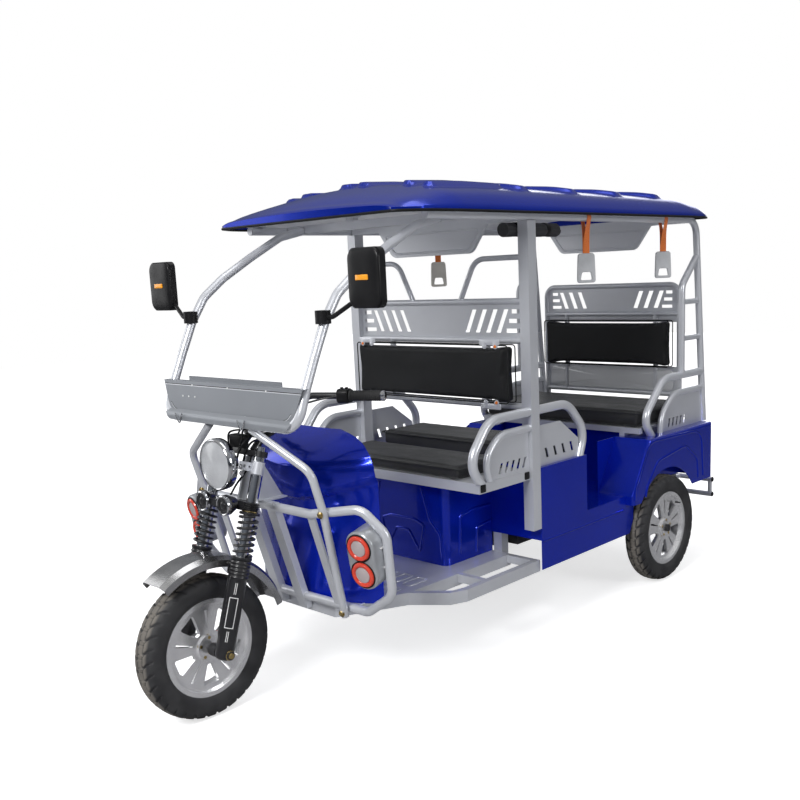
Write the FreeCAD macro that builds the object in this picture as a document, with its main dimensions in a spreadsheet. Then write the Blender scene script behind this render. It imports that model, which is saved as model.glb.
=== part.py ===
import FreeCAD, Part
import math
import os
import Sketcher
from FreeCAD import Placement, Rotation, Vector

# An electric auto rickshaw: one steered front wheel, a driver's seat and two passenger benches.
# +X is the vehicle's left, +Y its rear and +Z up; the origin is on the ground under its middle.
# Lengths are in millimetres, angles in degrees.
# A name ending in _back is a distance behind the front axle.
# A name ending in _height is a distance above the ground.

SIZES = {
    # Whole vehicle
    "overall_length": 2812,
    "overall_height": 1712,
    "wheelbase": 2075,
    "running_gap": 0.1,
    "moving_gap": 2,
    "seat_gap": 0.3,
    "cut_overrun": 20,
    # Wheels
    "tyre_radius": 235,
    "tyre_width": 95,
    "tyre_shoulder_drop": 13,
    "tyre_shoulder_half": 38,
    "tyre_wide_radius": 196,
    "tyre_crown_half": 19,
    "tyre_round": 9,
    "bead_gap": 1.2,
    "bead_radius": 152,
    "bead_half": 33,
    "rim_flange_radius": 162,
    "rim_flange_lip": 4,
    "rim_half_width": 36,
    "rim_wall": 5,
    "rim_well_radius": 134,
    "rim_well_half": 18,
    "web_thickness": 16,
    "web_outset": 24,
    "hub_radius": 42,
    "hub_outset": 32,
    "hub_half_length": 48,
    "window_inner_radius": 56,
    "window_outer_radius": 124,
    "window_inner_half": 9,
    "window_outer_half": 31,
    "slot_half": 4.5,
    "window_round": 6,
    "rear_wheel_offset": 467,
    # Steering axis and fork
    "axis_offset": 50,
    "leg_offset": 110,
    "leg_radius": 25,
    "leg_collar_radius": 29.5,
    "leg_collar_length": 46,
    "leg_length": 300,
    "leg_tail": 22,
    "leg_fin_width": 12,
    "leg_fin_reach": 36,
    "leg_fin_low": 24,
    "leg_fin_high": 250,
    "stanchion_radius": 15,
    "fork_length": 660,
    "spring_radius": 30,
    "spring_valley_radius": 24,
    "spring_start": 302,
    "spring_end": 442,
    "lower_yoke_rise": 452,
    "lower_yoke_thickness": 28,
    "upper_yoke_rise": 628,
    "upper_yoke_thickness": 18,
    "yoke_depth": 46,
    "stem_radius": 14,
    "head_tube_wall": 7,
    "axle_radius": 8,
    "axle_nut_radius": 14,
    "axle_nut_length": 12,
    "axle_spacer_radius": 21,
    # Mudguard
    "mudguard_radius": 288,
    "mudguard_wall": 2.5,
    "mudguard_half_width": 62,
    "mudguard_lip": 22,
    "mudguard_crown": 12,
    # Headlamp and spot lamps
    "headlamp_height": 812,
    "headlamp_back": 98,
    "headlamp_radius": 82,
    "headlamp_ring": 7,
    "headlamp_ring_depth": 26,
    "headlamp_depth": 78,
    "headlamp_tail_radius": 18,
    "lens_bulge": 12,
    "lens_depth": 6,
    "ear_thickness": 5,
    "ear_reach": 62,
    "ear_depth": 40,
    "ear_hole_radius": 5,
    "ear_hole_reach": 42,
    "ear_slot_reach": 22,
    "spot_offset": 58,
    "spot_height": 690,
    "spot_back": 74,
    "spot_radius": 33,
    "spot_depth": 46,
    "spot_ring": 6,
    "spot_bar_thickness": 20,
    # Handlebar
    "bar_radius": 11,
    "bar_clamp_height": 884,
    "bar_clamp_back": 268,
    "bar_clamp_half": 62,
    "bar_rise_offset": 140,
    "bar_rise_back": 379,
    "bar_height": 1008,
    "bar_end_offset": 377,
    "bar_end_back": 487,
    "bar_bend": 45,
    "bar_riser_radius": 13,
    "grip_radius": 17,
    "grip_length": 118,
    "grip_cap_length": 10,
    "switch_length": 40,
    "switch_radius": 27,
    # Front guard
    "guard_top_back": 250,
    "guard_top_height": 664,
    "guard_bottom_back": 364,
    "guard_bottom_height": 272,
    "post_offset": 62,
    "post_width": 44,
    "post_depth": 26,
    "slat_offset": 252,
    "slat_width": 34,
    "slat_depth": 8,
    "guard_tube_radius": 15,
    "guard_cross_height": 318,
    "loop_bend": 55,
    "loop_top_height": 678,
    "loop_top_offset": 430,
    "loop_top_back": 322,
    "loop_outer_offset": 500,
    "loop_outer_back": 372,
    "loop_shoulder_height": 600,
    "loop_foot_height": 400,
    "loop_bottom_offset": 380,
    "loop_bottom_back": 376,
    "stay_radius": 13,
    "stay_bend": 60,
    "stay_top_offset": 112,
    "stay_top_back": 165,
    "stay_top_height": 926,
    "stay_knee_offset": 322,
    "stay_knee_back": 222,
    "stay_knee_height": 800,
    "stay_foot_height": 296,
    "neck_plate_thickness": 5,
    "neck_plate_reach": 92,
    # Lamp pods on the guard
    "pod_offset": 446,
    "pod_back": 296,
    "pod_depth": 84,
    "pod_height": 520,
    "pod_half_height": 98,
    "pod_radius": 53,
    "pod_round": 9,
    "pod_lamp_rise": 45,
    "pod_lamp_radius": 43,
    "pod_lamp_depth": 10,
    # Leg shield
    "shield_half_width": 322,
    "shield_side_back": 505,
    "shield_nose_back": 385,
    "shield_nose_top_back": 430,
    "shield_wall": 4,
    "shield_height": 884,
    "shield_shoulder_height": 700,
    "shield_top_half": 170,
    # Windscreen hoop and dash
    "hoop_radius": 15,
    "hoop_offset": 352,
    "hoop_bend": 85,
    "hoop_foot_height": 942,
    "hoop_foot_back": 158,
    "hoop_top_back": 838,
    "dash_rise": 105,
    "dash_lean": 13,
    "dash_half_width": 372,
    "dash_low_half": 350,
    "dash_bottom_half": 292,
    "dash_corner": 52,
    "dash_wall": 2.5,
    "dash_return": 24,
    "dash_upstand": 15,
    "dash_upstand_half": 250,
    # Mirrors
    "mirror_offset": 534,
    "mirror_back": 303,
    "mirror_height": 1378,
    "mirror_width": 132,
    "mirror_tall": 172,
    "mirror_thickness": 20,
    "mirror_round": 22,
    "mirror_stalk_radius": 7,
    "mirror_clamp_radius": 24,
    "mirror_clamp_length": 40,
    "mirror_clamp_height": 1268,
    "mirror_clamp_back": 284,
    # Roof
    "roof_half_width": 520,
    "roof_front_back": 508,
    "roof_rear_back": 2445,
    "roof_rise": 114,
    "roof_wall": 3,
    "roof_lip": 10,
    "roof_rib_height": 12,
    "roof_rib_width": 62,
    "roof_rib_slope": 16,
    "roof_bead_front_back": 745,
    "roof_bead_rear_back": 1140,
    "roof_bead_half": 33,
    "roof_bead_offset": 45,
    "roof_bead_near": 265,
    "roof_bead_far": 355,
    "bow_height": 22,
    "bow_depth": 30,
    "bow_foot": 40,
    # Cab frame
    "cab_half_width": 468,
    "pillar_back": 1150,
    "pillar_width": 44,
    "pillar_depth": 48,
    "pillar_foot_height": 424,
    "rail_radius": 15,
    "rail_drop": 18,
    "rail_front_back": 640,
    "hoop_beam_back": 812,
    "rear_pillar_foot_back": 2496,
    "rear_pillar_top_back": 2410,
    "rear_pillar_foot_height": 655,
    "rear_bend": 70,
    "beam_depth": 30,
    "beam_height": 30,
    "header_half_width": 280,
    "header_bottom_half": 205,
    "header_drop": 118,
    "header_thickness": 16,
    "header_round": 45,
    # Driver's backrest
    "back_rail_radius": 12,
    "back_top_height": 1283,
    "back_plate_height": 1140,
    "back_pad_top_height": 1118,
    "back_pad_bottom_height": 900,
    "back_bottom_height": 886,
    "back_plate_thickness": 3,
    "back_upright_offset": 250,
    "back_pad_thickness": 62,
    "back_pad_half": 400,
    "back_pad_round": 18,
    "grab_hoop_drop": 140,
    "grab_hoop_offset": 203,
    "grab_hoop_foot_offset": 122,
    "grab_hoop_radius": 10,
    "clip_offset": 330,
    "clip_width": 80,
    "clip_tall": 34,
    "clip_thickness": 4,
    # Driver's and rear-facing seats
    "tray_front_back": 861,
    "tray_height": 656,
    "tray_depth": 36,
    "tray_rail": 25,
    "tray_sheet": 3,
    "seat_half": 362,
    "seat_thickness": 50,
    "seat_back_gap": 22,
    "rear_facing_half": 404,
    "rear_facing_end_back": 1486,
    "rear_facing_top_height": 728,
    "cushion_round": 14,
    # Seat box
    "seat_box_half": 226,
    "seat_box_front_back": 925,
    "seat_box_wall": 3,
    "seat_box_round": 28,
    # Armrests
    "arm_radius": 17,
    "arm_bend": 110,
    "arm_height": 872,
    "arm_inset": 60,
    "arm_plate": 3,
    "front_arm_nose_back": 812,
    "front_arm_nose_height": 735,
    "front_arm_top_back": 925,
    "mid_arm_nose_back": 1512,
    "mid_arm_nose_height": 752,
    "mid_arm_top_back": 1400,
    "mid_arm_foot_back": 1468,
    "mid_arm_drop": 24,
    "rear_arm_top_height": 888,
    "rear_arm_top_back": 2130,
    "rear_arm_nose_back": 1960,
    "rear_arm_nose_height": 728,
    "rear_arm_foot_back": 2040,
    "rear_arm_inset": 76,
    "arm_slot_width": 15,
    "arm_slot_length": 38,
    # Front floor, steps
    "floor_height": 300,
    "floor_sheet": 3,
    "floor_half": 315,
    "floor_front_half": 200,
    "floor_flare_back": 626,
    "apron": 44,
    "apron_wall": 25,
    "step_front_half": 432,
    "step_front_back": 712,
    "step_half": 457,
    "step_corner_back": 775,
    "step_rail": 25,
    "step_cross_back": 885,
    "step_bar": 22,
    # Passenger tub
    "tub_wall": 3,
    "tub_front_bottom": 376,
    "sill_bottom": 262,
    "sill_top": 430,
    "side_top_height": 657,
    "side_end_back": 1502,
    "door_end_back": 1790,
    "skirt_end_back": 1850,
    "skirt_rise": 60,
    "bench_front_back": 1990,
    "tub_rear_back": 2487,
    "tub_rear_bottom": 392,
    # Fenders
    "fender_half": 506,
    "fender_inner": 333,
    "fender_top_height": 652,
    "fender_nose_back": 1926,
    "fender_round": 14,
    "arch_radius": 272,
    # Rear bench and backrest
    "bench_rail": 25,
    "bench_rail_height": 690,
    "bench_rail_back": 1960,
    "bench_top_height": 762,
    "bench_end_back": 2392,
    "rest_back": 2418,
    "rest_rail_radius": 12,
    "rest_half": 372,
    "rest_top_height": 1300,
    "rest_plate_height": 1166,
    "rest_pad_top_height": 1128,
    "rest_pad_bottom_height": 908,
    "rest_pad_half": 352,
    "rest_pad_thickness": 55,
    "rest_bottom_height": 780,
    "rest_thickness": 3,
    "rest_bend": 50,
    "side_hoop_back": 2290,
    "side_hoop_top_height": 1345,
    "side_hoop_bend": 60,
    "rung_low_height": 1050,
    "rung_high_height": 1212,
    # Chassis rails, rear axle and springs
    "front_rail_offset": 250,
    "rear_rail_offset": 300,
    "rail_box": 40,
    "front_cross_back": 640,
    "rear_cross_back": 1900,
    "battery_height": 118,
    "battery_front_back": 1290,
    "battery_rear_back": 1760,
    "axle_tube_radius": 30,
    "drive_radius": 95,
    "drive_half": 70,
    "drive_offset": 60,
    "motor_radius": 78,
    "motor_length": 190,
    "leaf_width": 50,
    "leaf_thickness": 7,
    "leaf_half_length": 262,
    "leaf_camber": 34,
    "leaf_step": 48,
    "leaf_eye_radius": 15,
    "leaf_pad_thickness": 8,
    # Bumper
    "bumper_radius": 12,
    "bumper_half": 470,
    "bumper_top_height": 358,
    "bumper_low_height": 286,
    # Grab handles and curtain
    "handle_front_back": 1537,
    "handle_rear_back": 2121,
    "handle_right_back": 1691,
    "strap_width": 26,
    "strap_thickness": 3,
    "strap_drop": 118,
    "handle_width": 74,
    "handle_tall": 112,
    "handle_thickness": 10,
    "handle_hole_width": 46,
    "handle_hole_tall": 30,
    "curtain_radius": 28,
    "curtain_back": 1100,
    "curtain_length": 320,
}

RAKE = 18.0
SPOKES = 5
SPRING_TURNS = 9
LEAVES = 4
FRONT_ARM_SLOTS = 5
MIDDLE_ARM_SLOTS = 4
REAR_ARM_SLOTS = 5
DRIVER_BACK_SLOTS = 4
REAR_BACK_SLOTS = 3
MUDGUARD_FRONT = 124.0
MUDGUARD_REAR = 16.0
HANDLE_TURN = -38.0
POD_LEAN = 10.0
POD_TURN = 9.0

DOC = FreeCAD.newDocument("AutoRickshaw")
SHEET = DOC.addObject("Spreadsheet::Sheet", "sizes")


class Size:
    """A length: its number and the sheet expression that gives it."""

    def __init__(self, value, text):
        self.value = float(value)
        self.text = text

    @staticmethod
    def of(other):
        return other if isinstance(other, Size) else Size(other, repr(float(other)))

    def __add__(self, other):
        other = Size.of(other)
        return Size(self.value + other.value, f"({self.text} + {other.text})")

    def __sub__(self, other):
        other = Size.of(other)
        return Size(self.value - other.value, f"({self.text} - {other.text})")

    def __mul__(self, factor):
        return Size(self.value * factor, f"({self.text} * {float(factor)!r})")

    def __truediv__(self, factor):
        return Size(self.value / factor, f"({self.text} / {float(factor)!r})")

    def __neg__(self):
        return self * -1

    def __radd__(self, other):
        return Size.of(other) + self

    def __rsub__(self, other):
        return Size.of(other) - self

    def __rmul__(self, factor):
        return self * factor

    def __float__(self):
        return self.value


class Sizes:
    """The sheet's named cells, each read as a Size."""

    def __init__(self, table):
        for row, (alias, value) in enumerate(table.items(), start=1):
            SHEET.set(f"A{row}", alias)
            SHEET.set(f"B{row}", str(value))
            SHEET.setAlias(f"B{row}", alias)
        DOC.recompute()
        for alias in table:
            setattr(self, alias, Size(SHEET.get(alias), f"<<sizes>>.{alias}"))


S = Sizes(SIZES)
ZERO = Size(0, "0")
FRONT_AXLE = S.tyre_radius - S.overall_length / 2
REAR_AXLE = FRONT_AXLE + S.wheelbase
TUB_FRONT = FRONT_AXLE + S.pillar_back + S.pillar_depth + S.seat_gap
RAIL_TOP = S.floor_height - S.floor_sheet - S.seat_gap
REAR_RAIL_TOP = S.sill_top - S.tub_wall - S.seat_gap
ROOF_EDGE = S.overall_height - S.roof_rib_height - S.roof_rise
RAIL_HEIGHT = ROOF_EDGE - S.rail_drop
ARM_INNER_HEIGHT = S.arm_height - S.arm_inset
BENCH_HALF = S.cab_half_width - S.arm_radius * 2 - S.seat_gap * 2
NODES = {}


def behind(distance):
    """The Y of a place that lies this far behind the front axle."""
    return FRONT_AXLE + distance


def vector(x, y, z):
    return Vector(float(x), float(y), float(z))


def keep(name, thing):
    """Makes an object of the document a node, under the name that its file gets."""
    thing.Label = name
    NODES[name] = thing
    return thing


def fresh(kind, name):
    return DOC.addObject(kind, name)


def box(name, low, high):
    """A block between two corners."""
    block = fresh("Part::Box", name)
    for extent, axis, start, end in zip(("Length", "Width", "Height"), "xyz", low, high):
        block.setExpression(extent, (Size.of(end) - start).text)
        block.setExpression("Placement.Base." + axis, Size.of(start).text)
    return block


def rod(name, start, end, radius):
    """A round bar from one point to another."""
    bar = fresh("Part::Cylinder", name)
    bar.setExpression("Radius", Size.of(radius).text)
    spans = [Size.of(b) - a for a, b in zip(start, end)]
    squares = " + ".join(f"{span.text} ^ 2" for span in spans)
    bar.setExpression("Height", f"sqrt({squares})")
    direction = vector(*spans)
    bar.Placement = Placement(vector(*start), Rotation(Vector(0, 0, 1), direction))
    return bar


def fuse(name, parts):
    """One solid of parts that touch."""
    union = fresh("Part::MultiFuse", name)
    union.Shapes = parts
    union.Refine = True
    return union


def cut(name, base, tool):
    left = fresh("Part::Cut", name)
    left.Base = base
    left.Tool = tool
    left.Refine = True
    return left


def gather(name, parts):
    """Solids that don't touch, kept together."""
    compound = fresh("Part::Compound", name)
    compound.Links = parts
    return compound


def solid(name, shape):
    """A shape made directly, for forms that no primitive or sketch gives."""
    feature = fresh("Part::Feature", name)
    feature.Shape = shape
    return feature


def plane_of(body, role):
    return next(item for item in body.Origin.OriginFeatures if item.Role == role)


def sketch_outline(body, role, name, outlines):
    """A sketch of closed outlines, every corner held by two distances from the origin."""
    sketch = body.newObject("Sketcher::SketchObject", name)
    sketch.AttachmentSupport = (plane_of(body, role), "")
    sketch.MapMode = "FlatFace"
    first = 0
    for outline in outlines:
        count = len(outline)
        corners = [Vector(float(a), float(b), 0) for a, b in outline]
        for index, corner in enumerate(corners):
            sketch.addGeometry(Part.LineSegment(corner, corners[(index + 1) % count]))
        for index, (across, along) in enumerate(outline):
            edge = first + index
            following = first + (index + 1) % count
            sketch.addConstraint(Sketcher.Constraint("Coincident", edge, 2, following, 1))
            for kind, size in (("DistanceX", across), ("DistanceY", along)):
                size = Size.of(size)
                held = sketch.addConstraint(
                    Sketcher.Constraint(kind, -1, 1, edge, 1, size.value))
                sketch.setExpression(f"Constraints[{held}]", size.text)
        first += count
    return sketch


def edges_where(shape, wanted):
    return [f"Edge{index}" for index, edge in enumerate(shape.Edges, start=1) if wanted(edge)]


def straight_along(direction):
    """True for straight edges that run along a direction."""
    def wanted(edge):
        if edge.Curve.TypeId != "Part::GeomLine":
            return False
        return abs(abs(edge.Curve.Direction * direction) - 1) < 1e-6
    return wanted


def edges_at(axis, place):
    """True for edges that lie at one distance along an axis of their body."""
    def wanted(edge):
        low, high = (getattr(edge.BoundBox, axis + limit) for limit in ("Min", "Max"))
        return abs(low - float(place)) < 1e-3 and abs(high - float(place)) < 1e-3
    return wanted


def round_edges(body, base, radius, wanted, name):
    """A fillet on the edges that a test picks."""
    DOC.recompute()
    names = edges_where(base.Shape, wanted)
    fillet = body.newObject("PartDesign::Fillet", name)
    fillet.Base = (base, names)
    fillet.setExpression("Radius", Size.of(radius).text)
    body.Tip = fillet
    return fillet


NORMALS = {"XY_Plane": Vector(0, 0, 1), "XZ_Plane": Vector(0, -1, 0), "YZ_Plane": Vector(1, 0, 0)}


def plate(name, role, outline, start, depth, rounding=None, holes=(), wanted=None):
    """An outline padded from start, over depth, along the axis square to its plane."""
    body = fresh("PartDesign::Body", name)
    sketch = sketch_outline(body, role, name + "_outline", [outline])
    pad = body.newObject("PartDesign::Pad", name + "_pad")
    pad.Profile = sketch
    pad.setExpression("Length", Size.of(depth).text)
    base = pad
    if rounding is not None:
        base = round_edges(body, pad, rounding, wanted or straight_along(NORMALS[role]),
                           name + "_round")
    if holes:
        cutting = sketch_outline(body, role, name + "_holes", holes)
        pocket = body.newObject("PartDesign::Pocket", name + "_pocket")
        pocket.Profile = cutting
        pocket.Type = "ThroughAll"
        pocket.SideType = "Symmetric"
        body.Tip = pocket
    if role == "XY_Plane":
        body.setExpression("Placement.Base.z", Size.of(start).text)
    elif role == "YZ_Plane":
        body.setExpression("Placement.Base.x", Size.of(start).text)
    else:
        body.setExpression("Placement.Base.y", (Size.of(start) + depth).text)
    return body


def revolved(name, profile, placement):
    """A profile of radius and height pairs turned about its own Z, then placed."""
    body = fresh("PartDesign::Body", name)
    sketch = sketch_outline(body, "XZ_Plane", name + "_profile", [profile])
    turned = body.newObject("PartDesign::Revolution", name + "_turn")
    turned.Profile = sketch
    turned.ReferenceAxis = (sketch, ["V_Axis"])
    turned.Angle = 360
    body.Tip = turned
    body.Placement = placement
    return body


def bent_path(points, bend):
    """A wire of straight runs with a round bend at each point between its ends."""
    edges = []
    start = points[0]
    for before, corner, after in zip(points, points[1:], points[2:]):
        incoming = (corner - before).normalize()
        outgoing = (after - corner).normalize()
        turn = incoming.getAngle(outgoing)
        if turn < 1e-6:
            continue
        room = min((corner - before).Length, (after - corner).Length) * 0.48
        reach = min(bend * math.tan(turn / 2), room)
        first = corner - incoming * reach
        last = corner + outgoing * reach
        inward = (outgoing - incoming).normalize()
        radius = reach / math.tan(turn / 2)
        centre = corner + inward * (radius / math.cos(turn / 2))
        middle = centre - inward * radius
        edges.append(Part.LineSegment(start, first).toShape())
        edges.append(Part.Arc(first, middle, last).toShape())
        start = last
    edges.append(Part.LineSegment(start, points[-1]).toShape())
    return Part.Wire(edges)


def tube_shape(points, radius, bend):
    """A round bar that follows a bent path."""
    path = bent_path(points, float(bend))
    heading = (points[1] - points[0]).normalize()
    ring = Part.Wire(Part.makeCircle(float(radius), points[0], heading))
    return path.makePipeShell([ring], True, True)


def fused_shape(shapes):
    """One shape of parts made directly."""
    if len(shapes) == 1:
        return shapes[0]
    return shapes[0].multiFuse(shapes[1:]).removeSplitter()


def mirrored(points, side):
    """Points given for the left, on the left for a side of 1 and on the right for -1."""
    return [Vector(point.x * side, point.y, point.z) for point in points]


SIDES = (("left", 1), ("right", -1))

# Steering frame
# rise is measured up the fork from the front axle, and reach rearward, square to it.
RAKE_RADIANS = math.radians(RAKE)
UP_FORK = Vector(0, math.sin(RAKE_RADIANS), math.cos(RAKE_RADIANS))
REAR_OF_FORK = Vector(0, math.cos(RAKE_RADIANS), -math.sin(RAKE_RADIANS))
AXLE_POINT = vector(ZERO, FRONT_AXLE, S.tyre_radius)


def fork_point(across, rise, reach=0):
    """A point in the fork's own leaning frame."""
    return AXLE_POINT + Vector(float(across), 0, 0) + UP_FORK * float(rise) + REAR_OF_FORK * float(reach)


def fork_bar(across, low, high, radius, reach=0):
    """A round bar along the fork's direction."""
    span = float(high) - float(low)
    return Part.makeCylinder(float(radius), span, fork_point(across, low, reach), UP_FORK)


def fork_block(half, low, high, front, rear):
    """A block square to the fork, across the vehicle."""
    block = Part.makeBox(2 * float(half), float(rear) - float(front), float(high) - float(low))
    block.translate(Vector(-float(half), float(front), 0))
    block.Placement = Placement(fork_point(0, low), Rotation(Vector(1, 0, 0), -RAKE)) * block.Placement
    return block


# Wheels
def wheel_placement(x, y, outward):
    """Turns a part made about Z so that its Z points outward across the vehicle."""
    return Placement(vector(x, y, S.tyre_radius), Rotation(Vector(0, 0, 1), Vector(outward, 0, 0)))


def make_tyre(name, x, y, outward):
    shoulder = S.tyre_radius - S.tyre_shoulder_drop
    side = [
        (S.bead_radius, S.bead_half),
        (S.rim_flange_radius + S.seat_gap, S.bead_half),
        (S.tyre_wide_radius, S.tyre_width / 2),
        (shoulder, S.tyre_shoulder_half),
        (S.tyre_radius, S.tyre_crown_half),
    ]
    profile = side + [(radius, -half) for radius, half in reversed(side)]
    body = revolved(name, profile, wheel_placement(x, y, outward))
    inside = float(S.tyre_wide_radius) * 0.99
    outer = float(S.tyre_radius) * 0.999

    def shoulder_ring(edge):
        if edge.Curve.TypeId != "Part::GeomCircle":
            return False
        return inside < edge.Curve.Radius < outer

    round_edges(body, body.Tip, S.tyre_round, shoulder_ring, name + "_round")
    keep(name, body)


def make_rim(name, x, y, outward, bore):
    """A cast wheel: a stepped barrel, a web pierced by windows and slots, and a hub."""
    flange = S.rim_flange_radius
    seat = S.bead_radius - S.seat_gap
    well = S.rim_well_radius
    half = S.rim_half_width
    web_low = S.web_outset - S.web_thickness
    profile = [
        (bore, -S.hub_half_length),
        (S.hub_radius * 0.7, -S.hub_half_length),
        (S.hub_radius, web_low),
        (well - S.rim_wall, web_low),
        (well - S.rim_wall, -S.rim_well_half),
        (seat - S.rim_wall, -S.rim_well_half - S.rim_wall),
        (seat - S.rim_wall, -half),
        (flange, -half),
        (flange, -half + S.rim_flange_lip - S.bead_gap),
        (seat, -half + S.rim_flange_lip - S.bead_gap),
        (seat, -S.rim_well_half),
        (well, -S.rim_well_half + S.rim_wall),
        (well, S.rim_well_half - S.rim_wall),
        (seat, S.rim_well_half),
        (seat, half - S.rim_flange_lip + S.bead_gap),
        (flange, half - S.rim_flange_lip + S.bead_gap),
        (flange, half),
        (seat - S.rim_wall, half),
        (seat - S.rim_wall, S.web_outset),
        (S.hub_radius, S.web_outset),
        (S.hub_radius, S.hub_outset),
        (bore, S.hub_outset),
    ]
    body = revolved(name, profile, wheel_placement(x, y, outward))
    window = [
        (S.window_inner_radius, -S.window_inner_half),
        (S.window_outer_radius, -S.window_outer_half),
        (S.window_outer_radius, S.window_outer_half),
        (S.window_inner_radius, S.window_inner_half),
    ]
    opposite = [
        (-S.window_inner_radius * 1.1, -S.slot_half / 2),
        (-S.window_inner_radius * 1.1, S.slot_half / 2),
        (-S.window_outer_radius, S.slot_half),
        (-S.window_outer_radius, -S.slot_half),
    ]
    windows = sketch_outline(body, "XY_Plane", name + "_windows", [window, opposite])
    pocket = body.newObject("PartDesign::Pocket", name + "_pocket")
    pocket.Profile = windows
    pocket.Type = "ThroughAll"
    pocket.SideType = "Symmetric"
    spokes = body.newObject("PartDesign::PolarPattern", name + "_spokes")
    spokes.Originals = [pocket]
    spokes.Axis = (windows, ["N_Axis"])
    spokes.Angle = 360
    spokes.Occurrences = SPOKES
    body.Tip = spokes
    round_edges(body, spokes, S.window_round, window_corner, name + "_window_round")
    keep(name, body)


def window_corner(edge):
    """The corners of a wheel's wide windows, which lie well off the slots between them."""
    if not straight_along(Vector(0, 0, 1))(edge):
        return False
    middle = edge.BoundBox.Center
    turn = math.degrees(math.atan2(middle.y, middle.x)) % (360 / SPOKES)
    return abs(turn - 180 / SPOKES) > 45 / SPOKES


def make_wheels():
    make_tyre("front_tyre", ZERO, FRONT_AXLE, 1)
    make_rim("front_rim", ZERO, FRONT_AXLE, 1, S.axle_radius + S.running_gap)
    for side, sign in SIDES:
        x = S.rear_wheel_offset * sign
        make_tyre(f"rear_tyre_{side}", x, REAR_AXLE, sign)
        make_rim(f"rear_rim_{side}", x, REAR_AXLE, sign, S.axle_radius * 1.5 + S.running_gap)


# Fork
def make_fork():
    axle_end = S.leg_offset + S.leg_radius + S.axle_nut_length
    axle_parts = [rod("front_axle_bar", (-axle_end, FRONT_AXLE, S.tyre_radius),
                      (axle_end, FRONT_AXLE, S.tyre_radius), S.axle_radius)]
    for side, sign in SIDES:
        nut_start = (S.leg_offset + S.leg_radius + S.seat_gap) * sign
        axle_parts.append(rod(f"front_axle_nut_{side}", (nut_start, FRONT_AXLE, S.tyre_radius),
                              (axle_end * sign, FRONT_AXLE, S.tyre_radius), S.axle_nut_radius))
        spacer_start = (S.hub_half_length + S.running_gap) * sign
        spacer_end = (S.leg_offset - S.leg_radius) * sign
        axle_parts.append(rod(f"front_axle_spacer_{side}", (spacer_start, FRONT_AXLE, S.tyre_radius),
                              (spacer_end, FRONT_AXLE, S.tyre_radius), S.axle_spacer_radius))
    axle = fuse("front_axle", axle_parts)
    keep("front_axle", axle)
    hole = Part.makeCylinder(float(S.axle_radius + S.seat_gap), 2 * float(axle_end),
                             AXLE_POINT - Vector(float(axle_end), 0, 0), Vector(1, 0, 0))
    trim = Part.makeCylinder(float(S.axle_spacer_radius + S.seat_gap), 2 * float(S.leg_offset - S.leg_radius),
                             AXLE_POINT - Vector(float(S.leg_offset - S.leg_radius), 0, 0), Vector(1, 0, 0))
    legs, tubes, springs = [], [], []
    for side, sign in SIDES:
        across = S.leg_offset * sign
        collar_low = S.leg_length - S.leg_collar_length
        fin = fork_block(S.leg_fin_width / 2, S.leg_fin_low, S.leg_fin_high, -S.leg_fin_reach, ZERO)
        fin.translate(Vector(float(across), 0, 0))
        lower = fused_shape([
            fork_bar(across, -S.leg_tail, S.leg_length, S.leg_radius),
            fork_bar(across, collar_low, S.leg_length, S.leg_collar_radius),
            fin,
        ])
        bore = fork_bar(across, collar_low, S.leg_length + S.cut_overrun, S.stanchion_radius + S.seat_gap)
        legs.append(solid(f"fork_leg_{side}", lower.cut(bore).cut(hole).cut(trim)))
        tubes.append(solid(f"fork_tube_{side}", fork_bar(
            across, collar_low + S.seat_gap, S.fork_length, S.stanchion_radius)))
        springs.append(spring_sleeve(f"fork_spring_{side}", across))
    keep("fork_legs", gather("fork_legs", legs))
    keep("fork_tubes", gather("fork_tubes", tubes))
    keep("fork_springs", gather("fork_springs", springs))


def spring_sleeve(name, across):
    """The outer form of a coil spring: a sleeve with a ridge at each turn."""
    pitch = (S.spring_end - S.spring_start) / SPRING_TURNS
    inner = S.stanchion_radius + S.seat_gap
    profile = [(inner, ZERO)]
    for turn in range(SPRING_TURNS):
        low = pitch * turn
        profile.append((S.spring_valley_radius, low))
        profile.append((S.spring_radius, low + pitch * 0.3))
        profile.append((S.spring_radius, low + pitch * 0.7))
    profile.append((S.spring_valley_radius, pitch * SPRING_TURNS))
    profile.append((inner, pitch * SPRING_TURNS))
    placement = Placement(fork_point(across, S.spring_start + S.seat_gap), Rotation(Vector(1, 0, 0), -RAKE))
    return revolved(name, profile, placement)


def make_yokes():
    """Two clamps across the fork and the stem between them."""
    pieces = []
    reach = S.axis_offset + S.stem_radius + S.head_tube_wall
    for low, thickness in ((S.lower_yoke_rise, S.lower_yoke_thickness),
                           (S.upper_yoke_rise, S.upper_yoke_thickness)):
        high = low + thickness
        half = S.leg_offset + S.yoke_depth / 2
        bridge = fork_block(S.leg_offset, low, high, -S.yoke_depth / 2, S.yoke_depth / 2)
        middle = fork_block(S.yoke_depth * 0.8, low, high, -S.yoke_depth / 2, reach)
        ends = [fork_bar(S.leg_offset * sign, low, high, S.yoke_depth / 2) for _, sign in SIDES]
        clamp = fused_shape([bridge, middle] + ends)
        for _, sign in SIDES:
            clamp = clamp.cut(fork_bar(S.leg_offset * sign, low - S.cut_overrun, high + S.cut_overrun,
                                       S.stanchion_radius + S.seat_gap))
        pieces.append(clamp)
    pieces.append(fork_bar(0, S.lower_yoke_rise, S.upper_yoke_rise + S.upper_yoke_thickness,
                           S.stem_radius, S.axis_offset))
    keep("steering_yokes", solid("steering_yokes", fused_shape(pieces)))


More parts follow.
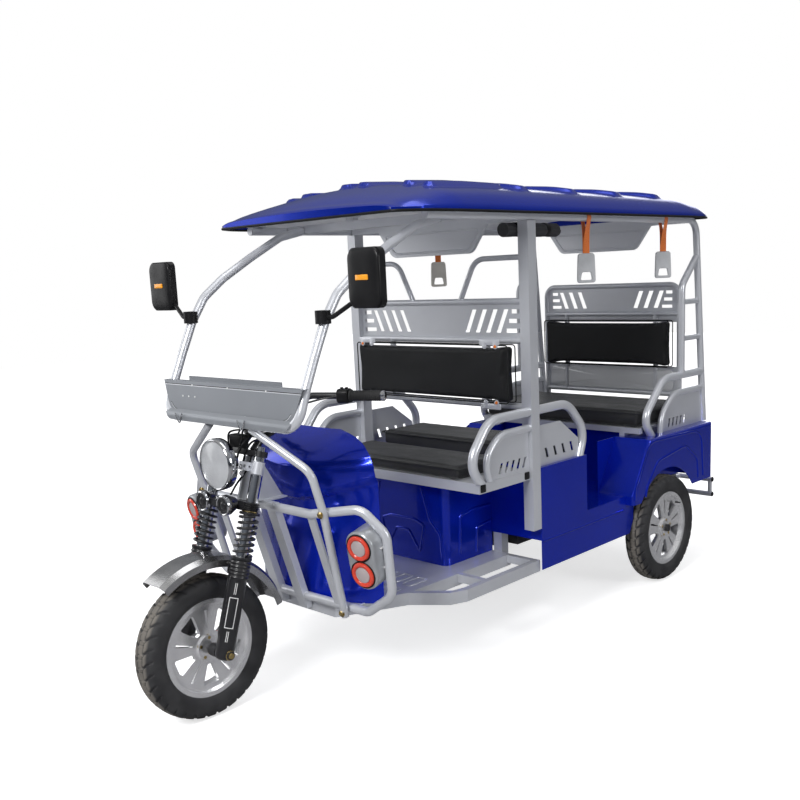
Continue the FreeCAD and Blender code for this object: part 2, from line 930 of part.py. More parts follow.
def make_mudguard():
    """A rolled strip over the front wheel, with turned-down lips."""
    crown = S.mudguard_radius + S.mudguard_crown
    inner = S.mudguard_radius - S.mudguard_lip
    wall = S.mudguard_wall
    half = S.mudguard_half_width
    shoulder = half * 0.72
    profile = [
        (inner, half), (inner, half - wall), (S.mudguard_radius - wall, half - wall),
        (crown - wall, shoulder - wall), (crown - wall, -shoulder + wall),
        (S.mudguard_radius - wall, -half + wall), (inner, -half + wall), (inner, -half),
        (S.mudguard_radius, -half), (crown, -shoulder), (crown, shoulder), (S.mudguard_radius, half),
    ]
    body = fresh("PartDesign::Body", "mudguard_strip")
    sketch = sketch_outline(body, "XZ_Plane", "mudguard_profile", [profile])
    turned = body.newObject("PartDesign::Revolution", "mudguard_turn")
    turned.Profile = sketch
    turned.ReferenceAxis = (sketch, ["V_Axis"])
    turned.Angle = MUDGUARD_FRONT - MUDGUARD_REAR
    body.Tip = turned
    spin = Rotation(Vector(1, 0, 0), MUDGUARD_REAR)
    lay = Rotation(Vector(0, 1, 0), Vector(0, 0, 1), Vector(1, 0, 0), "XYZ")
    body.Placement = Placement(AXLE_POINT, spin * lay)
    DOC.recompute()
    parts = [body.Shape]
    for _, sign in SIDES:
        low = fork_point((S.leg_offset - S.leg_radius * 0.9) * sign, S.leg_length - S.leg_collar_length * 0.5)
        high = fork_point((S.mudguard_half_width - S.mudguard_wall / 2) * sign,
                          S.mudguard_radius - S.mudguard_lip * 0.5)
        heading = (high - low).normalize()
        stay = Part.makeCylinder(float(S.axle_radius) * 0.6, (high - low).Length, low, heading)
        leg = fork_bar(S.leg_offset * sign, ZERO, S.leg_length, S.leg_collar_radius + S.seat_gap)
        parts.append(stay.cut(leg))
    keep("mudguard", solid("mudguard", fused_shape(parts)))


def make_headlamp():
    """A round bucket with a rim ring and a domed lens, held by two ears."""
    place = Placement(vector(ZERO, behind(S.headlamp_back), S.headlamp_height),
                      Rotation(Vector(1, 0, 0), -90))
    ring = S.headlamp_ring
    bucket = revolved("headlamp_bucket", [
        (ZERO, S.headlamp_depth), (S.headlamp_tail_radius, S.headlamp_depth),
        (S.headlamp_radius - ring, S.headlamp_ring_depth), (S.headlamp_radius, S.headlamp_ring_depth),
        (S.headlamp_radius, ZERO), (S.headlamp_radius - ring, ZERO),
        (S.headlamp_radius - ring, S.lens_depth + S.lens_bulge), (ZERO, S.lens_depth + S.lens_bulge),
    ], place)
    lens = revolved("headlamp_lens", [
        (ZERO, -S.lens_bulge), (S.headlamp_radius * 0.5, -S.lens_bulge * 0.72),
        (S.headlamp_radius * 0.8, -S.lens_bulge * 0.2),
        (S.headlamp_radius - ring - S.seat_gap, S.lens_depth),
        (S.headlamp_radius - ring - S.seat_gap, S.lens_depth + S.lens_bulge - S.seat_gap),
        (ZERO, S.lens_depth + S.lens_bulge - S.seat_gap),
    ], place)
    low_rise, _ = ear_rises()
    inner = S.leg_offset - S.stanchion_radius - S.ear_thickness - S.seat_gap
    ahead = -S.ear_reach + S.ear_hole_radius * 1.6
    pivots = []
    for side, sign in SIDES:
        start = fork_point(S.headlamp_radius * 0.7 * sign, low_rise + S.ear_depth / 2, ahead)
        length = float(inner - S.headlamp_radius * 0.7)
        pivots.append(solid(f"headlamp_pivot_{side}", Part.makeCylinder(
            float(S.ear_hole_radius), length, start, Vector(sign, 0, 0))))
    keep("headlamp", fuse("headlamp", [bucket] + pivots))
    keep("headlamp_lens", lens)


def ear_rises():
    """How far up the fork the lamp's ears start and end."""
    middle = (S.headlamp_height - S.tyre_radius) / math.cos(RAKE_RADIANS) - S.axis_offset * 0.3
    return middle - S.ear_depth / 2, middle + S.ear_depth / 2


def make_lamp_bracket():
    """Ears from the fork tubes to the headlamp, and the bar that carries the spot lamps."""
    pieces = []
    low_rise, high_rise = ear_rises()
    inner = S.leg_offset - S.stanchion_radius - S.ear_thickness
    for side, sign in SIDES:
        collar = fork_bar(S.leg_offset * sign, low_rise, high_rise, S.stanchion_radius + S.ear_thickness)
        ear = Part.makeBox(float(S.ear_thickness), float(S.ear_reach), float(S.ear_depth) * 0.7)
        ear.translate(Vector(0, -float(S.ear_reach), 0))
        start = inner if sign > 0 else -inner - S.ear_thickness
        ear.Placement = Placement(fork_point(start, low_rise + S.ear_depth * 0.15),
                                  Rotation(Vector(1, 0, 0), -RAKE)) * ear.Placement
        clamp = collar.fuse(ear)
        clamp = clamp.cut(fork_bar(S.leg_offset * sign, low_rise - S.cut_overrun, high_rise + S.cut_overrun,
                                   S.stanchion_radius + S.seat_gap))
        for reach, share in ((S.ear_hole_reach, 1.0), (S.ear_slot_reach, 0.8)):
            middle = fork_point(start - S.cut_overrun, low_rise + S.ear_depth / 2, -reach)
            drill = Part.makeCylinder(float(S.ear_hole_radius) * share,
                                      float(S.ear_thickness + S.cut_overrun * 2), middle, Vector(1, 0, 0))
            clamp = clamp.cut(drill)
        pieces.append(solid(f"lamp_ear_{side}", clamp))
    keep("lamp_bracket", gather("lamp_bracket", pieces))


def make_spot_lamps():
    """Two small ringed lamps on a bar ahead of the lower yoke."""
    lamps = []
    y = behind(S.spot_back)
    for side, sign in SIDES:
        place = Placement(vector(S.spot_offset * sign, y, S.spot_height), Rotation(Vector(1, 0, 0), -90))
        lamps.append(revolved(f"spot_lamp_{side}_body", [
            (ZERO, S.spot_ring), (S.spot_radius - S.spot_ring, S.spot_ring),
            (S.spot_radius - S.spot_ring, ZERO), (S.spot_radius, ZERO),
            (S.spot_radius, S.spot_depth * 0.4), (S.spot_radius * 0.6, S.spot_depth),
            (ZERO, S.spot_depth)], place))
    half = S.spot_offset + S.spot_radius * 0.4
    bar = box("spot_lamp_bar",
              (-half, y + S.spot_ring * 2, S.spot_height - S.spot_bar_thickness / 2),
              (half, y + S.spot_depth + S.spot_bar_thickness, S.spot_height + S.spot_bar_thickness / 2))
    clear = S.yoke_depth / 2 + S.seat_gap
    yoke = solid("spot_lamp_clearance", fork_block(
        S.leg_offset, S.lower_yoke_rise - S.cut_overrun * 2, S.lower_yoke_rise + S.cut_overrun * 4,
        -clear, S.yoke_depth * 2))
    joined = fuse("spot_lamps_joined", lamps + [bar])
    keep("spot_lamps", cut("spot_lamps", joined, yoke))


def bar_points(sign):
    """The left or right half of the handlebar, from its middle outward."""
    return mirrored([
        vector(ZERO, behind(S.bar_clamp_back), S.bar_clamp_height),
        vector(S.bar_clamp_half, behind(S.bar_clamp_back), S.bar_clamp_height),
        vector(S.bar_rise_offset, behind(S.bar_rise_back), S.bar_height),
        vector(S.bar_end_offset, behind(S.bar_end_back), S.bar_height),
    ], sign)


def make_handlebar():
    halves = [tube_shape(bar_points(sign), S.bar_radius, S.bar_bend) for _, sign in SIDES]
    risers = []
    for _, sign in SIDES:
        top = vector(S.bar_clamp_half * 0.6 * sign, behind(S.bar_clamp_back), S.bar_clamp_height)
        foot_rise = S.upper_yoke_rise + S.upper_yoke_thickness
        foot = fork_point(S.bar_clamp_half * 0.6 * sign, foot_rise, S.axis_offset * 0.5)
        heading = (top - foot).normalize()
        risers.append(Part.makeCylinder(float(S.bar_riser_radius), (top - foot).Length, foot, heading))
    yoke = fork_block(S.leg_offset, S.upper_yoke_rise, S.upper_yoke_rise + S.upper_yoke_thickness + S.seat_gap,
                      -S.yoke_depth, S.yoke_depth * 2)
    keep("handlebar", solid("handlebar", fused_shape(halves + risers).cut(yoke)))
    grips = []
    for side, sign in SIDES:
        points = bar_points(sign)
        heading = (points[3] - points[2]).normalize()
        end = points[3]
        start = end - heading * float(S.grip_length)
        sleeve = Part.makeCylinder(float(S.grip_radius), float(S.grip_length), start, heading)
        cap = Part.makeCylinder(float(S.grip_radius) * 0.9, float(S.grip_cap_length), end, heading)
        switch_start = start - heading * float(S.switch_length)
        switch = Part.makeCylinder(float(S.switch_radius), float(S.switch_length), switch_start, heading)
        hole = Part.makeCylinder(float(S.bar_radius + S.seat_gap),
                                 float(S.grip_length + S.switch_length), switch_start - heading, heading)
        grip = fused_shape([sleeve, cap, switch])
        trimmed = grip.cut(tube_shape(points, S.bar_radius + S.seat_gap, S.bar_bend)).cut(hole)
        grips.append(solid(f"grip_{side}", trimmed))
    keep("grips", gather("grips", grips))


# Front guard, neck and stays
def guard_point(across, height):
    """A point on the guard's leaning plane."""
    share = (float(S.guard_top_height) - float(height)) / float(S.guard_top_height - S.guard_bottom_height)
    back = float(S.guard_top_back) + share * float(S.guard_bottom_back - S.guard_top_back)
    return vector(across, FRONT_AXLE + back, height)


def leaning_bar(across, width, depth, low, high, set_back=0):
    """A flat or square bar standing in the guard's plane."""
    foot = guard_point(0, low)
    top = guard_point(0, high)
    outline = [
        (foot.y + float(set_back), foot.z), (foot.y + float(set_back) + float(depth), foot.z),
        (top.y + float(set_back) + float(depth), top.z), (top.y + float(set_back), top.z),
    ]
    corners = [Vector(float(across) - float(width) / 2, y, z) for y, z in outline]
    face = Part.Face(Part.makePolygon(corners + corners[:1]))
    return face.extrude(Vector(float(width), 0, 0))


def loop_points():
    """The left half of the guard's tube: out along its top, round the loop and back in."""
    middle = float(S.post_depth) / 2
    top = guard_point(0, S.guard_top_height - S.guard_tube_radius)
    low = guard_point(0, S.guard_cross_height)
    return [
        Vector(0, top.y + middle, top.z),
        Vector(float(S.slat_offset), top.y + middle, top.z),
        vector(S.loop_top_offset, behind(S.loop_top_back), S.loop_top_height),
        vector(S.loop_outer_offset, behind(S.loop_outer_back - S.guard_tube_radius), S.loop_shoulder_height),
        vector(S.loop_outer_offset, behind(S.loop_outer_back), S.loop_foot_height),
        vector(S.loop_bottom_offset, behind(S.loop_bottom_back), S.guard_cross_height),
        Vector(0, low.y + middle, low.z),
    ]


def loop_crossings():
    """Where the stays pass the guard's upper and lower tubes, as two Y values."""
    points = loop_points()
    share = float(S.stay_knee_offset - S.slat_offset) / float(S.loop_top_offset - S.slat_offset)
    upper = points[1].y + share * (points[2].y - points[1].y)
    share = float(S.stay_knee_offset) * 0.93 / float(S.loop_bottom_offset)
    lower = points[6].y + share * (points[5].y - points[6].y)
    return upper, lower


def make_guard():
    pieces = []
    for _, sign in SIDES:
        pieces.append(leaning_bar(S.post_offset * sign, S.post_width, S.post_depth,
                                  S.guard_bottom_height, S.guard_top_height))
        pieces.append(leaning_bar(S.slat_offset * sign, S.slat_width, S.slat_depth,
                                  S.guard_cross_height, S.guard_top_height, S.guard_tube_radius * 0.6))
    for _, sign in SIDES:
        pieces.append(tube_shape(mirrored(loop_points(), sign), S.guard_tube_radius, S.loop_bend))
    keep("front_guard", solid("front_guard", fused_shape(pieces)))


def make_neck():
    """The head tube, with two gusset plates down to the guard posts."""
    low = S.lower_yoke_rise + S.lower_yoke_thickness + S.moving_gap
    high = S.upper_yoke_rise - S.moving_gap
    outer = S.stem_radius + S.seat_gap + S.head_tube_wall
    tube = fork_bar(0, low, high, outer, S.axis_offset)
    gussets = []
    for _, sign in SIDES:
        foot = guard_point(0, S.guard_top_height)
        seat = foot.z + float(S.seat_gap)
        bottom = fork_point(0, low + S.moving_gap, S.axis_offset)
        top = fork_point(0, high - S.moving_gap, S.axis_offset)
        rear = fork_point(0, high - S.moving_gap, S.axis_offset + outer)
        corners = [(bottom.y, bottom.z), (foot.y, seat), (foot.y + float(S.neck_plate_reach), seat),
                   (rear.y, rear.z), (top.y, top.z)]
        inner = float(outer - S.neck_plate_thickness)
        start = inner if sign > 0 else -float(outer)
        points = [Vector(start, y, z) for y, z in corners]
        face = Part.Face(Part.makePolygon(points + points[:1]))
        gussets.append(face.extrude(Vector(float(S.neck_plate_thickness), 0, 0)))
    foot = guard_point(0, S.guard_top_height)
    width = 2 * float(S.post_offset - S.post_width / 2 + S.neck_plate_thickness)
    bridge = Part.makeBox(width, float(S.neck_plate_reach), float(S.neck_plate_thickness),
                          Vector(-width / 2, foot.y, foot.z + float(S.seat_gap)))
    web = fused_shape(gussets + [bridge, tube])
    bore = fork_bar(0, low - S.cut_overrun, high + S.cut_overrun, S.stem_radius + S.seat_gap, S.axis_offset)
    keep("neck", solid("neck", web.cut(bore)))


def make_stays():
    """Bent tubes from the hoop's foot, in front of the guard and down to its lower tube."""
    stays = []
    ahead = float(S.stay_radius + S.guard_tube_radius) * 0.96
    for side, sign in SIDES:
        upper, lower = loop_crossings()
        points = [
            vector(S.stay_top_offset, behind(S.stay_top_back), S.stay_top_height),
            vector(S.stay_knee_offset, behind(S.stay_knee_back), S.stay_knee_height),
            Vector(float(S.stay_knee_offset), upper - ahead, float(S.guard_top_height)),
            Vector(float(S.stay_knee_offset) * 0.93, lower - ahead, float(S.stay_foot_height)),
        ]
        shape = tube_shape(mirrored(points, sign), S.stay_radius, S.stay_bend)
        loop = tube_shape(mirrored(loop_points(), sign), S.guard_tube_radius + S.seat_gap, S.loop_bend)
        hoop = tube_shape(mirrored(hoop_points(), sign), S.hoop_radius + S.seat_gap, S.hoop_bend)
        stays.append(solid(f"guard_stay_{side}", shape.cut(loop).cut(hoop)))
    keep("guard_stays", gather("guard_stays", stays))


def pod_shell(name, placement):
    """An upright rounded case whose front face is its own top, softened at its rim."""
    body = fresh("PartDesign::Body", name)
    half = S.pod_radius
    tall = S.pod_half_height
    outline = [(-half, -tall), (half, -tall), (half, tall), (-half, tall)]
    pad = body.newObject("PartDesign::Pad", name + "_pad")
    pad.Profile = sketch_outline(body, "XY_Plane", name + "_outline", [outline])
    pad.setExpression("Length", S.pod_depth.text)
    ends = round_edges(body, pad, half * 0.98, straight_along(Vector(0, 0, 1)), name + "_ends")
    round_edges(body, ends, S.pod_round, edges_at("Z", S.pod_depth), name + "_rim")
    body.Placement = placement
    return body


def make_pods():
    """A lamp pod in each loop of the guard: it leans with the guard and faces a little outward."""
    pods, lamps = [], []
    for side, sign in SIDES:
        turn = Rotation(Vector(0, 0, 1), POD_TURN * sign) * Rotation(Vector(1, 0, 0), 90 + POD_LEAN)
        face = vector(S.pod_offset * sign, behind(S.pod_back), S.pod_height)
        base = face + turn.multVec(Vector(0, 0, -float(S.pod_depth)))
        pods.append(pod_shell(f"lamp_pod_{side}", Placement(base, turn)))
        for tag, rise in (("low", -S.pod_lamp_rise), ("high", S.pod_lamp_rise)):
            seat = face + turn.multVec(vector(ZERO, rise, S.seat_gap))
            lamps.append(revolved(f"pod_lamp_{side}_{tag}", [
                (ZERO, ZERO), (S.pod_lamp_radius, ZERO), (S.pod_lamp_radius, S.pod_lamp_depth * 0.5),
                (S.pod_lamp_radius * 0.88, S.pod_lamp_depth), (S.pod_lamp_radius * 0.62, S.pod_lamp_depth * 0.7),
                (ZERO, S.pod_lamp_depth * 0.9)], Placement(seat, turn)))
    loops = fused_shape([tube_shape(mirrored(loop_points(), sign), S.guard_tube_radius + S.seat_gap, S.loop_bend)
                         for _, sign in SIDES])
    clearance = solid("guard_clearance", loops)
    keep("lamp_pods", cut("lamp_pods", gather("lamp_pods_whole", pods), clearance))
    keep("pod_lamps", gather("pod_lamps", lamps))


# Leg shield, dash and windscreen hoop
def arc_face(half, side_back, nose_back, wall, z):
    """A crescent in plan: a bowed sheet of one wall thickness."""
    def bow(inset):
        side = float(half) - inset
        return Part.Arc(vector(-side, behind(side_back), z),
                        vector(0, behind(nose_back) + inset, z),
                        vector(side, behind(side_back), z)).toShape()
    outer = bow(0.0)
    inner = bow(float(wall))
    ends = []
    for sign in (-1, 1):
        ends.append(Part.LineSegment(vector(sign * float(half), behind(side_back), z),
                                     vector(sign * (float(half) - float(wall)), behind(side_back), z)).toShape())
    return Part.Wire(Part.__sortEdges__([outer, inner] + ends))


def make_leg_shield():
    base = S.floor_height + S.seat_gap
    sections = [
        arc_face(S.shield_half_width, S.shield_side_back, S.shield_nose_back, S.shield_wall, base),
        arc_face(S.shield_half_width, S.shield_side_back, S.shield_nose_top_back, S.shield_wall, S.shield_height),
    ]
    sheet = Part.makeLoft(sections, True, True)
    half = S.shield_half_width
    outline = [
        (-half, base), (half, base), (half, S.shield_shoulder_height),
        (half * 0.9, S.shield_height * 0.955), (S.shield_top_half, S.shield_height),
        (-S.shield_top_half, S.shield_height), (-half * 0.9, S.shield_height * 0.955),
        (-half, S.shield_shoulder_height),
    ]
    front = behind(S.shield_nose_back) - S.cut_overrun
    corners = [vector(x, front, z) for x, z in outline]
    mask = Part.Face(Part.makePolygon(corners + corners[:1])).extrude(
        Vector(0, float(S.shield_side_back - S.shield_nose_back) + 2 * float(S.cut_overrun), 0))
    keep("leg_shield", solid("leg_shield", sheet.common(mask)))


# Shares of the hoop's reach, from its foot back to its top, and of its rise.
HOOP_SHARES = [(1.0, 1.0), (0.8, 0.955), (0.591, 0.84), (0.4, 0.725), (0.275, 0.625), (0.191, 0.492),
               (0.121, 0.332), (0.062, 0.188)]


def hoop_points():
    """The left half of the windscreen hoop, from its top end down to the middle of its foot."""
    reach = S.hoop_top_back - S.hoop_foot_back
    rise = RAIL_HEIGHT - S.hoop_foot_height
    points = [vector(S.hoop_offset, behind(S.hoop_foot_back + reach * along), S.hoop_foot_height + rise * up)
              for along, up in HOOP_SHARES]
    points.append(vector(S.hoop_offset, behind(S.hoop_foot_back), S.hoop_foot_height))
    points.append(vector(ZERO, behind(S.hoop_foot_back), S.hoop_foot_height))
    return points


def make_hoop():
    halves = [tube_shape(mirrored(hoop_points(), sign), S.hoop_radius, S.hoop_bend) for _, sign in SIDES]
    keep("windscreen_hoop", solid("windscreen_hoop", fused_shape(halves)))


def make_dash():
    """A pressed panel that stands on the hoop's foot and leans back, its upper corners ahead of the hoop."""
    wall = S.dash_wall
    low = S.hoop_foot_height + S.hoop_radius + S.seat_gap
    high = low + S.dash_rise
    near = behind(S.hoop_foot_back) - wall / 2
    far = near + S.dash_lean
    rear = far + S.dash_return
    profile = [(near, low), (near + wall, low), (far + wall, high - wall), (rear, high - wall), (rear, high), (far, high)]
    pressed = plate("dash_pressing", "YZ_Plane", profile, -S.dash_half_width, S.dash_half_width * 2)
    top = high + S.cut_overrun
    corner = low + S.dash_corner
    outline = [(-S.dash_half_width, top), (-S.dash_half_width, high), (-S.dash_low_half, corner),
               (-S.dash_low_half + S.dash_corner * 0.33, low + S.dash_corner * 0.25), (-S.dash_bottom_half, low),
               (S.dash_bottom_half, low), (S.dash_low_half - S.dash_corner * 0.33, low + S.dash_corner * 0.25),
               (S.dash_low_half, corner), (S.dash_half_width, high), (S.dash_half_width, top)]
    mask = plate("dash_mask", "XZ_Plane", outline, near - S.cut_overrun, S.dash_return + S.cut_overrun * 3)
    panel = fresh("Part::Common", "dash_face")
    panel.Base = pressed
    panel.Tool = mask
    upstand = box("dash_upstand", (-S.dash_upstand_half, rear - wall, high - wall),
                  (S.dash_upstand_half, rear, high + S.dash_upstand))
    hoops = [tube_shape(mirrored(hoop_points(), sign), S.hoop_radius + S.seat_gap, S.hoop_bend) for _, sign in SIDES]
    clearance = solid("dash_clearance", fused_shape(hoops))
    keep("dash_panel", cut("dash_panel", fuse("dash_joined", [panel, upstand]), clearance))


def make_mirrors():
    mirrors = []
    for side, sign in SIDES:
        x = S.mirror_offset * sign
        y = behind(S.mirror_back)
        half = S.mirror_width / 2
        low = S.mirror_height - S.mirror_tall / 2
        outline = [(x - half, low), (x + half, low), (x + half, low + S.mirror_tall), (x - half, low + S.mirror_tall)]
        head = plate(f"mirror_{side}_head", "XZ_Plane", outline, y - S.mirror_thickness / 2,
                     S.mirror_thickness, S.mirror_round)
        clamp_at = (S.hoop_offset * sign, behind(S.mirror_clamp_back), S.mirror_clamp_height)
        reach = (x - half * 0.9 * sign, y, low + S.mirror_tall * 0.12)
        knee = (S.hoop_offset * sign + (S.mirror_clamp_radius + S.mirror_clamp_length / 2) * sign,
                behind(S.mirror_clamp_back), S.mirror_clamp_height)
        arm = tube_shape([vector(*clamp_at), vector(*knee), vector(*reach)],
                         S.mirror_stalk_radius, S.mirror_clamp_radius)
        block = Part.makeCylinder(float(S.mirror_clamp_radius), float(S.mirror_clamp_length),
                                  vector(*clamp_at) - Vector(0, 0, float(S.mirror_clamp_length) / 2))
        hole = tube_shape(mirrored(hoop_points(), sign), S.hoop_radius + S.seat_gap, S.hoop_bend)
        stalk = solid(f"mirror_{side}_stalk", arm.fuse(block).cut(hole))
        mirrors.append(fuse(f"mirror_{side}", [stalk, head]))
    keep("mirrors", gather("mirrors", mirrors))


# Roof and cab frame
# Shares of the half width and of the rise along the roof's arch, from its edge to its middle.
ARCH_SHARES = [(1.0, 0.0), (0.955, 0.3), (0.885, 0.53), (0.8, 0.65), (0.62, 0.8), (0.3, 0.95), (0.0, 1.0)]
# Shares of the roof's length from its front, with the shares of the full rise and of the width there.
ROOF_SHARES = [(0.0, 0.15, 0.84), (0.02, 0.33, 0.92), (0.05, 0.56, 0.97), (0.12, 0.92, 1.0), (0.22, 1.0, 1.0),
               (0.9, 0.97, 1.0), (0.975, 0.72, 0.985), (1.0, 0.34, 0.93)]
RIB_SHARES = [0.36, 0.52, 0.68, 0.84]


def roof_shares(back):
    """The shares of the roof's full rise and width at a distance behind the front axle."""
    place = float(back - S.roof_front_back) / float(S.roof_rear_back - S.roof_front_back)
    for (first, *low), (last, *high) in zip(ROOF_SHARES, ROOF_SHARES[1:]):
        if place <= last:
            share = (place - first) / (last - first)
            return [start + (end - start) * share for start, end in zip(low, high)]
    return list(ROOF_SHARES[-1][1:])


def roof_section(back, inset, lip):
    """An arched section across the roof, closed along its bottom."""
    rise_share, width_share = roof_shares(back)
    half = float(S.roof_half_width) * width_share - float(inset)
    low = float(ROOF_EDGE - inset)
    rise = float(S.roof_rise) * rise_share
    y = float(behind(back))
    arch = [Vector(half * across, y, low + rise * up) for across, up in ARCH_SHARES]
    arch += [Vector(-point.x, y, point.z) for point in reversed(arch[:-1])]
    foot = Vector(0, 0, -float(lip))
    corners = [arch[0] + foot] + arch + [arch[-1] + foot]
    return Part.makePolygon(corners + corners[:1])


def roof_solid(inset, lip, first, last):
    """The space under the roof's skin at an inset, between two distances behind the front axle."""
    length = S.roof_rear_back - S.roof_front_back
    places = [S.roof_front_back + length * row[0] for row in ROOF_SHARES]
    between = [place for place in places if float(first) < float(place) < float(last)]
    sections = [roof_section(back, inset, lip) for back in [first] + between + [last]]
    return Part.makeLoft(sections, True, True)


def roof_rib(back):
    """A low pressed rib across the roof, sloped on all its sides."""
    half = S.roof_rib_width / 2
    inner = half - S.roof_rib_slope
    raised = -S.roof_rib_height
    spans = [(back - half, ZERO), (back - inner, raised), (back + inner, raised), (back + half, ZERO)]
    rib = Part.makeLoft([roof_section(place, inset, ZERO) for place, inset in spans], True, True)
    limit = float(S.roof_half_width) * 0.82
    mask = Part.makeBox(2 * limit, 2 * float(half), float(S.overall_height), vector(-limit, behind(back - half), ZERO))
    return rib.common(mask)


def roof_bead(across):
    """A low round-ended bead along the roof, cut to follow its arch."""
    half = S.roof_bead_half
    raised = roof_solid(-S.roof_rib_height, ZERO, S.roof_bead_front_back, S.roof_bead_rear_back)
    ends = []
    for back in (S.roof_bead_front_back + half, S.roof_bead_rear_back - half):
        ends.append(Part.makeCylinder(float(half), float(S.roof_rise * 2), vector(across, behind(back), ROOF_EDGE)))
    span = S.roof_bead_rear_back - S.roof_bead_front_back - half * 2
    middle = Part.makeBox(2 * float(half), float(span), float(S.roof_rise * 2),
                          vector(across - half, behind(S.roof_bead_front_back + half), ROOF_EDGE))
    return raised.common(fused_shape(ends + [middle]))


def make_roof():
    front = S.roof_front_back
    rear = S.roof_rear_back
    wall = S.roof_wall
    skin = roof_solid(ZERO, S.roof_lip, front, rear)
    space = roof_solid(wall, S.roof_lip + S.cut_overrun, front + wall, rear - wall)
    ribs = [roof_rib(front + (rear - front) * share) for share in RIB_SHARES]
    for offset in (S.roof_bead_offset, S.roof_bead_near, S.roof_bead_far):
        ribs += [roof_bead(offset * sign) for _, sign in SIDES]
    keep("roof_shell", solid("roof_shell", fused_shape([skin] + ribs).cut(space)))


def roof_bow(back):
    """An arched bar from rail to rail that carries the roof's skin."""
    gap = S.roof_wall + S.seat_gap
    depth = S.bow_depth
    outer = roof_solid(gap, ROOF_EDGE, back, back + depth)
    inner = roof_solid(gap + S.bow_height, ROOF_EDGE, back - depth, back + depth * 2)
    side = float(S.cab_half_width)
    span = float(S.cab_half_width - S.bow_foot)
    low = float(RAIL_HEIGHT + S.beam_height / 2 + S.seat_gap)
    y = float(behind(back))
    slab = Part.makeBox(2 * side, float(depth), float(S.overall_height), Vector(-side, y, low))
    gap_below = Part.makeBox(2 * span, float(depth), float(S.overall_height), Vector(-span, y, low))
    return outer.common(slab).cut(inner.common(gap_below))


def make_cab_frame():
    half = S.cab_half_width
    pillars, rails = [], []
    for side, sign in SIDES:
        inner = (half - S.pillar_width) * sign
        outer = half * sign
        low_x, high_x = (inner, outer) if sign > 0 else (outer, inner)
        pillars.append(box(f"pillar_{side}",
                           (low_x, behind(S.pillar_back), S.pillar_foot_height),
                           (high_x, behind(S.pillar_back + S.pillar_depth),
                            RAIL_HEIGHT - S.rail_radius - S.seat_gap)))
        rails.append(solid(f"roof_rail_{side}", tube_shape(rail_points(sign), S.rail_radius, S.rear_bend)))
    keep("pillars", gather("pillars", pillars))
    keep("roof_rails", gather("roof_rails", rails))
    inside = half - S.rail_radius * 2 - S.seat_gap
    top = RAIL_HEIGHT + S.beam_height / 2
    low = top - S.beam_height
    pieces = [box("hoop_beam", (-inside, behind(S.hoop_beam_back), low),
                  (inside, behind(S.hoop_beam_back + S.beam_depth), top))]
    for tag, back in (("front", S.pillar_back), ("rear", S.rear_pillar_top_back - S.rear_bend - S.beam_depth)):
        beam = box(f"{tag}_beam", (-inside, behind(back), low), (inside, behind(back + S.beam_depth), top))
        outline = [(-S.header_half_width, low), (-S.header_bottom_half, (RAIL_HEIGHT - S.header_drop)),
                   (S.header_bottom_half, (RAIL_HEIGHT - S.header_drop)), (S.header_half_width, low)]
        board = plate(f"{tag}_header_board", "XZ_Plane", outline, behind(back), S.header_thickness,
                      S.header_round, wanted=lower_corner)
        pieces.append(fuse(f"{tag}_header", [beam, board]))
    hoops = [tube_shape(mirrored(hoop_points(), sign), S.hoop_radius + S.seat_gap, S.hoop_bend) for _, sign in SIDES]
    clearance = solid("hoop_clearance", fused_shape(hoops))
    pieces[0] = cut("hoop_beam_seated", pieces[0], clearance)
    keep("roof_beams", gather("roof_beams", pieces))
    clear_rails = fused_shape([tube_shape(rail_points(sign), S.rail_radius + S.seat_gap, S.rear_bend)
                               for _, sign in SIDES])
    bows = [roof_bow(back).cut(clear_rails) for back in
            (S.rail_front_back + S.bow_depth, S.pillar_back, S.rear_pillar_top_back - S.rear_bend - S.bow_depth)]
    keep("roof_bows", gather("roof_bows", [solid(f"roof_bow_{index}", bow) for index, bow in enumerate(bows)]))


def rail_points(sign):
    """A roof rail that bends down at its rear to become the rear pillar."""
    x = S.cab_half_width - S.rail_radius
    return mirrored([
        vector(x, behind(S.rail_front_back), RAIL_HEIGHT),
        vector(x, behind(S.rear_pillar_top_back), RAIL_HEIGHT),
        vector(x, behind(S.rear_pillar_foot_back), S.rear_pillar_foot_height),
    ], sign)


def lower_corner(edge):
    """The upright edges at the lower corners of a header board."""
    if not straight_along(NORMALS["XZ_Plane"])(edge):
        return False
    return edge.BoundBox.ZMin < float((RAIL_HEIGHT - S.header_drop) + S.header_round)


# Driver's backrest
# Shares of a slotted plate's height where its level slots start.
SLOT_ROW_SHARES = [0.14, 0.44, 0.73]


def slot_field(half, low, high, slants, pitch):
    """Three level slots and a few slanted ones near each end of a plate, as a mirrored pair."""
    holes = []
    tall = high - low
    width = half * (pitch * 0.42)
    lean = half * 0.09
    for sign in (1, -1):
        for row, share in enumerate(SLOT_ROW_SHARES):
            near = half * (0.81 + 0.03 * row)
            far = half * 0.965
            bottom = low + tall * share
            top = bottom + tall * 0.13
            holes.append([(near * sign, bottom), (far * sign, bottom), (far * sign, top), (near * sign, top)])
        for index in range(slants):
            foot = half * (0.75 - pitch * index) - width
            bottom = low + tall * 0.14
            top = low + tall * 0.86
            holes.append([(foot * sign, bottom), ((foot + width) * sign, bottom),
                          ((foot + width + lean) * sign, top), ((foot + lean) * sign, top)])
    return holes


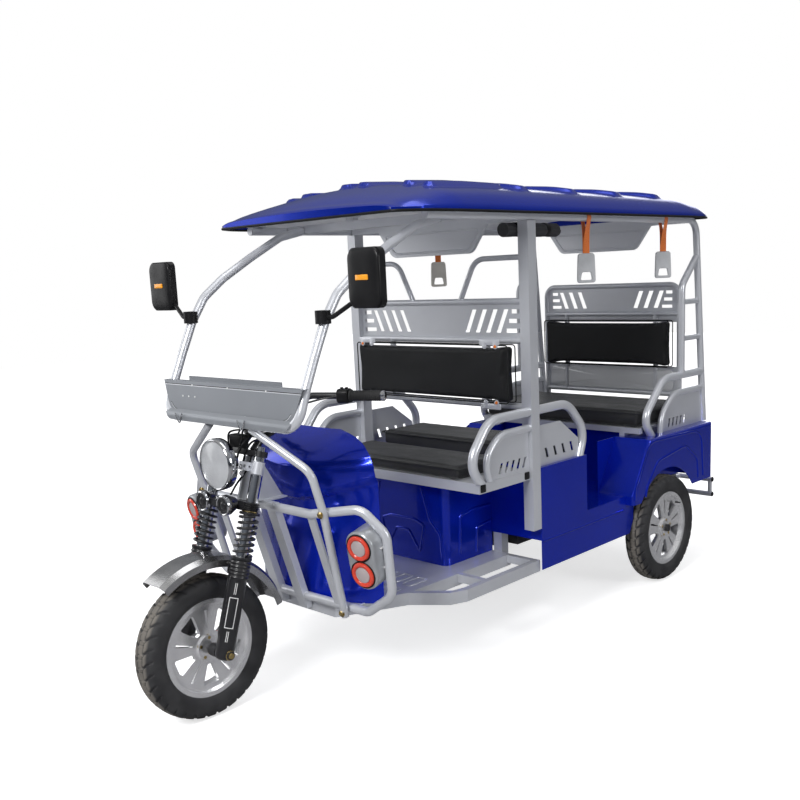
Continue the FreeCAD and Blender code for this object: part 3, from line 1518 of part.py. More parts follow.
def make_driver_back():
    inside = S.cab_half_width - S.pillar_width - S.seat_gap
    y = behind(S.pillar_back + S.pillar_depth / 2)
    radius = S.back_rail_radius
    rails = []
    for tag, height in (("top", S.back_top_height - radius), ("mid", S.back_plate_height - radius),
                        ("low", S.back_bottom_height)):
        rails.append(rod(f"driver_back_{tag}_rail", (-inside, y, height), (inside, y, height), radius))
    low = S.back_plate_height - radius
    high = S.back_top_height - radius
    outline = [(-inside, low), (inside, low), (inside, high), (-inside, high)]
    field = slot_field(inside, low + radius, high - radius, DRIVER_BACK_SLOTS, 0.12)
    rails.append(plate("driver_back_slotted", "XZ_Plane", outline, y - S.back_plate_thickness / 2,
                       S.back_plate_thickness, holes=field))
    for side, sign in SIDES:
        points = mirrored([
            vector(inside, y, (RAIL_HEIGHT - S.grab_hoop_drop)), vector(S.grab_hoop_offset, y, (RAIL_HEIGHT - S.grab_hoop_drop)),
            vector(S.grab_hoop_foot_offset, y, S.back_top_height - radius),
        ], sign)
        rails.append(solid(f"driver_back_hoop_{side}", tube_shape(points, S.grab_hoop_radius, S.rear_bend)))
    for side, sign in SIDES:
        x = S.back_upright_offset * sign
        rails.append(rod(f"driver_back_upright_{side}", (x, y, S.back_bottom_height),
                         (x, y, S.back_plate_height - radius), radius))
    keep("driver_back_frame", fuse("driver_back_frame", rails))
    front = y - radius - S.seat_gap - S.back_pad_thickness
    pad = plate("driver_back_pad", "XZ_Plane", [
        (-S.back_pad_half, S.back_pad_bottom_height), (S.back_pad_half, S.back_pad_bottom_height),
        (S.back_pad_half, S.back_pad_top_height), (-S.back_pad_half, S.back_pad_top_height)],
        front, S.back_pad_thickness, S.back_pad_round)
    keep("driver_back_pad", pad)
    clips = []
    for side, sign in SIDES:
        for tag, base in (("top", S.back_pad_top_height - S.clip_tall * 0.4),
                          ("low", S.back_pad_bottom_height - S.clip_tall * 0.6)):
            x = S.clip_offset * sign
            clips.append(box(f"pad_clip_{side}_{tag}",
                             (x - S.clip_width / 2, front - S.seat_gap - S.clip_thickness, base),
                             (x + S.clip_width / 2, front - S.seat_gap, base + S.clip_tall)))
    keep("pad_clips", gather("pad_clips", clips))


# Driver's seat, rear-facing seat and the box under them
def make_seats():
    half = S.cab_half_width - S.pillar_width * 0.3
    front = behind(S.tray_front_back)
    rear = behind(S.pillar_back) - S.seat_gap
    low = S.tray_height - S.tray_depth
    rails = [
        box("tray_front", (-half, front, low), (half, front + S.tray_rail, S.tray_height)),
        box("tray_rear", (-half, rear - S.tray_rail, low), (half, rear, S.tray_height)),
        box("tray_left", (half - S.tray_rail, front, low), (half, rear, S.tray_height)),
        box("tray_right", (-half, front, low), (-half + S.tray_rail, rear, S.tray_height)),
        box("tray_sheet", (-half, front, S.tray_height - S.tray_sheet), (half, rear, S.tray_height)),
    ]
    keep("seat_tray", fuse("seat_tray", rails))
    cushion("driver_cushion", S.seat_half, front + S.seat_gap, behind(S.pillar_back - S.seat_back_gap),
            S.tray_height + S.seat_gap, S.tray_height + S.seat_thickness)
    cushion("rear_facing_cushion", S.rear_facing_half, behind(S.pillar_back + S.pillar_depth + S.seat_back_gap),
            behind(S.rear_facing_end_back), S.side_top_height + S.seat_gap, S.rear_facing_top_height)
    wall = S.seat_box_wall
    box_low = S.floor_height + S.seat_gap
    box_high = low - S.seat_gap
    outer_front = behind(S.seat_box_front_back)
    outer_rear = TUB_FRONT - S.seat_gap
    plan = [(-S.seat_box_half, outer_front), (S.seat_box_half, outer_front),
            (S.seat_box_half, outer_rear), (-S.seat_box_half, outer_rear)]
    shell = plate("seat_box_outer", "XY_Plane", plan, box_low, box_high - box_low, S.seat_box_round,
                  wanted=front_corner(outer_front))
    hollow = [(-S.seat_box_half + wall, outer_front + wall), (S.seat_box_half - wall, outer_front + wall),
              (S.seat_box_half - wall, outer_rear - wall), (-S.seat_box_half + wall, outer_rear - wall)]
    inside = plate("seat_box_inside", "XY_Plane", hollow, box_low - S.cut_overrun,
                   box_high - wall - box_low + S.cut_overrun, S.seat_box_round - wall,
                   wanted=front_corner(outer_front + wall))
    keep("seat_box", cut("seat_box", shell, inside))


def front_corner(front):
    """The upright edges at the front of a block."""
    def wanted(edge):
        return straight_along(Vector(0, 0, 1))(edge) and edge.BoundBox.YMax < float(front) + 1
    return wanted


def cushion(name, half, front, rear, low, high):
    """A plain closed cushion with rounded corners."""
    plan = [(-half, front), (half, front), (half, rear), (-half, rear)]
    keep(name, plate(name, "XY_Plane", plan, low, high - low, S.cushion_round))


# Armrests
def make_armrests():
    x = S.cab_half_width - S.arm_radius
    for name, maker in (("front_armrests", front_arm), ("middle_armrests", mid_arm), ("rear_armrests", rear_arm)):
        keep(name, gather(name, [maker(side, sign, x) for side, sign in SIDES]))


def arm_plate(name, outline, x, sign, holes):
    """The sheet inside an armrest's inner tube."""
    start = x * sign - S.arm_plate / 2
    return plate(name, "YZ_Plane", outline, start, S.arm_plate, holes=holes)


def arm_slots(first, pitch, count, low, lean):
    """A row of leaning slots in an armrest's sheet."""
    holes = []
    for index in range(count):
        foot = first + pitch * index
        holes.append([(foot, low), (foot + S.arm_slot_width, low),
                      (foot + S.arm_slot_width + lean, low + S.arm_slot_length),
                      (foot + lean, low + S.arm_slot_length)])
    return holes


def seated_arm(name, parts, x, sign, foot, span):
    """An armrest of its parts, trimmed level where it stands."""
    reach = S.arm_radius * 2
    below = box(name + "_below", (x * sign - reach, span[0] - reach, foot - reach * 2),
                (x * sign + reach, span[1] + reach, foot))
    return cut(name, fuse(name + "_joined", parts), below)


def front_arm(side, sign, x):
    rear = behind(S.pillar_back) - S.seat_gap
    foot = S.tray_height + S.seat_gap
    buried = foot - S.arm_radius
    inset = S.arm_inset
    outer = [vector(x, rear, S.arm_height), vector(x, behind(S.front_arm_top_back), S.arm_height),
             vector(x, behind(S.front_arm_nose_back), S.front_arm_nose_height),
             vector(x, behind(S.tray_front_back + S.arm_radius * 1.3), buried)]
    inner = [vector(x, rear, ARM_INNER_HEIGHT),
             vector(x, behind(S.front_arm_top_back + inset * 0.9), ARM_INNER_HEIGHT),
             vector(x, behind(S.front_arm_nose_back + inset * 1.4), S.front_arm_nose_height),
             vector(x, behind(S.tray_front_back + inset * 1.1), buried)]
    outline = [(rear, ARM_INNER_HEIGHT), (behind(S.front_arm_top_back + inset), ARM_INNER_HEIGHT),
               (behind(S.front_arm_nose_back + inset * 1.6), S.front_arm_nose_height),
               (behind(S.tray_front_back + inset * 1.1), foot), (rear, foot)]
    slots = arm_slots(behind(S.tray_front_back + inset * 1.8), S.arm_slot_width * 2.3, FRONT_ARM_SLOTS,
                      foot + S.arm_slot_width, S.arm_slot_width)
    parts = [
        solid(f"front_arm_{side}_outer", tube_shape(mirrored(outer, sign), S.arm_radius, S.arm_bend)),
        solid(f"front_arm_{side}_inner", tube_shape(mirrored(inner, sign), S.arm_radius * 0.8, S.arm_bend)),
        arm_plate(f"front_arm_{side}_sheet", outline, x, sign, slots),
    ]
    return seated_arm(f"front_arm_{side}", parts, x, sign, foot, (behind(S.front_arm_nose_back), rear))


def mid_arm(side, sign, x):
    front = behind(S.pillar_back + S.pillar_depth) + S.seat_gap
    foot = S.side_top_height + S.seat_gap
    outer = [vector(x, front, S.arm_height), vector(x, behind(S.mid_arm_top_back), S.arm_height),
             vector(x, behind(S.mid_arm_nose_back), S.mid_arm_nose_height),
             vector(x, behind(S.mid_arm_foot_back), foot - S.arm_radius)]
    outline = [(front, ARM_INNER_HEIGHT), (behind(S.mid_arm_top_back - S.arm_radius * 3), ARM_INNER_HEIGHT),
               (behind(S.mid_arm_foot_back), S.mid_arm_nose_height - S.mid_arm_drop),
               (behind(S.mid_arm_foot_back), foot), (front, foot)]
    slots = arm_slots(front + S.arm_slot_width * 4, S.arm_slot_width * 3.6, MIDDLE_ARM_SLOTS,
                      foot + S.arm_slot_width * 1.8, -S.arm_slot_width * 0.8)
    parts = [
        solid(f"mid_arm_{side}_outer", tube_shape(mirrored(outer, sign), S.arm_radius, S.arm_bend)),
        arm_plate(f"mid_arm_{side}_sheet", outline, x, sign, slots),
    ]
    return seated_arm(f"mid_arm_{side}", parts, x, sign, foot, (front, behind(S.mid_arm_nose_back)))


def rear_arm(side, sign, x):
    """The rear armrest, the hoop beside the backrest and its rungs."""
    foot = S.fender_top_height + S.seat_gap
    buried = foot - S.arm_radius
    rear = behind(S.rear_pillar_foot_back)
    lean = S.rear_pillar_foot_back - S.rear_pillar_top_back
    tall = float(RAIL_HEIGHT - S.rear_pillar_foot_height)

    def pillar_at(height):
        share = float(height - S.rear_pillar_foot_height) / tall
        return rear - lean * share - S.rail_radius * 0.5

    top = S.rear_arm_top_height
    outer = [vector(x, pillar_at(top), top), vector(x, behind(S.rear_arm_top_back), top),
             vector(x, behind(S.rear_arm_nose_back), S.rear_arm_nose_height),
             vector(x, behind(S.rear_arm_foot_back), buried)]
    low = top - S.rear_arm_inset
    inset = S.rear_arm_inset
    inner = [vector(x, pillar_at(low), low), vector(x, behind(S.rear_arm_top_back + inset * 1.2), low),
             vector(x, behind(S.rear_arm_nose_back + inset * 2.0), S.rear_arm_nose_height),
             vector(x, behind(S.rear_arm_foot_back + inset * 0.8), buried)]
    outline = [(pillar_at(low), low), (behind(S.rear_arm_top_back + inset * 1.2), low),
               (behind(S.rear_arm_nose_back + inset * 2.0), S.rear_arm_nose_height),
               (behind(S.rear_arm_foot_back + inset * 0.8), foot), (pillar_at(foot), foot)]
    slots = arm_slots(behind(S.rear_arm_foot_back + inset * 1.7), S.arm_slot_width * 2.3, REAR_ARM_SLOTS,
                      foot + S.arm_slot_width, S.arm_slot_width * 0.6)
    hoop_y = behind(S.side_hoop_back)
    knee = S.side_hoop_top_height + S.side_hoop_bend
    hoop = [vector(x, hoop_y, top), vector(x, hoop_y, S.side_hoop_top_height - S.side_hoop_bend),
            vector(x, pillar_at(knee), knee)]
    hoop_radius = S.arm_radius * 0.9
    parts = [
        solid(f"rear_arm_{side}_outer", tube_shape(mirrored(outer, sign), S.arm_radius, S.arm_bend)),
        solid(f"rear_arm_{side}_inner", tube_shape(mirrored(inner, sign), S.arm_radius * 0.8, S.arm_bend)),
        solid(f"rear_arm_{side}_hoop", tube_shape(mirrored(hoop, sign), hoop_radius, S.side_hoop_bend)),
        arm_plate(f"rear_arm_{side}_sheet", outline, x, sign, slots),
    ]
    for tag, height in (("low", S.rung_low_height), ("high", S.rung_high_height)):
        parts.append(rod(f"rear_arm_{side}_rung_{tag}", (x * sign, hoop_y, height),
                         (x * sign, pillar_at(height), height), S.arm_radius * 0.7))
    arm = seated_arm(f"rear_arm_{side}", parts, x, sign, foot, (behind(S.rear_arm_nose_back), rear))
    rail = solid(f"rail_clearance_{side}", tube_shape(rail_points(sign), S.rail_radius + S.seat_gap, S.rear_bend))
    return cut(f"rear_arm_{side}_seated", arm, rail)


# Floor and steps
def make_floor():
    front = behind(S.guard_bottom_back + S.post_depth)
    rear = TUB_FRONT - S.seat_gap
    flare = behind(S.floor_flare_back)
    half = S.floor_half
    plan = [(-S.floor_front_half, front), (S.floor_front_half, front), (half, flare), (half, rear),
            (-half, rear), (-half, flare)]
    sheet = plate("front_floor_sheet", "XY_Plane", plan, S.floor_height - S.floor_sheet, S.floor_sheet)
    low = S.floor_height - S.apron
    wall = S.apron_wall
    rails = [box("front_floor_front", (-S.floor_front_half, front, low), (S.floor_front_half, front + wall, S.floor_height))]
    for side, sign in SIDES:
        skew = [(S.floor_front_half * sign, front), (half * sign, flare), ((half - wall) * sign, flare),
                ((S.floor_front_half - wall) * sign, front)]
        rails.append(plate(f"front_floor_flare_{side}", "XY_Plane", skew, low, S.apron))
        inner = half - wall
        pair = (inner, half) if sign > 0 else (-half, -inner)
        rails.append(box(f"front_floor_side_{side}", (pair[0], flare, low), (pair[1], rear, S.floor_height)))
    keep("front_floor", fuse("front_floor", [sheet] + rails))


def make_steps():
    """A side step each side: an outer rail that curves in to the floor, and two cross bars."""
    low = S.floor_height - S.apron
    rear = TUB_FRONT - S.seat_gap
    flare = behind(S.floor_flare_back)
    start = S.floor_half + S.seat_gap
    rail = S.step_rail
    steps = []
    for side, sign in SIDES:
        outer = [
            (start * sign, flare), (S.step_front_half * sign, behind(S.step_front_back)),
            (S.step_half * sign, behind(S.step_corner_back)), (S.step_half * sign, rear),
            ((S.step_half - rail) * sign, rear), ((S.step_half - rail) * sign, behind(S.step_corner_back) + rail * 0.3),
            ((S.step_front_half - rail * 0.4) * sign, behind(S.step_front_back) + rail),
            (start * sign, flare + rail * 1.1),
        ]
        curved = plate(f"step_{side}_rail", "XY_Plane", outer, low, S.apron)
        bars = [curved]
        for tag, y in (("front", behind(S.step_cross_back)), ("rear", rear - S.step_bar)):
            pair = (start, S.step_half - rail / 2) if sign > 0 else (-S.step_half + rail / 2, -start)
            bars.append(box(f"step_{side}_{tag}", (pair[0], y, low + S.apron * 0.3),
                            (pair[1], y + S.step_bar, S.floor_height)))
        steps.append(fuse(f"step_{side}", bars))
    keep("side_steps", gather("side_steps", steps))


# Passenger tub
def make_tub():
    """Sheet walls: the rear-facing seat's box, the floor, the sills' skirts and the rear bench's face."""
    wall = S.tub_wall
    front = TUB_FRONT
    half = S.cab_half_width
    top = S.side_top_height
    seat_end = behind(S.side_end_back)
    door_end = behind(S.door_end_back)
    bench = behind(S.bench_front_back)
    rear = behind(S.tub_rear_back)
    floor = S.sill_top
    inner = S.fender_inner
    parts = [
        box("tub_front", (-half, front, S.tub_front_bottom), (half, front + wall, top)),
        box("tub_seat_top", (-half, front, top - wall), (half, seat_end, top)),
        box("tub_seat_back", (-half, seat_end - wall, floor - wall), (half, seat_end, top)),
        box("tub_floor", (-half, front, floor - wall), (half, door_end, floor)),
        box("tub_floor_rear", (-inner, door_end - wall, floor - wall), (inner, bench, floor)),
        box("tub_bench_face", (-inner, bench - wall, floor - wall),
            (inner, bench, S.bench_rail_height - S.bench_rail - S.seat_gap)),
        box("tub_rear_face", (-inner, rear - wall, S.tub_rear_bottom), (inner, rear, S.fender_top_height)),
    ]
    for side, sign in SIDES:
        face = (half - wall) if sign > 0 else -half
        skirt_end = behind(S.skirt_end_back)
        outline = [(front, S.sill_bottom), (skirt_end - S.skirt_rise / 2, S.sill_bottom),
                   (skirt_end, S.sill_bottom + S.skirt_rise), (skirt_end, S.tub_rear_bottom - S.seat_gap),
                   (door_end, S.tub_rear_bottom - S.seat_gap), (door_end, floor), (seat_end, floor),
                   (seat_end, top), (front, top)]
        parts.append(plate(f"tub_side_{side}", "YZ_Plane", outline, face, wall))
        pair = (inner - wall, inner) if sign > 0 else (-inner, -inner + wall)
        parts.append(box(f"tub_inner_{side}", (pair[0], door_end - wall, floor - wall),
                         (pair[1], rear, S.fender_top_height)))
    keep("passenger_tub", fuse("passenger_tub", parts))


def fender_outline(inset):
    """The side view of a wheel box, with its slanted front."""
    nose = behind(S.fender_nose_back)
    foot = behind(S.door_end_back) + S.seat_gap
    rear = behind(S.tub_rear_back)
    return [(foot + inset, S.sill_top), (nose + inset, S.fender_top_height - inset),
            (rear - inset, S.fender_top_height - inset), (rear - inset, S.tub_rear_bottom - inset * 8),
            (foot + inset, S.tub_rear_bottom - inset * 8)]


def outer_rim(depth, sign):
    """The edges round a wheel box's outer face, but for the bottom one."""
    on_face = edges_at("X", depth if sign > 0 else ZERO)

    def wanted(edge):
        return on_face(edge) and edge.BoundBox.ZMax > float(S.tub_rear_bottom) + 1
    return wanted


def make_fenders():
    """A hollow box over each rear wheel, its outer side cut away round the tyre."""
    wall = S.tub_wall
    fenders = []
    for side, sign in SIDES:
        inner = S.fender_inner + S.seat_gap
        outer = S.fender_half
        start = inner if sign > 0 else -outer
        shell = plate(f"fender_{side}_block", "YZ_Plane", fender_outline(ZERO), start, outer - inner,
                      S.fender_round, wanted=outer_rim(outer - inner, sign))
        hollow_start = inner + wall if sign > 0 else -outer + wall
        hollow = plate(f"fender_{side}_hollow", "YZ_Plane", fender_outline(wall), hollow_start,
                       outer - inner - wall * 2, S.fender_round - wall,
                       wanted=outer_rim(outer - inner - wall * 2, sign))
        arch_in = (S.rear_wheel_offset - S.tyre_width / 2 - S.cut_overrun) * sign
        arch = rod(f"fender_{side}_arch", (arch_in, REAR_AXLE, S.tyre_radius),
                   ((outer + S.cut_overrun) * sign, REAR_AXLE, S.tyre_radius), S.arch_radius)
        trimmed = cut(f"fender_{side}_open", shell, hollow)
        fenders.append(cut(f"fender_{side}", trimmed, arch))
    keep("fenders", gather("fenders", fenders))


# Rear bench and backrest
def make_bench():
    rail = S.bench_rail
    front = behind(S.bench_rail_back)
    half = BENCH_HALF
    low = S.bench_rail_height - rail
    rear = behind(S.bench_end_back)
    deck = behind(S.tub_rear_back)
    sheet_half = S.fender_inner + S.bench_rail
    foot = S.fender_top_height + S.seat_gap
    bars = [
        box("bench_front_rail", (-half, front, low), (half, front + rail, S.bench_rail_height)),
        box("bench_sheet", (-half, front, S.bench_rail_height - S.tray_sheet), (half, deck, S.bench_rail_height)),
        box("bench_rear_rail", (-sheet_half, deck - rail, foot), (sheet_half, deck, S.bench_rail_height)),
    ]
    for side, sign in SIDES:
        pair = (sheet_half - rail, sheet_half) if sign > 0 else (-sheet_half, -sheet_half + rail)
        bars.append(box(f"bench_side_{side}", (pair[0], front, foot), (pair[1], deck, S.bench_rail_height)))
    keep("bench_frame", fuse("bench_frame", bars))
    cushion("rear_cushion", BENCH_HALF - S.seat_gap, front + S.seat_gap, rear - S.seat_back_gap * 0.2,
            S.bench_rail_height + S.seat_gap, S.bench_top_height)


def make_rear_back():
    y = behind(S.rest_back)
    radius = S.rest_rail_radius
    half = S.rest_half
    foot = S.bench_rail_height + S.seat_gap
    top = S.rest_top_height - radius
    points = [vector(-half, y, foot), vector(-half, y, top), vector(half, y, top), vector(half, y, foot)]
    frame = [solid("rear_back_hoop", tube_shape(points, radius, S.rest_bend))]
    for tag, height in (("mid", S.rest_plate_height - radius), ("low", S.rest_bottom_height)):
        frame.append(rod(f"rear_back_{tag}_rail", (-half, y, height), (half, y, height), radius))
    low = S.rest_plate_height - radius
    thickness = S.rest_thickness
    bend = S.rest_bend
    hidden = S.rest_pad_top_height - radius
    slotted = [(-half, hidden), (half, hidden), (half, top - bend), (half - bend * 0.3, top - bend * 0.3), (half - bend, top),
               (-half + bend, top), (-half + bend * 0.3, top - bend * 0.3), (-half, top - bend)]
    frame.append(plate("rear_back_slotted", "XZ_Plane", slotted, y - thickness / 2, thickness,
                       holes=slot_field(half - radius * 2, low + radius, top - radius, REAR_BACK_SLOTS, 0.155)))
    lower = [(-half, S.rest_bottom_height), (half, S.rest_bottom_height),
             (half, S.rest_pad_bottom_height), (-half, S.rest_pad_bottom_height)]
    frame.append(plate("rear_back_lower", "XZ_Plane", lower, y - thickness / 2, thickness))
    for side, sign in SIDES:
        x = S.back_upright_offset * sign
        frame.append(rod(f"rear_back_upright_{side}", (x, y, S.rest_bottom_height),
                         (x, y, S.rest_plate_height - radius), radius))
    keep("rear_back_frame", fuse("rear_back_frame", frame))
    front = y - radius - S.seat_gap - S.rest_pad_thickness
    keep("rear_back_pad", plate("rear_back_pad", "XZ_Plane", [
        (-S.rest_pad_half, S.rest_pad_bottom_height), (S.rest_pad_half, S.rest_pad_bottom_height),
        (S.rest_pad_half, S.rest_pad_top_height), (-S.rest_pad_half, S.rest_pad_top_height)],
        front, S.rest_pad_thickness, S.back_pad_round))


# Chassis, axle, springs and bumper
def make_chassis():
    """Box rails under the driver's floor, stepping up to a second pair under the passengers' floor."""
    rail = S.rail_box
    low = RAIL_TOP - rail
    high = REAR_RAIL_TOP - rail
    start = behind(S.guard_bottom_back + S.post_depth) + S.apron_wall + S.seat_gap
    middle = TUB_FRONT + S.tub_wall + S.seat_gap
    rear = behind(S.tub_rear_back) - S.tub_wall - S.seat_gap
    wide = S.rear_rail_offset + rail / 2
    narrow = S.front_rail_offset + rail / 2
    bars = [
        box("cross_front", (-S.floor_front_half + rail, start, low), (S.floor_front_half - rail, start + rail, RAIL_TOP)),
        box("cross_floor", (-narrow, behind(S.front_cross_back), low),
            (narrow, behind(S.front_cross_back) + rail, RAIL_TOP)),
        box("cross_middle", (-wide, middle, high), (wide, middle + rail, REAR_RAIL_TOP)),
        box("cross_axle", (-wide, behind(S.rear_cross_back), high), (wide, behind(S.rear_cross_back) + rail, REAR_RAIL_TOP)),
        box("cross_tail", (-wide, rear - rail, high), (wide, rear, REAR_RAIL_TOP)),
        box("keel", (-rail / 2, start, low), (rail / 2, behind(S.front_cross_back) + rail, RAIL_TOP)),
    ]
    for side, sign in SIDES:
        inner = S.front_rail_offset - rail / 2
        pair = (inner, inner + rail) if sign > 0 else (-inner - rail, -inner)
        bars.append(box(f"front_rail_{side}", (pair[0], behind(S.front_cross_back), low), (pair[1], middle + rail, RAIL_TOP)))
        bars.append(box(f"riser_{side}", (pair[0], middle, low), (pair[1], middle + rail, REAR_RAIL_TOP)))
        inner = S.rear_rail_offset - rail / 2
        pair = (inner, inner + rail) if sign > 0 else (-inner - rail, -inner)
        bars.append(box(f"rear_rail_{side}", (pair[0], middle, high), (pair[1], rear, REAR_RAIL_TOP)))
    keep("chassis_rails", fuse("chassis_rails", bars))
    half = S.rear_rail_offset - rail / 2 - S.seat_gap
    keep("battery_pack", box("battery_pack", (-half, behind(S.battery_front_back), REAR_RAIL_TOP - S.battery_height),
                             (half, behind(S.battery_rear_back), REAR_RAIL_TOP)))


def make_rear_axle():
    y = REAR_AXLE
    z = S.tyre_radius
    stub_end = S.rear_wheel_offset + S.hub_outset + S.axle_nut_length
    tube_end = S.rear_wheel_offset - S.hub_half_length - S.running_gap * 2
    parts = [
        rod("axle_tube", (-tube_end, y, z), (tube_end, y, z), S.axle_tube_radius),
        rod("axle_shaft", (-stub_end, y, z), (stub_end, y, z), S.axle_radius * 1.5),
        rod("axle_drive", (S.drive_offset - S.drive_half, y, z), (S.drive_offset + S.drive_half, y, z), S.drive_radius),
    ]
    for side, sign in SIDES:
        nut = (S.rear_wheel_offset + S.hub_outset + S.running_gap) * sign
        parts.append(rod(f"axle_nut_{side}", (nut, y, z), (stub_end * sign, y, z), S.axle_nut_radius * 1.2))
    keep("rear_axle", fuse("rear_axle", parts))
    motor_start = S.drive_offset + S.drive_half
    keep("drive_motor", motor_body(motor_start))


def motor_body(start):
    """The motor lies ahead of the axle, along the vehicle."""
    front = REAR_AXLE - S.drive_radius - S.seat_gap - S.motor_length
    rear = REAR_AXLE - S.drive_radius - S.seat_gap
    return rod("drive_motor", (S.drive_offset, front, S.tyre_radius), (S.drive_offset, rear, S.tyre_radius),
               S.motor_radius)


def leaf_shape(half_length, rise, x):
    """One curved leaf: an arc in side view, lowest over the axle."""
    camber = float(S.leaf_camber) * (half_length / float(S.leaf_half_length)) ** 2
    base = float(S.tyre_radius + S.axle_tube_radius + S.leaf_pad_thickness) + float(rise)
    thickness = float(S.leaf_thickness)

    def arc(lift):
        return Part.Arc(Vector(0, -half_length, base + camber + lift), Vector(0, 0, base + lift),
                        Vector(0, half_length, base + camber + lift)).toShape()

    ends = [Part.LineSegment(Vector(0, sign * half_length, base + camber),
                             Vector(0, sign * half_length, base + camber + thickness)).toShape() for sign in (-1, 1)]
    face = Part.Face(Part.Wire(Part.__sortEdges__([arc(0.0), arc(thickness)] + ends)))
    leaf = face.extrude(Vector(float(S.leaf_width), 0, 0))
    leaf.translate(Vector(float(x) - float(S.leaf_width) / 2, float(REAR_AXLE), 0))
    return leaf


def make_leaf_springs():
    springs = []
    for side, sign in SIDES:
        x = S.rear_rail_offset * sign
        leaves = []
        for index in range(LEAVES):
            half = float(S.leaf_half_length) - float(S.leaf_step) * (LEAVES - 1 - index)
            leaves.append(leaf_shape(half, float(S.leaf_thickness) * index, x))
        top_leaf_height = float(S.tyre_radius + S.axle_tube_radius + S.leaf_pad_thickness
                                + S.leaf_thickness * (LEAVES - 0.5) + S.leaf_camber)
        for end in (-1, 1):
            centre = Vector(float(x) - float(S.leaf_width) / 2, float(REAR_AXLE) + end * float(S.leaf_half_length),
                            top_leaf_height)
            leaves.append(Part.makeCylinder(float(S.leaf_eye_radius), float(S.leaf_width), centre, Vector(1, 0, 0)))
            hanger_top = float(REAR_RAIL_TOP - S.rail_box - S.seat_gap)
            leaves.append(Part.makeBox(float(S.leaf_width), 2 * float(S.leaf_eye_radius), hanger_top - top_leaf_height,
                                       centre - Vector(0, float(S.leaf_eye_radius), 0)))
        pad_low = float(S.tyre_radius + S.axle_tube_radius * 0.8)
        pad_high = float(S.tyre_radius + S.axle_tube_radius + S.leaf_pad_thickness)
        pad = Part.makeBox(float(S.leaf_width), float(S.leaf_width) * 1.4, pad_high - pad_low,
                           Vector(float(x) - float(S.leaf_width) / 2, float(REAR_AXLE) - float(S.leaf_width) * 0.7, pad_low))
        axle = Part.makeCylinder(float(S.axle_tube_radius + S.seat_gap), float(S.leaf_width) * 2,
                                 Vector(float(x) - float(S.leaf_width), float(REAR_AXLE), float(S.tyre_radius)),
                                 Vector(1, 0, 0))
        springs.append(solid(f"leaf_spring_{side}", fused_shape(leaves + [pad]).cut(axle)))
    keep("leaf_springs", gather("leaf_springs", springs))


def make_bumper():
    rear = S.overall_length / 2 - S.bumper_radius
    parts = []
    for tag, height in (("top", S.bumper_top_height), ("low", S.bumper_low_height)):
        parts.append(rod(f"bumper_{tag}", (-S.bumper_half, rear, height), (S.bumper_half, rear, height), S.bumper_radius))
    for side, sign in SIDES:
        x = (S.bumper_half - S.bumper_radius) * sign
        parts.append(rod(f"bumper_link_{side}", (x, rear, S.bumper_low_height), (x, rear, S.bumper_top_height),
                         S.bumper_radius * 0.8))
        rail_x = S.rear_rail_offset * sign
        parts.append(rod(f"bumper_arm_{side}", (rail_x, behind(S.tub_rear_back) + S.seat_gap, S.bumper_top_height),
                         (rail_x, rear, S.bumper_top_height), S.bumper_radius * 0.85))
        tail = behind(S.tub_rear_back) + S.seat_gap
        parts.append(box(f"bumper_plate_{side}", (rail_x - S.rail_box / 2, tail, S.bumper_top_height - S.bumper_radius * 1.5),
                         (rail_x + S.rail_box / 2, tail + S.tub_wall, S.sill_top)))
    keep("rear_bumper", fuse("rear_bumper", parts))


# Grab handles and curtain
def make_handles():
    """Straps with grip plates under the roof rails: two on the left and one on the right."""
    top = RAIL_HEIGHT - S.rail_radius - S.seat_gap
    low = top - S.strap_drop
    bottom = low - S.handle_tall
    half = S.handle_width / 2
    hole_low = bottom + S.handle_hole_tall * 0.35
    hole_half = S.handle_hole_width / 2
    outline = [(-half, bottom), (half, bottom), (half, low), (-half, low)]
    hole = [(-hole_half, hole_low), (hole_half, hole_low),
            (hole_half * 0.75, hole_low + S.handle_hole_tall), (-hole_half * 0.75, hole_low + S.handle_hole_tall)]
    handles = []
    for tag, sign, back in (("left_front", 1, S.handle_front_back), ("left_rear", 1, S.handle_rear_back),
                            ("right", -1, S.handle_right_back)):
        strap = box(f"strap_{tag}", (-S.strap_thickness / 2, -S.strap_width / 2, low),
                    (S.strap_thickness / 2, S.strap_width / 2, top))
        grip = plate(f"grip_plate_{tag}", "YZ_Plane", outline, -S.handle_thickness / 2, S.handle_thickness,
                     S.handle_thickness, holes=[hole])
        handle = fuse(f"grab_handle_{tag}", [strap, grip])
        x = (S.cab_half_width - S.rail_radius) * sign
        handle.Placement = Placement(vector(x, behind(back), ZERO), Rotation(Vector(0, 0, 1), HANDLE_TURN))
        handles.append(handle)
    keep("grab_handles", gather("grab_handles", handles))


def make_curtain():
    """A rolled side curtain tied up inside the left pillar, under the beam."""
    x = S.cab_half_width - S.pillar_width - S.curtain_radius - S.seat_gap
    height = RAIL_HEIGHT - S.beam_height / 2 - S.curtain_radius - S.seat_gap
    start = (x, behind(S.curtain_back), height)
    end = (x, behind(S.curtain_back + S.curtain_length), height)
    keep("curtain_roll", rod("curtain_roll", start, end, S.curtain_radius))


def build_all():
    make_wheels()
    make_fork()
    make_yokes()
    make_mudguard()
    make_headlamp()
    make_lamp_bracket()
    make_spot_lamps()
    make_handlebar()
    make_guard()
    make_neck()
    make_stays()
    make_pods()
    make_leg_shield()
    make_hoop()
    make_dash()
    make_mirrors()
    make_roof()
    make_cab_frame()
    make_driver_back()
    make_seats()
    make_armrests()
    make_floor()
    make_steps()
    make_tub()
    make_fenders()
    make_bench()
    make_rear_back()
    make_chassis()
    make_rear_axle()
    make_leaf_springs()
    make_bumper()
    make_handles()
    make_curtain()


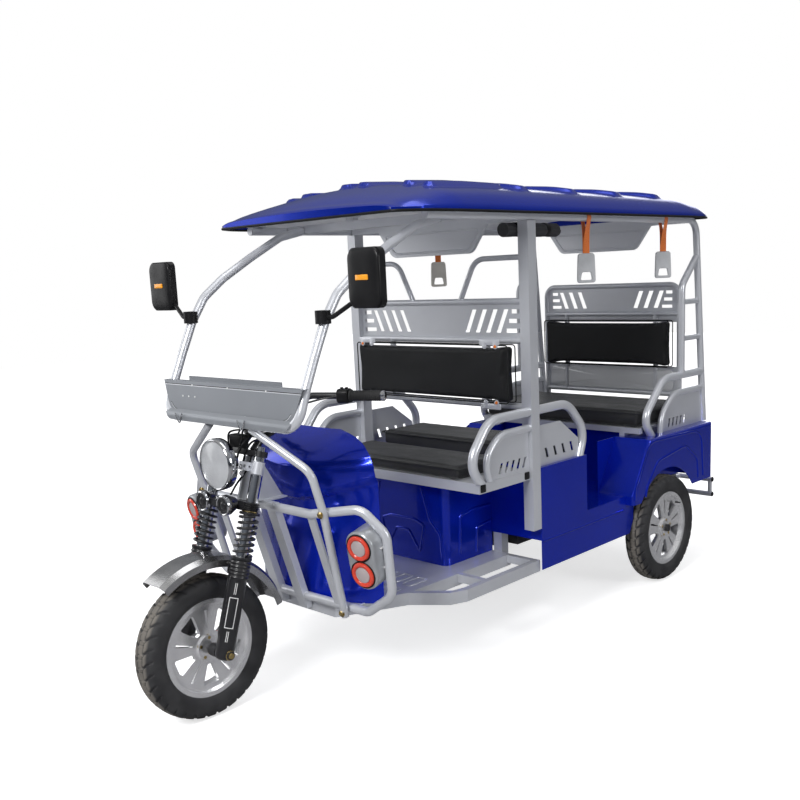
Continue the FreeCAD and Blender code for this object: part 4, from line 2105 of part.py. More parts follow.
def write_nodes():
    """Checks every object and every node's shape, then writes the nodes."""
    DOC.recompute()
    for thing in DOC.Objects:
        if "Invalid" in thing.State or "Error" in thing.State:
            raise RuntimeError(f"{thing.Name} failed: {thing.State}")
    for name, thing in NODES.items():
        if thing.Shape.isNull() or not thing.Shape.isValid() or not thing.Shape.Solids:
            raise RuntimeError(f"{name} has no valid solid")
    os.makedirs("parts", exist_ok=True)
    for name, thing in NODES.items():
        thing.Shape.exportStep(os.path.join("parts", name + ".step"))
    print(len(NODES), "nodes")


build_all()
write_nodes()
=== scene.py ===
"""The dress of an electric auto rickshaw: finishes, tyres, lamps, seats, trim, camera and light."""

import logging
import math
from dataclasses import dataclass, field
from enum import Enum
from typing import Sequence

import bmesh
import bpy
import numpy as np
from mathutils import Matrix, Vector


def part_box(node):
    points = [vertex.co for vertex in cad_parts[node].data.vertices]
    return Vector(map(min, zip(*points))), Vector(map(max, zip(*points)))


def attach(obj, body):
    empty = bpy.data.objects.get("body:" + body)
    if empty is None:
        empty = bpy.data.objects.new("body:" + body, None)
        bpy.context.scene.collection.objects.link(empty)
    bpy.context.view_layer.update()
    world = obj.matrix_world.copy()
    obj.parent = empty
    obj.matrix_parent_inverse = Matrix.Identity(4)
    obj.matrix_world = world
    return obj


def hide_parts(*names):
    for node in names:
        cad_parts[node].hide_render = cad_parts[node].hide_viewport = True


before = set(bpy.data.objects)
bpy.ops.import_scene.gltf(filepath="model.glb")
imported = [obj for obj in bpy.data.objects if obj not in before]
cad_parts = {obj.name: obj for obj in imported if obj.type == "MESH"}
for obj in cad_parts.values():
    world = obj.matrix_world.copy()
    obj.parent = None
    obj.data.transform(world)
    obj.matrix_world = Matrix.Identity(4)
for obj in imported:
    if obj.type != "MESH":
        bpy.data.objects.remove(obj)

LOG = logging.getLogger("rickshaw")
Array = np.ndarray
Point = tuple[float, float, float]
Colour = tuple[float, float, float]

FRONT_AXLE_Y = -1.171
REAR_AXLE_Y = 0.904
AXLE_Z = 0.235
RAKE = math.radians(18.0)
UP_FORK = np.array((0.0, math.sin(RAKE), math.cos(RAKE)))
REAR_OF_FORK = np.array((0.0, math.cos(RAKE), -math.sin(RAKE)))
ACROSS = np.array((1.0, 0.0, 0.0))
LEFTWARD: Point = (1.0, 0.0, 0.0)
REARWARD: Point = (0.0, 1.0, 0.0)
FORWARD: Point = (0.0, -1.0, 0.0)
UPWARD: Point = (0.0, 0.0, 1.0)
FACING_FRONT = np.array((LEFTWARD, UPWARD, FORWARD))
FACING_LEFT = np.array((REARWARD, UPWARD, LEFTWARD))
FULL_TURN = 2 * math.pi
TINY = 1e-12
ON_AXIS = 1e-6


class Body(str, Enum):
    """The CAD bodies that pieces ride on."""

    CHASSIS = "chassis"
    STEERING = "steering"
    FRONT_WHEEL = "front_wheel"
    LEFT_WHEEL = "rear_wheel_left"
    RIGHT_WHEEL = "rear_wheel_right"


# Surfaces


@dataclass
class Surface:
    """Vertices with four-sided and three-sided faces."""

    verts: Array
    quads: Array
    tris: Array = field(default_factory=lambda: np.zeros((0, 3), int))

    def moved(self, offset: Sequence[float]) -> "Surface":
        """The surface shifted by an offset."""
        return Surface(self.verts + np.asarray(offset, float), self.quads, self.tris)

    def turned(self, axes: Array) -> "Surface":
        """The surface with its own x, y and z laid along the rows of axes."""
        return Surface(self.verts @ np.asarray(axes, float), self.quads, self.tris)

    def mirrored(self) -> "Surface":
        """The surface mirrored across the vehicle, with its faces turned back outwards."""
        return Surface(self.verts * (-1.0, 1.0, 1.0), self.quads[:, ::-1], self.tris[:, ::-1])

    def with_mirror(self) -> "Surface":
        """The surface and its mirror image."""
        return joined([self, self.mirrored()])

    def mesh(self, name: str) -> bpy.types.Mesh:
        """The surface as a mesh of a name, its four-sided faces first."""
        mesh = bpy.data.meshes.new(name)
        mesh.from_pydata(self.verts, [], [tuple(row) for row in self.quads.tolist() + self.tris.tolist()])
        return mesh


def joined(parts: Sequence[Surface]) -> Surface:
    """One surface of several, their faces renumbered by the vertices before them.

    Args:
        parts: the surfaces to join.

    Returns:
        The joined surface.
    """
    starts = np.cumsum([0] + [len(part.verts) for part in parts[:-1]])
    verts = np.concatenate([part.verts for part in parts])
    quads = np.concatenate([part.quads + start for part, start in zip(parts, starts)])
    tris = np.concatenate([part.tris + start for part, start in zip(parts, starts)])
    return Surface(verts, quads, tris)


def grid(points: Array, wrap_u: bool = False, wrap_v: bool = False) -> Surface:
    """Faces over a grid of points: face (i, j) joins (i, j), (i+1, j), (i+1, j+1) and (i, j+1).

    Args:
        points: an array of rows by columns by 3.
        wrap_u: whether the last row joins the first.
        wrap_v: whether the last column joins the first.

    Returns:
        The grid as a surface.
    """
    rows, cols = points.shape[:2]
    i, j = np.meshgrid(np.arange(rows - (not wrap_u)), np.arange(cols - (not wrap_v)), indexing="ij")
    i, j = i.ravel(), j.ravel()
    i2, j2 = (i + 1) % rows, (j + 1) % cols
    quads = np.stack([i * cols + j, i2 * cols + j, i2 * cols + j2, i * cols + j2], axis=1)
    return Surface(points.reshape(-1, 3), quads)


def capped(points: Array, first: bool = True, last: bool = True) -> Surface:
    """A tube of rings with its ends closed by fans to the rings' middles.

    Args:
        points: rings by points by 3, each ring closed on itself.
        first: whether to close the first ring.
        last: whether to close the last ring.

    Returns:
        The closed tube.
    """
    body = grid(points, wrap_v=True)
    rows, cols = points.shape[:2]
    verts, tris = [body.verts], [body.tris]
    j = np.arange(cols)
    total = rows * cols
    for use, row, order in ((first, 0, 1), (last, rows - 1, -1)):
        if use:
            ring = np.stack([row * cols + j, row * cols + (j + 1) % cols, np.full(cols, total)], axis=1)
            tris.append(ring[:, ::order])
            verts.append(points[row].mean(axis=0, keepdims=True))
            total += 1
    return Surface(np.concatenate(verts), body.quads, np.concatenate(tris))


def unit(vectors: Array) -> Array:
    """Vectors divided by their lengths."""
    return vectors / np.maximum(np.linalg.norm(vectors, axis=-1, keepdims=True), TINY)


def tangents(path: Array, closed: bool = False) -> Array:
    """The direction of a path at each point: the next point minus the one before, made unit."""
    if closed:
        return unit(np.roll(path, -1, axis=0) - np.roll(path, 1, axis=0))
    return unit(np.gradient(path, axis=0))


def lengths_along(path: Array) -> Array:
    """The length of a path up to each of its points."""
    return np.concatenate([[0.0], np.cumsum(np.linalg.norm(np.diff(path, axis=0), axis=1))])


def carried(profile: Array, path: Array, up: Sequence[float], closed: bool = False,
            scale: Array | None = None) -> Surface:
    """A closed profile carried along a path: P(i, j) = path(i) + a(j) side(i) + b(j) top(i).

    Args:
        profile: points by 2, across and up, counterclockwise.
        path: points by 3.
        up: the direction that the profile's up keeps to.
        closed: whether the path closes on itself.
        scale: a size factor at each path point.

    Returns:
        The swept surface, its ends closed when the path is open.
    """
    along = tangents(path, closed)
    side = unit(np.cross(along, np.asarray(up, float)))
    top = np.cross(side, along)
    factor = np.ones(len(path)) if scale is None else np.asarray(scale)
    across = profile[None, :, :1] * factor[:, None, None]
    rise = profile[None, :, 1:] * factor[:, None, None]
    points = path[:, None] + across * side[:, None] + rise * top[:, None]
    return grid(points, wrap_u=True, wrap_v=True) if closed else capped(points)


def circle(radius: float, count: int = 14) -> Array:
    """A circle's points: radius times (cos t, sin t)."""
    t = np.linspace(0, FULL_TURN, count, endpoint=False)
    return radius * np.stack([np.cos(t), np.sin(t)], axis=1)


def rounded_outline(width: float, height: float, radius: float, count: int = 8) -> Array:
    """A rectangle with round corners: four quarter circles about its inset corners.

    Args:
        width: the full width.
        height: the full height.
        radius: the corners' radius.
        count: points in each corner.

    Returns:
        The outline, counterclockwise.
    """
    t = np.linspace(0, math.pi / 2, count)
    starts = np.arange(4)[:, None] * math.pi / 2
    angle = starts + t[None]
    x = np.array((1, -1, -1, 1))[:, None] * (width / 2 - radius) + radius * np.cos(angle)
    y = np.array((1, 1, -1, -1))[:, None] * (height / 2 - radius) + radius * np.sin(angle)
    return np.stack([x, y], axis=-1).reshape(-1, 2)


def slab(outline: Array, depth: float, bevel: float) -> Surface:
    """A plate about its own middle: the outline over a depth, its rims drawn in by a quarter-round bevel.

    Args:
        outline: points by 2, counterclockwise, seen from its own +z.
        depth: the thickness along z.
        bevel: how far the rims are rounded.

    Returns:
        The plate, centred on its own origin.
    """
    t = np.linspace(0, math.pi / 2, 4)
    inset = np.concatenate([bevel * (1 - np.sin(t)), bevel * (1 - np.cos(t))])
    height = np.concatenate([-depth / 2 + bevel * (1 - np.cos(t)), depth / 2 - bevel * (1 - np.sin(t))])
    outward = unit(outline - outline.mean(axis=0))
    rings = outline[None] - outward[None] * inset[:, None, None]
    points = np.concatenate([rings, np.broadcast_to(height[:, None, None], rings.shape[:2] + (1,))], axis=2)
    return capped(points)


def lathe_points(profile: Sequence[Sequence[float]], origin: Sequence[float], axis: Sequence[float],
                 steps: int) -> Array:
    """Rings about an axis: P(i, j) = origin + h(i) axis + r(i) (cos t(j) e1 + sin t(j) e2).

    Args:
        profile: points by 2, each a radius and a height along the axis.
        origin: where the height is zero.
        axis: the direction of the height.
        steps: points round the axis.

    Returns:
        Rings by points by 3.
    """
    axes = axes_for(axis)
    rows = np.asarray(profile, float)
    t = np.linspace(0, FULL_TURN, steps, endpoint=False)
    ring = np.cos(t)[:, None] * axes[0] + np.sin(t)[:, None] * axes[1]
    return np.asarray(origin) + rows[:, 1][:, None, None] * axes[2] + rows[:, 0][:, None, None] * ring[None]


def turned(profile: Array, origin: Sequence[float], axis: Sequence[float], steps: int = 48) -> Surface:
    """A lathe form: a profile of radii and heights taken round an axis.

    Args:
        profile: points by 2, each a radius and a height along the axis.
        origin: where the height is zero.
        axis: the direction of the height.
        steps: points round the axis.

    Returns:
        The surface, closed where the profile starts or ends on the axis.
    """
    points = lathe_points(profile, origin, axis, steps)
    keep_first = profile[0, 0] > ON_AXIS
    keep_last = profile[-1, 0] > ON_AXIS
    inner = points[(0 if keep_first else 1):(len(points) if keep_last else -1)]
    shape = capped(inner, not keep_first, not keep_last)
    if not keep_first:
        shape.verts[inner.shape[0] * steps] = points[0, 0]
    if not keep_last:
        shape.verts[-1] = points[-1, 0]
    return shape


def axes_for(axis: Sequence[float], up: Sequence[float] | None = None) -> Array:
    """Rows of x, y and z for a frame whose z lies along an axis.

    Args:
        axis: the direction of z.
        up: a direction that y keeps near, if any.

    Returns:
        A 3 by 3 array.
    """
    z = unit(np.asarray(axis, float))
    guide = up if up is not None else (UPWARD if abs(z[2]) < 0.9 else LEFTWARD)
    x = unit(np.cross(np.asarray(guide, float), z))
    return np.stack([x, np.cross(z, x), z])


def smooth_path(points: Sequence[Sequence[float]], samples: int = 12, closed: bool = False) -> Array:
    """A Catmull-Rom curve through points.

    Between b and c, with a before and d after, it is 0.5 (2b + (c-a) t + (2a-5b+4c-d) t2 + (3b-a-3c+d) t3).

    Args:
        points: the points that the curve passes.
        samples: points on each span.
        closed: whether the curve closes on itself.

    Returns:
        The curve's points.
    """
    p = np.asarray(points, float)
    p = np.concatenate([p[-1:], p, p[:2]]) if closed else np.concatenate([2 * p[:1] - p[1:2], p,
                                                                          2 * p[-1:] - p[-2:-1]])
    t = np.linspace(0, 1, samples, endpoint=False)[None, :, None]
    a, b, c, d = (p[k:len(p) - 3 + k, None] for k in range(4))
    curve = 0.5 * (2 * b + (c - a) * t + (2 * a - 5 * b + 4 * c - d) * t**2 + (3 * b - a - 3 * c + d) * t**3)
    curve = curve.reshape(-1, 3)
    return curve if closed else np.concatenate([curve, p[-2:-1]])


def scattered(shape: Surface, places: Array, axes: Sequence[Array]) -> Surface:
    """Copies of a surface at many places, each turned by its own axes.

    Args:
        shape: the surface to copy.
        places: count by 3.
        axes: a 3 by 3 array for each place.

    Returns:
        All the copies as one surface.
    """
    places = np.asarray(places, float)
    verts = np.einsum("vi,nij->nvj", shape.verts, np.asarray(axes, float)) + places[:, None]
    step = (np.arange(len(places)) * len(shape.verts))[:, None, None]
    return Surface(verts.reshape(-1, 3), (shape.quads[None] + step).reshape(-1, 4),
                   (shape.tris[None] + step).reshape(-1, 3))


def tube(points: Sequence[Sequence[float]], radius: float, up: Sequence[float] = UPWARD, sides: int = 12,
         samples: int = 8) -> Surface:
    """A round bar along a smooth path through points."""
    return carried(circle(radius, sides), smooth_path(points, samples), up)


def eased(points: Sequence[Sequence[float]], radius: float, count: int = 5, closed: bool = False) -> Array:
    """Straight runs whose corners are rounded.

    A corner c becomes the curve (1-t)2 (c - r u) + 2 t (1-t) c + t2 (c + r v), with u and v the directions of the
    runs before and after it, and r kept under half of the shorter run.

    Args:
        points: the corners.
        radius: how far from a corner its curve starts.
        count: points in each curve.
        closed: whether the last run goes back to the first point.

    Returns:
        The path's points.
    """
    p = np.asarray(points, float)
    before, after = p - np.roll(p, 1, axis=0), np.roll(p, -1, axis=0) - p
    room = 0.45 * np.minimum(np.linalg.norm(before, axis=1), np.linalg.norm(after, axis=1))
    r = np.minimum(radius, room)[:, None, None]
    t = np.linspace(0, 1, count)[None, :, None]
    u, v, c = unit(before)[:, None], unit(after)[:, None], p[:, None]
    curve = (1 - t) ** 2 * (c - r * u) + 2 * t * (1 - t) * c + t**2 * (c + r * v)
    if closed:
        return curve.reshape(-1, 3)
    return np.concatenate([p[:1], curve[1:-1].reshape(-1, 3), p[-1:]])


def bead(points: Sequence[Sequence[float]], up: Sequence[float], half: float, height: float, ease: float = 0.012,
         closed: bool = False) -> Surface:
    """A low pressed line on a face: an ellipse, half wide and height tall, carried along the line.

    Args:
        points: the line's corners, on the face.
        up: the face's outward direction.
        half: half the line's width.
        height: how far it stands out.
        ease: the corners' radius.
        closed: whether the line closes on itself.

    Returns:
        The bead.
    """
    return carried(circle(1.0, 10) * (half, height), eased(points, ease, 5, closed), up, closed)


def ringed(profile: Sequence[Sequence[float]], origin: Sequence[float], axis: Sequence[float],
           steps: int = 48) -> Surface:
    """A ring: a closed profile of radii and heights taken round an axis.

    Args:
        profile: points by 2, each a radius and a height.
        origin: where the height is zero.
        axis: the direction of the height.
        steps: points round the axis.

    Returns:
        The ring.
    """
    return grid(lathe_points(profile, origin, axis, steps), wrap_u=True, wrap_v=True)


def shelled(front: Array, back: Array) -> Surface:
    """Two sheets of the same rows and columns joined all round into one wall."""
    rows, cols = front.shape[:2]
    shape = grid(np.concatenate([front, back[:, ::-1]], axis=1), wrap_v=True)
    j = np.arange(cols - 1)
    first = np.stack([j, j + 1, 2 * cols - 2 - j, 2 * cols - 1 - j], axis=1)
    last = first + (rows - 1) * 2 * cols
    return Surface(shape.verts, np.concatenate([shape.quads, first[:, ::-1], last]))


def thickened(outer: Array, wall: float) -> Surface:
    """A sheet given a wall: its back lies at outer - wall n, with n across the sheet's rows and columns.

    Args:
        outer: rows by columns by 3.
        wall: the thickness, negative to the other side.

    Returns:
        The closed sheet.
    """
    n = unit(np.cross(np.gradient(outer, axis=0), np.gradient(outer, axis=1)))
    return shelled(outer, outer - wall * n)


def ray_outline(outline: Array, centre: Array, angles: Array) -> Array:
    """Where rays from a centre meet a closed outline: for a side a + s e and a ray t d, t = (a x e) / (d x e).

    Args:
        outline: corners by 2.
        centre: the rays' start.
        angles: the rays' angles.

    Returns:
        A point for each angle.
    """
    a = outline - centre
    e = np.roll(a, -1, axis=0) - a
    d = np.stack([np.cos(angles), np.sin(angles)], axis=1)
    below = d[:, None, 0] * e[None, :, 1] - d[:, None, 1] * e[None, :, 0]
    below = np.where(np.abs(below) < TINY, TINY, below)
    t = (a[:, 0] * e[:, 1] - a[:, 1] * e[:, 0])[None] / below
    s = (a[None, :, 0] * d[:, None, 1] - a[None, :, 1] * d[:, None, 0]) / below
    reach = np.where((s >= -1e-6) & (s <= 1 + 1e-6) & (t > 0), t, np.inf).min(axis=1)
    return centre + d * reach[:, None]


def holed_slab(outline: Array, hole: Array, depth: float, bevel: float, count: int = 48) -> Surface:
    """A plate with a hole, both outlines followed by the same rays from the hole's middle.

    Args:
        outline: the outer corners by 2.
        hole: the hole's corners by 2.
        depth: the thickness.
        bevel: how far the rims are rounded.
        count: the number of rays.

    Returns:
        The plate, flat in its own x and y and centred on its own z.
    """
    centre = hole.mean(axis=0)
    angles = np.linspace(0, FULL_TURN, count, endpoint=False)
    outer, inner = ray_outline(outline, centre, angles), ray_outline(hole, centre, angles)
    width = np.linalg.norm(outer - inner, axis=1, keepdims=True)
    share = np.minimum(bevel / width, 0.4)
    half = depth / 2
    rows = [(outer + (inner - outer) * share, -half), (outer, bevel - half), (outer, half - bevel),
            (outer + (inner - outer) * share, half), (inner + (outer - inner) * share, half), (inner, half - bevel),
            (inner, bevel - half), (inner + (outer - inner) * share, -half)]
    points = np.stack([np.concatenate([ring, np.full((count, 1), level)], axis=1) for ring, level in rows])
    return grid(points, wrap_u=True, wrap_v=True)


def at_back(pairs: Sequence[tuple[float, float]], back: float) -> Array:
    """Points of x and z on an upright plane at a distance behind the front axle."""
    rows = np.asarray(pairs, float)
    return np.stack([rows[:, 0], np.full(len(rows), FRONT_AXLE_Y + back), rows[:, 1]], axis=1)


def at_side(pairs: Sequence[tuple[float, float]], x: float) -> Array:
    """Points of distance behind the front axle and z on an upright plane along the vehicle."""
    rows = np.asarray(pairs, float)
    return np.stack([np.full(len(rows), x), FRONT_AXLE_Y + rows[:, 0], rows[:, 1]], axis=1)


def at_height(pairs: Sequence[tuple[float, float]], z: float) -> Array:
    """Points of x and distance behind the front axle on a level plane."""
    rows = np.asarray(pairs, float)
    return np.stack([rows[:, 0], FRONT_AXLE_Y + rows[:, 1], np.full(len(rows), z)], axis=1)


def fork_point(across: float, rise: float, reach: float = 0.0) -> Array:
    """A point in the fork's leaning frame: the axle plus rise up the fork and reach to its rear."""
    return np.array((across, FRONT_AXLE_Y, AXLE_Z)) + rise * UP_FORK + reach * REAR_OF_FORK


def place(x: float, back: float, z: float) -> Array:
    """A point given by its distance behind the front axle."""
    return np.array((x, FRONT_AXLE_Y + back, z))


# Shader maths


class Signal:
    """A socket of a shader tree that takes part in sums."""

    def __init__(self, graph: "Graph", socket: bpy.types.NodeSocket) -> None:
        """Wraps a socket of a graph."""
        self.graph = graph
        self.socket = socket

    def _maths(self, operation: str, *values: "Signal | float") -> "Signal":
        """A Math node on given values."""
        return self.graph.node("ShaderNodeMath", {"operation": operation}, dict(enumerate(values)))

    def __add__(self, other: "Signal | float") -> "Signal":
        """The sum."""
        return self._maths("ADD", self, other)

    __radd__ = __add__

    def __sub__(self, other: "Signal | float") -> "Signal":
        """The difference."""
        return self._maths("SUBTRACT", self, other)

    def __rsub__(self, other: float) -> "Signal":
        """The difference, the other way round."""
        return self._maths("SUBTRACT", other, self)

    def __mul__(self, other: "Signal | float") -> "Signal":
        """The product."""
        return self._maths("MULTIPLY", self, other)

    __rmul__ = __mul__

    def __pow__(self, other: float) -> "Signal":
        """The power."""
        return self._maths("POWER", self, other)

    def sine(self) -> "Signal":
        """The sine."""
        return self._maths("SINE", self)

    def ramp(self, low: float, high: float, start: float = 0.0, end: float = 1.0) -> "Signal":
        """Smoothly from start at low to end at high."""
        settings = {"interpolation_type": "SMOOTHSTEP", "clamp": True}
        values = {"Value": self, "From Min": low, "From Max": high, "To Min": start, "To Max": end}
        return self.graph.node("ShaderNodeMapRange", settings, values)


class Graph:
    """A material's node tree and its surface shader."""

    def __init__(self, name: str) -> None:
        """Makes the material with one shader joined to its output."""
        self.material = bpy.data.materials.new(name)
        self.material.use_nodes = True
        self.tree = self.material.node_tree
        self.tree.nodes.clear()
        self.shader = self.tree.nodes.new("ShaderNodeBsdfPrincipled")
        output = self.tree.nodes.new("ShaderNodeOutputMaterial")
        self.tree.links.new(self.shader.outputs[0], output.inputs["Surface"])

    def _fill(self, socket: bpy.types.NodeSocket, value: object) -> None:
        """Links a signal to a socket or sets its value."""
        if isinstance(value, Signal):
            self.tree.links.new(value.socket, socket)
        elif isinstance(value, (tuple, list)) and len(value) == 3 and socket.type == "RGBA":
            socket.default_value = (*value, 1.0)
        else:
            socket.default_value = value

    def node(self, kind: str, settings: dict, values: dict, output: int | str = 0) -> Signal:
        """Makes a node of a kind.

        Args:
            kind: the node's type.
            settings: its properties, set first.
            values: its inputs by name or number, each a value or a signal.
            output: which output to return.

        Returns:
            The chosen output.
        """
        made = self.tree.nodes.new(kind)
        for key, value in settings.items():
            setattr(made, key, value)
        for key, value in values.items():
            self._fill(made.inputs[key], value)
        return Signal(self, made.outputs[output])

    def set(self, **values: object) -> None:
        """Sets the shader's sockets, an underscore standing for a space."""
        for key, value in values.items():
            self._fill(self.shader.inputs[key.replace("_", " ")], value)

    def coordinate(self, name: str = "Object") -> Signal:
        """The texture coordinate of a name."""
        return self.node("ShaderNodeTexCoord", {}, {}, name)

    def part(self, vector: Signal, axis: int) -> Signal:
        """One number of a vector."""
        return self.node("ShaderNodeSeparateXYZ", {}, {0: vector}, axis)

    def from_axle(self, vector: Signal, axle_y: float) -> Signal:
        """A point's distance sqrt(y2 + z2) from a wheel's axle."""
        y = self.part(vector, 1) - axle_y
        z = self.part(vector, 2) - AXLE_Z
        return (y ** 2.0 + z ** 2.0) ** 0.5

    def stretched(self, vector: Signal, scale: Point) -> Signal:
        """A vector scaled along each axis."""
        return self.node("ShaderNodeMapping", {}, {"Vector": vector, "Scale": scale})

    def noise(self, vector: Signal, scale: float, detail: float = 3.0, roughness: float = 0.5) -> Signal:
        """Soft noise from 0 to 1."""
        return self.node("ShaderNodeTexNoise", {}, {"Vector": vector, "Scale": scale, "Detail": detail,
                                                    "Roughness": roughness})

    def cells(self, vector: Signal, scale: float, feature: str = "F1", output: str = "Distance") -> Signal:
        """Distances or colours of scattered cells."""
        return self.node("ShaderNodeTexVoronoi", {"feature": feature}, {"Vector": vector, "Scale": scale}, output)

    def mix(self, factor: Signal | float, low: object, high: object) -> Signal:
        """A colour between two colours."""
        return self.node("ShaderNodeMix", {"data_type": "RGBA"}, {0: factor, 6: low, 7: high}, 2)

    def bump(self, height: Signal, distance: float, strength: float = 1.0, over: Signal | None = None) -> Signal:
        """A surface normal from a height that runs from 0 to 1 over a distance."""
        values = {"Height": height, "Distance": distance, "Strength": strength}
        if over is not None:
            values["Normal"] = over
        return self.node("ShaderNodeBump", {}, values)


@dataclass(frozen=True)
class Finish:
    """A finish that makes its material once."""

    name: str

    def shade(self, g: Graph) -> None:
        """Fills the material's graph."""
        raise NotImplementedError

    def material(self) -> bpy.types.Material:
        """The finish's material, made at the first call."""
        name = f"{self.name}_finish"
        known = bpy.data.materials.get(name)
        if known is not None:
            return known
        graph = Graph(name)
        self.shade(graph)
        return graph.material


@dataclass(frozen=True)
class Lacquer(Finish):
    """Metallic colour under a clear coat, with fine flakes."""

    colour: Colour
    deep: Colour
    coat: float = 0.45
    under: Colour | None = None

    def shade(self, g: Graph) -> None:
        """Flakes vary the colour a little; faces that look down are the under colour, if there is one."""
        where = g.coordinate()
        cloud = g.noise(where, 2.2, 2.0)
        flakes = g.node("ShaderNodeSeparateColor", {}, {0: g.cells(where, 1400.0, output="Color")}, 0)
        tone = g.mix((cloud * 0.5 + flakes * 0.5).ramp(0.2, 0.8), self.deep, self.colour)
        rough = g.noise(where, 60.0, 4.0).ramp(0.3, 0.75, 0.16, 0.19)
        metal: Signal | float = 0.55
        if self.under is not None:
            facing = g.part(g.node("ShaderNodeNewGeometry", {}, {}, "True Normal"), 2)
            below = facing.ramp(-0.25, -0.1, 1.0, 0.0)
            tone = g.mix(below, tone, self.under)
            rough = rough + below * 0.3
            metal = (1.0 - below) * 0.55
        g.set(Base_Color=tone, Roughness=rough, Metallic=metal, Coat_Weight=self.coat, Coat_Roughness=0.03,
              Specular_IOR_Level=0.3, Normal=g.bump(g.noise(where, 140.0, 2.0), 0.00012, 0.3))


@dataclass(frozen=True)
class PowderCoat(Finish):
    """Silver powder coat: a soft gloss with a faint cloud."""

    colour: Colour
    metal: float = 0.42
    rough: float = 0.31

    def shade(self, g: Graph) -> None:
        """Noise greys the colour and changes its polish a little."""
        where = g.coordinate()
        tone = g.mix(g.noise(where, 5.0, 3.0).ramp(0.25, 0.75), tuple(0.93 * value for value in self.colour),
                     self.colour)
        g.set(Base_Color=tone, Metallic=self.metal,
              Roughness=g.noise(where, 90.0, 4.0).ramp(0.3, 0.7, self.rough - 0.008, self.rough + 0.012))


@dataclass(frozen=True)
class CastAlloy(Finish):
    """A bright cast wheel with turned lines about its axle."""

    axle_y: float
    colour: Colour = (0.93, 0.93, 0.94)

    def shade(self, g: Graph) -> None:
        """The radius from the axle drives fine lathe lines; noise changes tone and polish."""
        where = g.coordinate()
        radius = g.from_axle(where, self.axle_y)
        lines = (radius * 5200.0).sine() * 0.5 + 0.5
        cloud = g.noise(where, 26.0, 4.0)
        tone = g.mix(cloud.ramp(0.2, 0.8), tuple(0.95 * value for value in self.colour), self.colour)
        g.set(Base_Color=tone, Metallic=0.78, Roughness=cloud.ramp(0.2, 0.8, 0.20, 0.24),
              Normal=g.bump(lines, 0.00004, 0.3, g.bump(g.noise(where, 300.0, 2.0), 0.00006, 0.2)))


@dataclass(frozen=True)
class TyreRubber(Finish):
    """Black rubber, brown-grey on the tread's crown."""

    axle_y: float

    def shade(self, g: Graph) -> None:
        """The brown-grey follows the radius from the axle and a soft noise."""
        where = g.coordinate()
        radius = g.from_axle(where, self.axle_y)
        cloud = g.noise(where, 18.0, 5.0)
        # Lighter brown-grey on the crown, darker in the grooves and on the sides.
        crown_grey = radius.ramp(0.2275, 0.2335) * cloud.ramp(0.2, 0.6, 0.55, 1.0)
        side = g.mix(cloud.ramp(0.3, 0.7), (0.018, 0.018, 0.020), (0.034, 0.034, 0.036))
        tone = g.mix(crown_grey, side, (0.17, 0.155, 0.135))
        rings = (radius * 2400.0).sine().ramp(-1.0, 1.0) * radius.ramp(0.2, 0.196)
        grain = g.bump(g.noise(where, 700.0, 3.0), 0.0004, 0.5, g.bump(rings, 0.0003, 0.5))
        g.set(Base_Color=tone, Roughness=cloud.ramp(0.3, 0.7, 0.56, 0.74), Normal=grain)


@dataclass(frozen=True)
class Vinyl(Finish):
    """Grained black vinyl."""

    colour: Colour = (0.012, 0.0125, 0.0135)
    gloss: float = 0.5

    def shade(self, g: Graph) -> None:
        """Cell edges make the grain, with a soft wrinkle under it and a faint sheen."""
        where = g.coordinate()
        cell = g.cells(where, 620.0, "DISTANCE_TO_EDGE").ramp(0.0, 0.12)
        fold = g.noise(g.stretched(where, (1.0, 2.2, 1.6)), 9.0, 3.0)
        # The colour is lighter on the wrinkle's crests and darker in its hollows: painted shade in the folds.
        tone = g.mix(fold.ramp(0.3, 0.7), self.colour, tuple(1.7 * value for value in self.colour))
        g.set(Base_Color=tone, Roughness=fold.ramp(0.25, 0.75, 0.36, 0.48), Sheen_Weight=0.03,
              Specular_IOR_Level=self.gloss, Normal=g.bump(cell, 0.00035, 0.6, g.bump(fold, 0.004, 0.35)))


@dataclass(frozen=True)
class Plain(Finish):
    """A gloss, plated or moulded finish with its own colour, polish and texture."""

    colour: Colour
    rough: float = 0.35
    metal: float = 0.0
    coat: float = 0.0
    texture: float = 500.0
    depth: float = 0.00012
    gloss: float = 0.5

    def shade(self, g: Graph) -> None:
        """Noise varies tone and polish, and a fine texture breaks the highlights."""
        where = g.coordinate()
        cloud = g.noise(where, 14.0, 4.0)
        low = tuple(0.82 * value for value in self.colour)
        g.set(Base_Color=g.mix(cloud.ramp(0.3, 0.7), low, self.colour), Metallic=self.metal, Coat_Weight=self.coat,
              Coat_Roughness=0.05, Roughness=cloud.ramp(0.25, 0.75, self.rough * 0.85, self.rough * 1.2),
              Specular_IOR_Level=self.gloss, Normal=g.bump(g.noise(where, self.texture, 2.0), self.depth, 0.5))


@dataclass(frozen=True)
class Clear(Finish):
    """Clear or tinted lens plastic."""

    colour: Colour = (0.95, 0.97, 1.0)
    rough: float = 0.04

    def shade(self, g: Graph) -> None:
        """Light goes through it, a little scattered by moulded flutes."""
        where = g.coordinate()
        g.set(Base_Color=self.colour, Roughness=self.rough, Transmission_Weight=1.0, IOR=1.3,
              Normal=g.bump(g.noise(where, 160.0, 1.0), 0.0002, 0.2))


@dataclass(frozen=True)
class Webbing(Finish):
    """Woven strap, its weave laid along the piece's own map."""

    colour: Colour

    def shade(self, g: Graph) -> None:
        """Two crossed waves make the weave: threads along u and ribs along v."""
        where = g.coordinate("UV")
        u, v = g.part(where, 0), g.part(where, 1)
        weave = ((u * 2 * math.pi * 24.0).sine() * (v * 2 * math.pi * 60.0).sine()) * 0.5 + 0.5
        # The weave's hollows are painted darker than its threads: painted shade between the threads.
        tone = g.mix(weave.ramp(0.2, 0.8), tuple(0.7 * value for value in self.colour), self.colour)
        g.set(Base_Color=tone, Roughness=0.7, Sheen_Weight=0.2, Normal=g.bump(weave, 0.0005, 0.6))


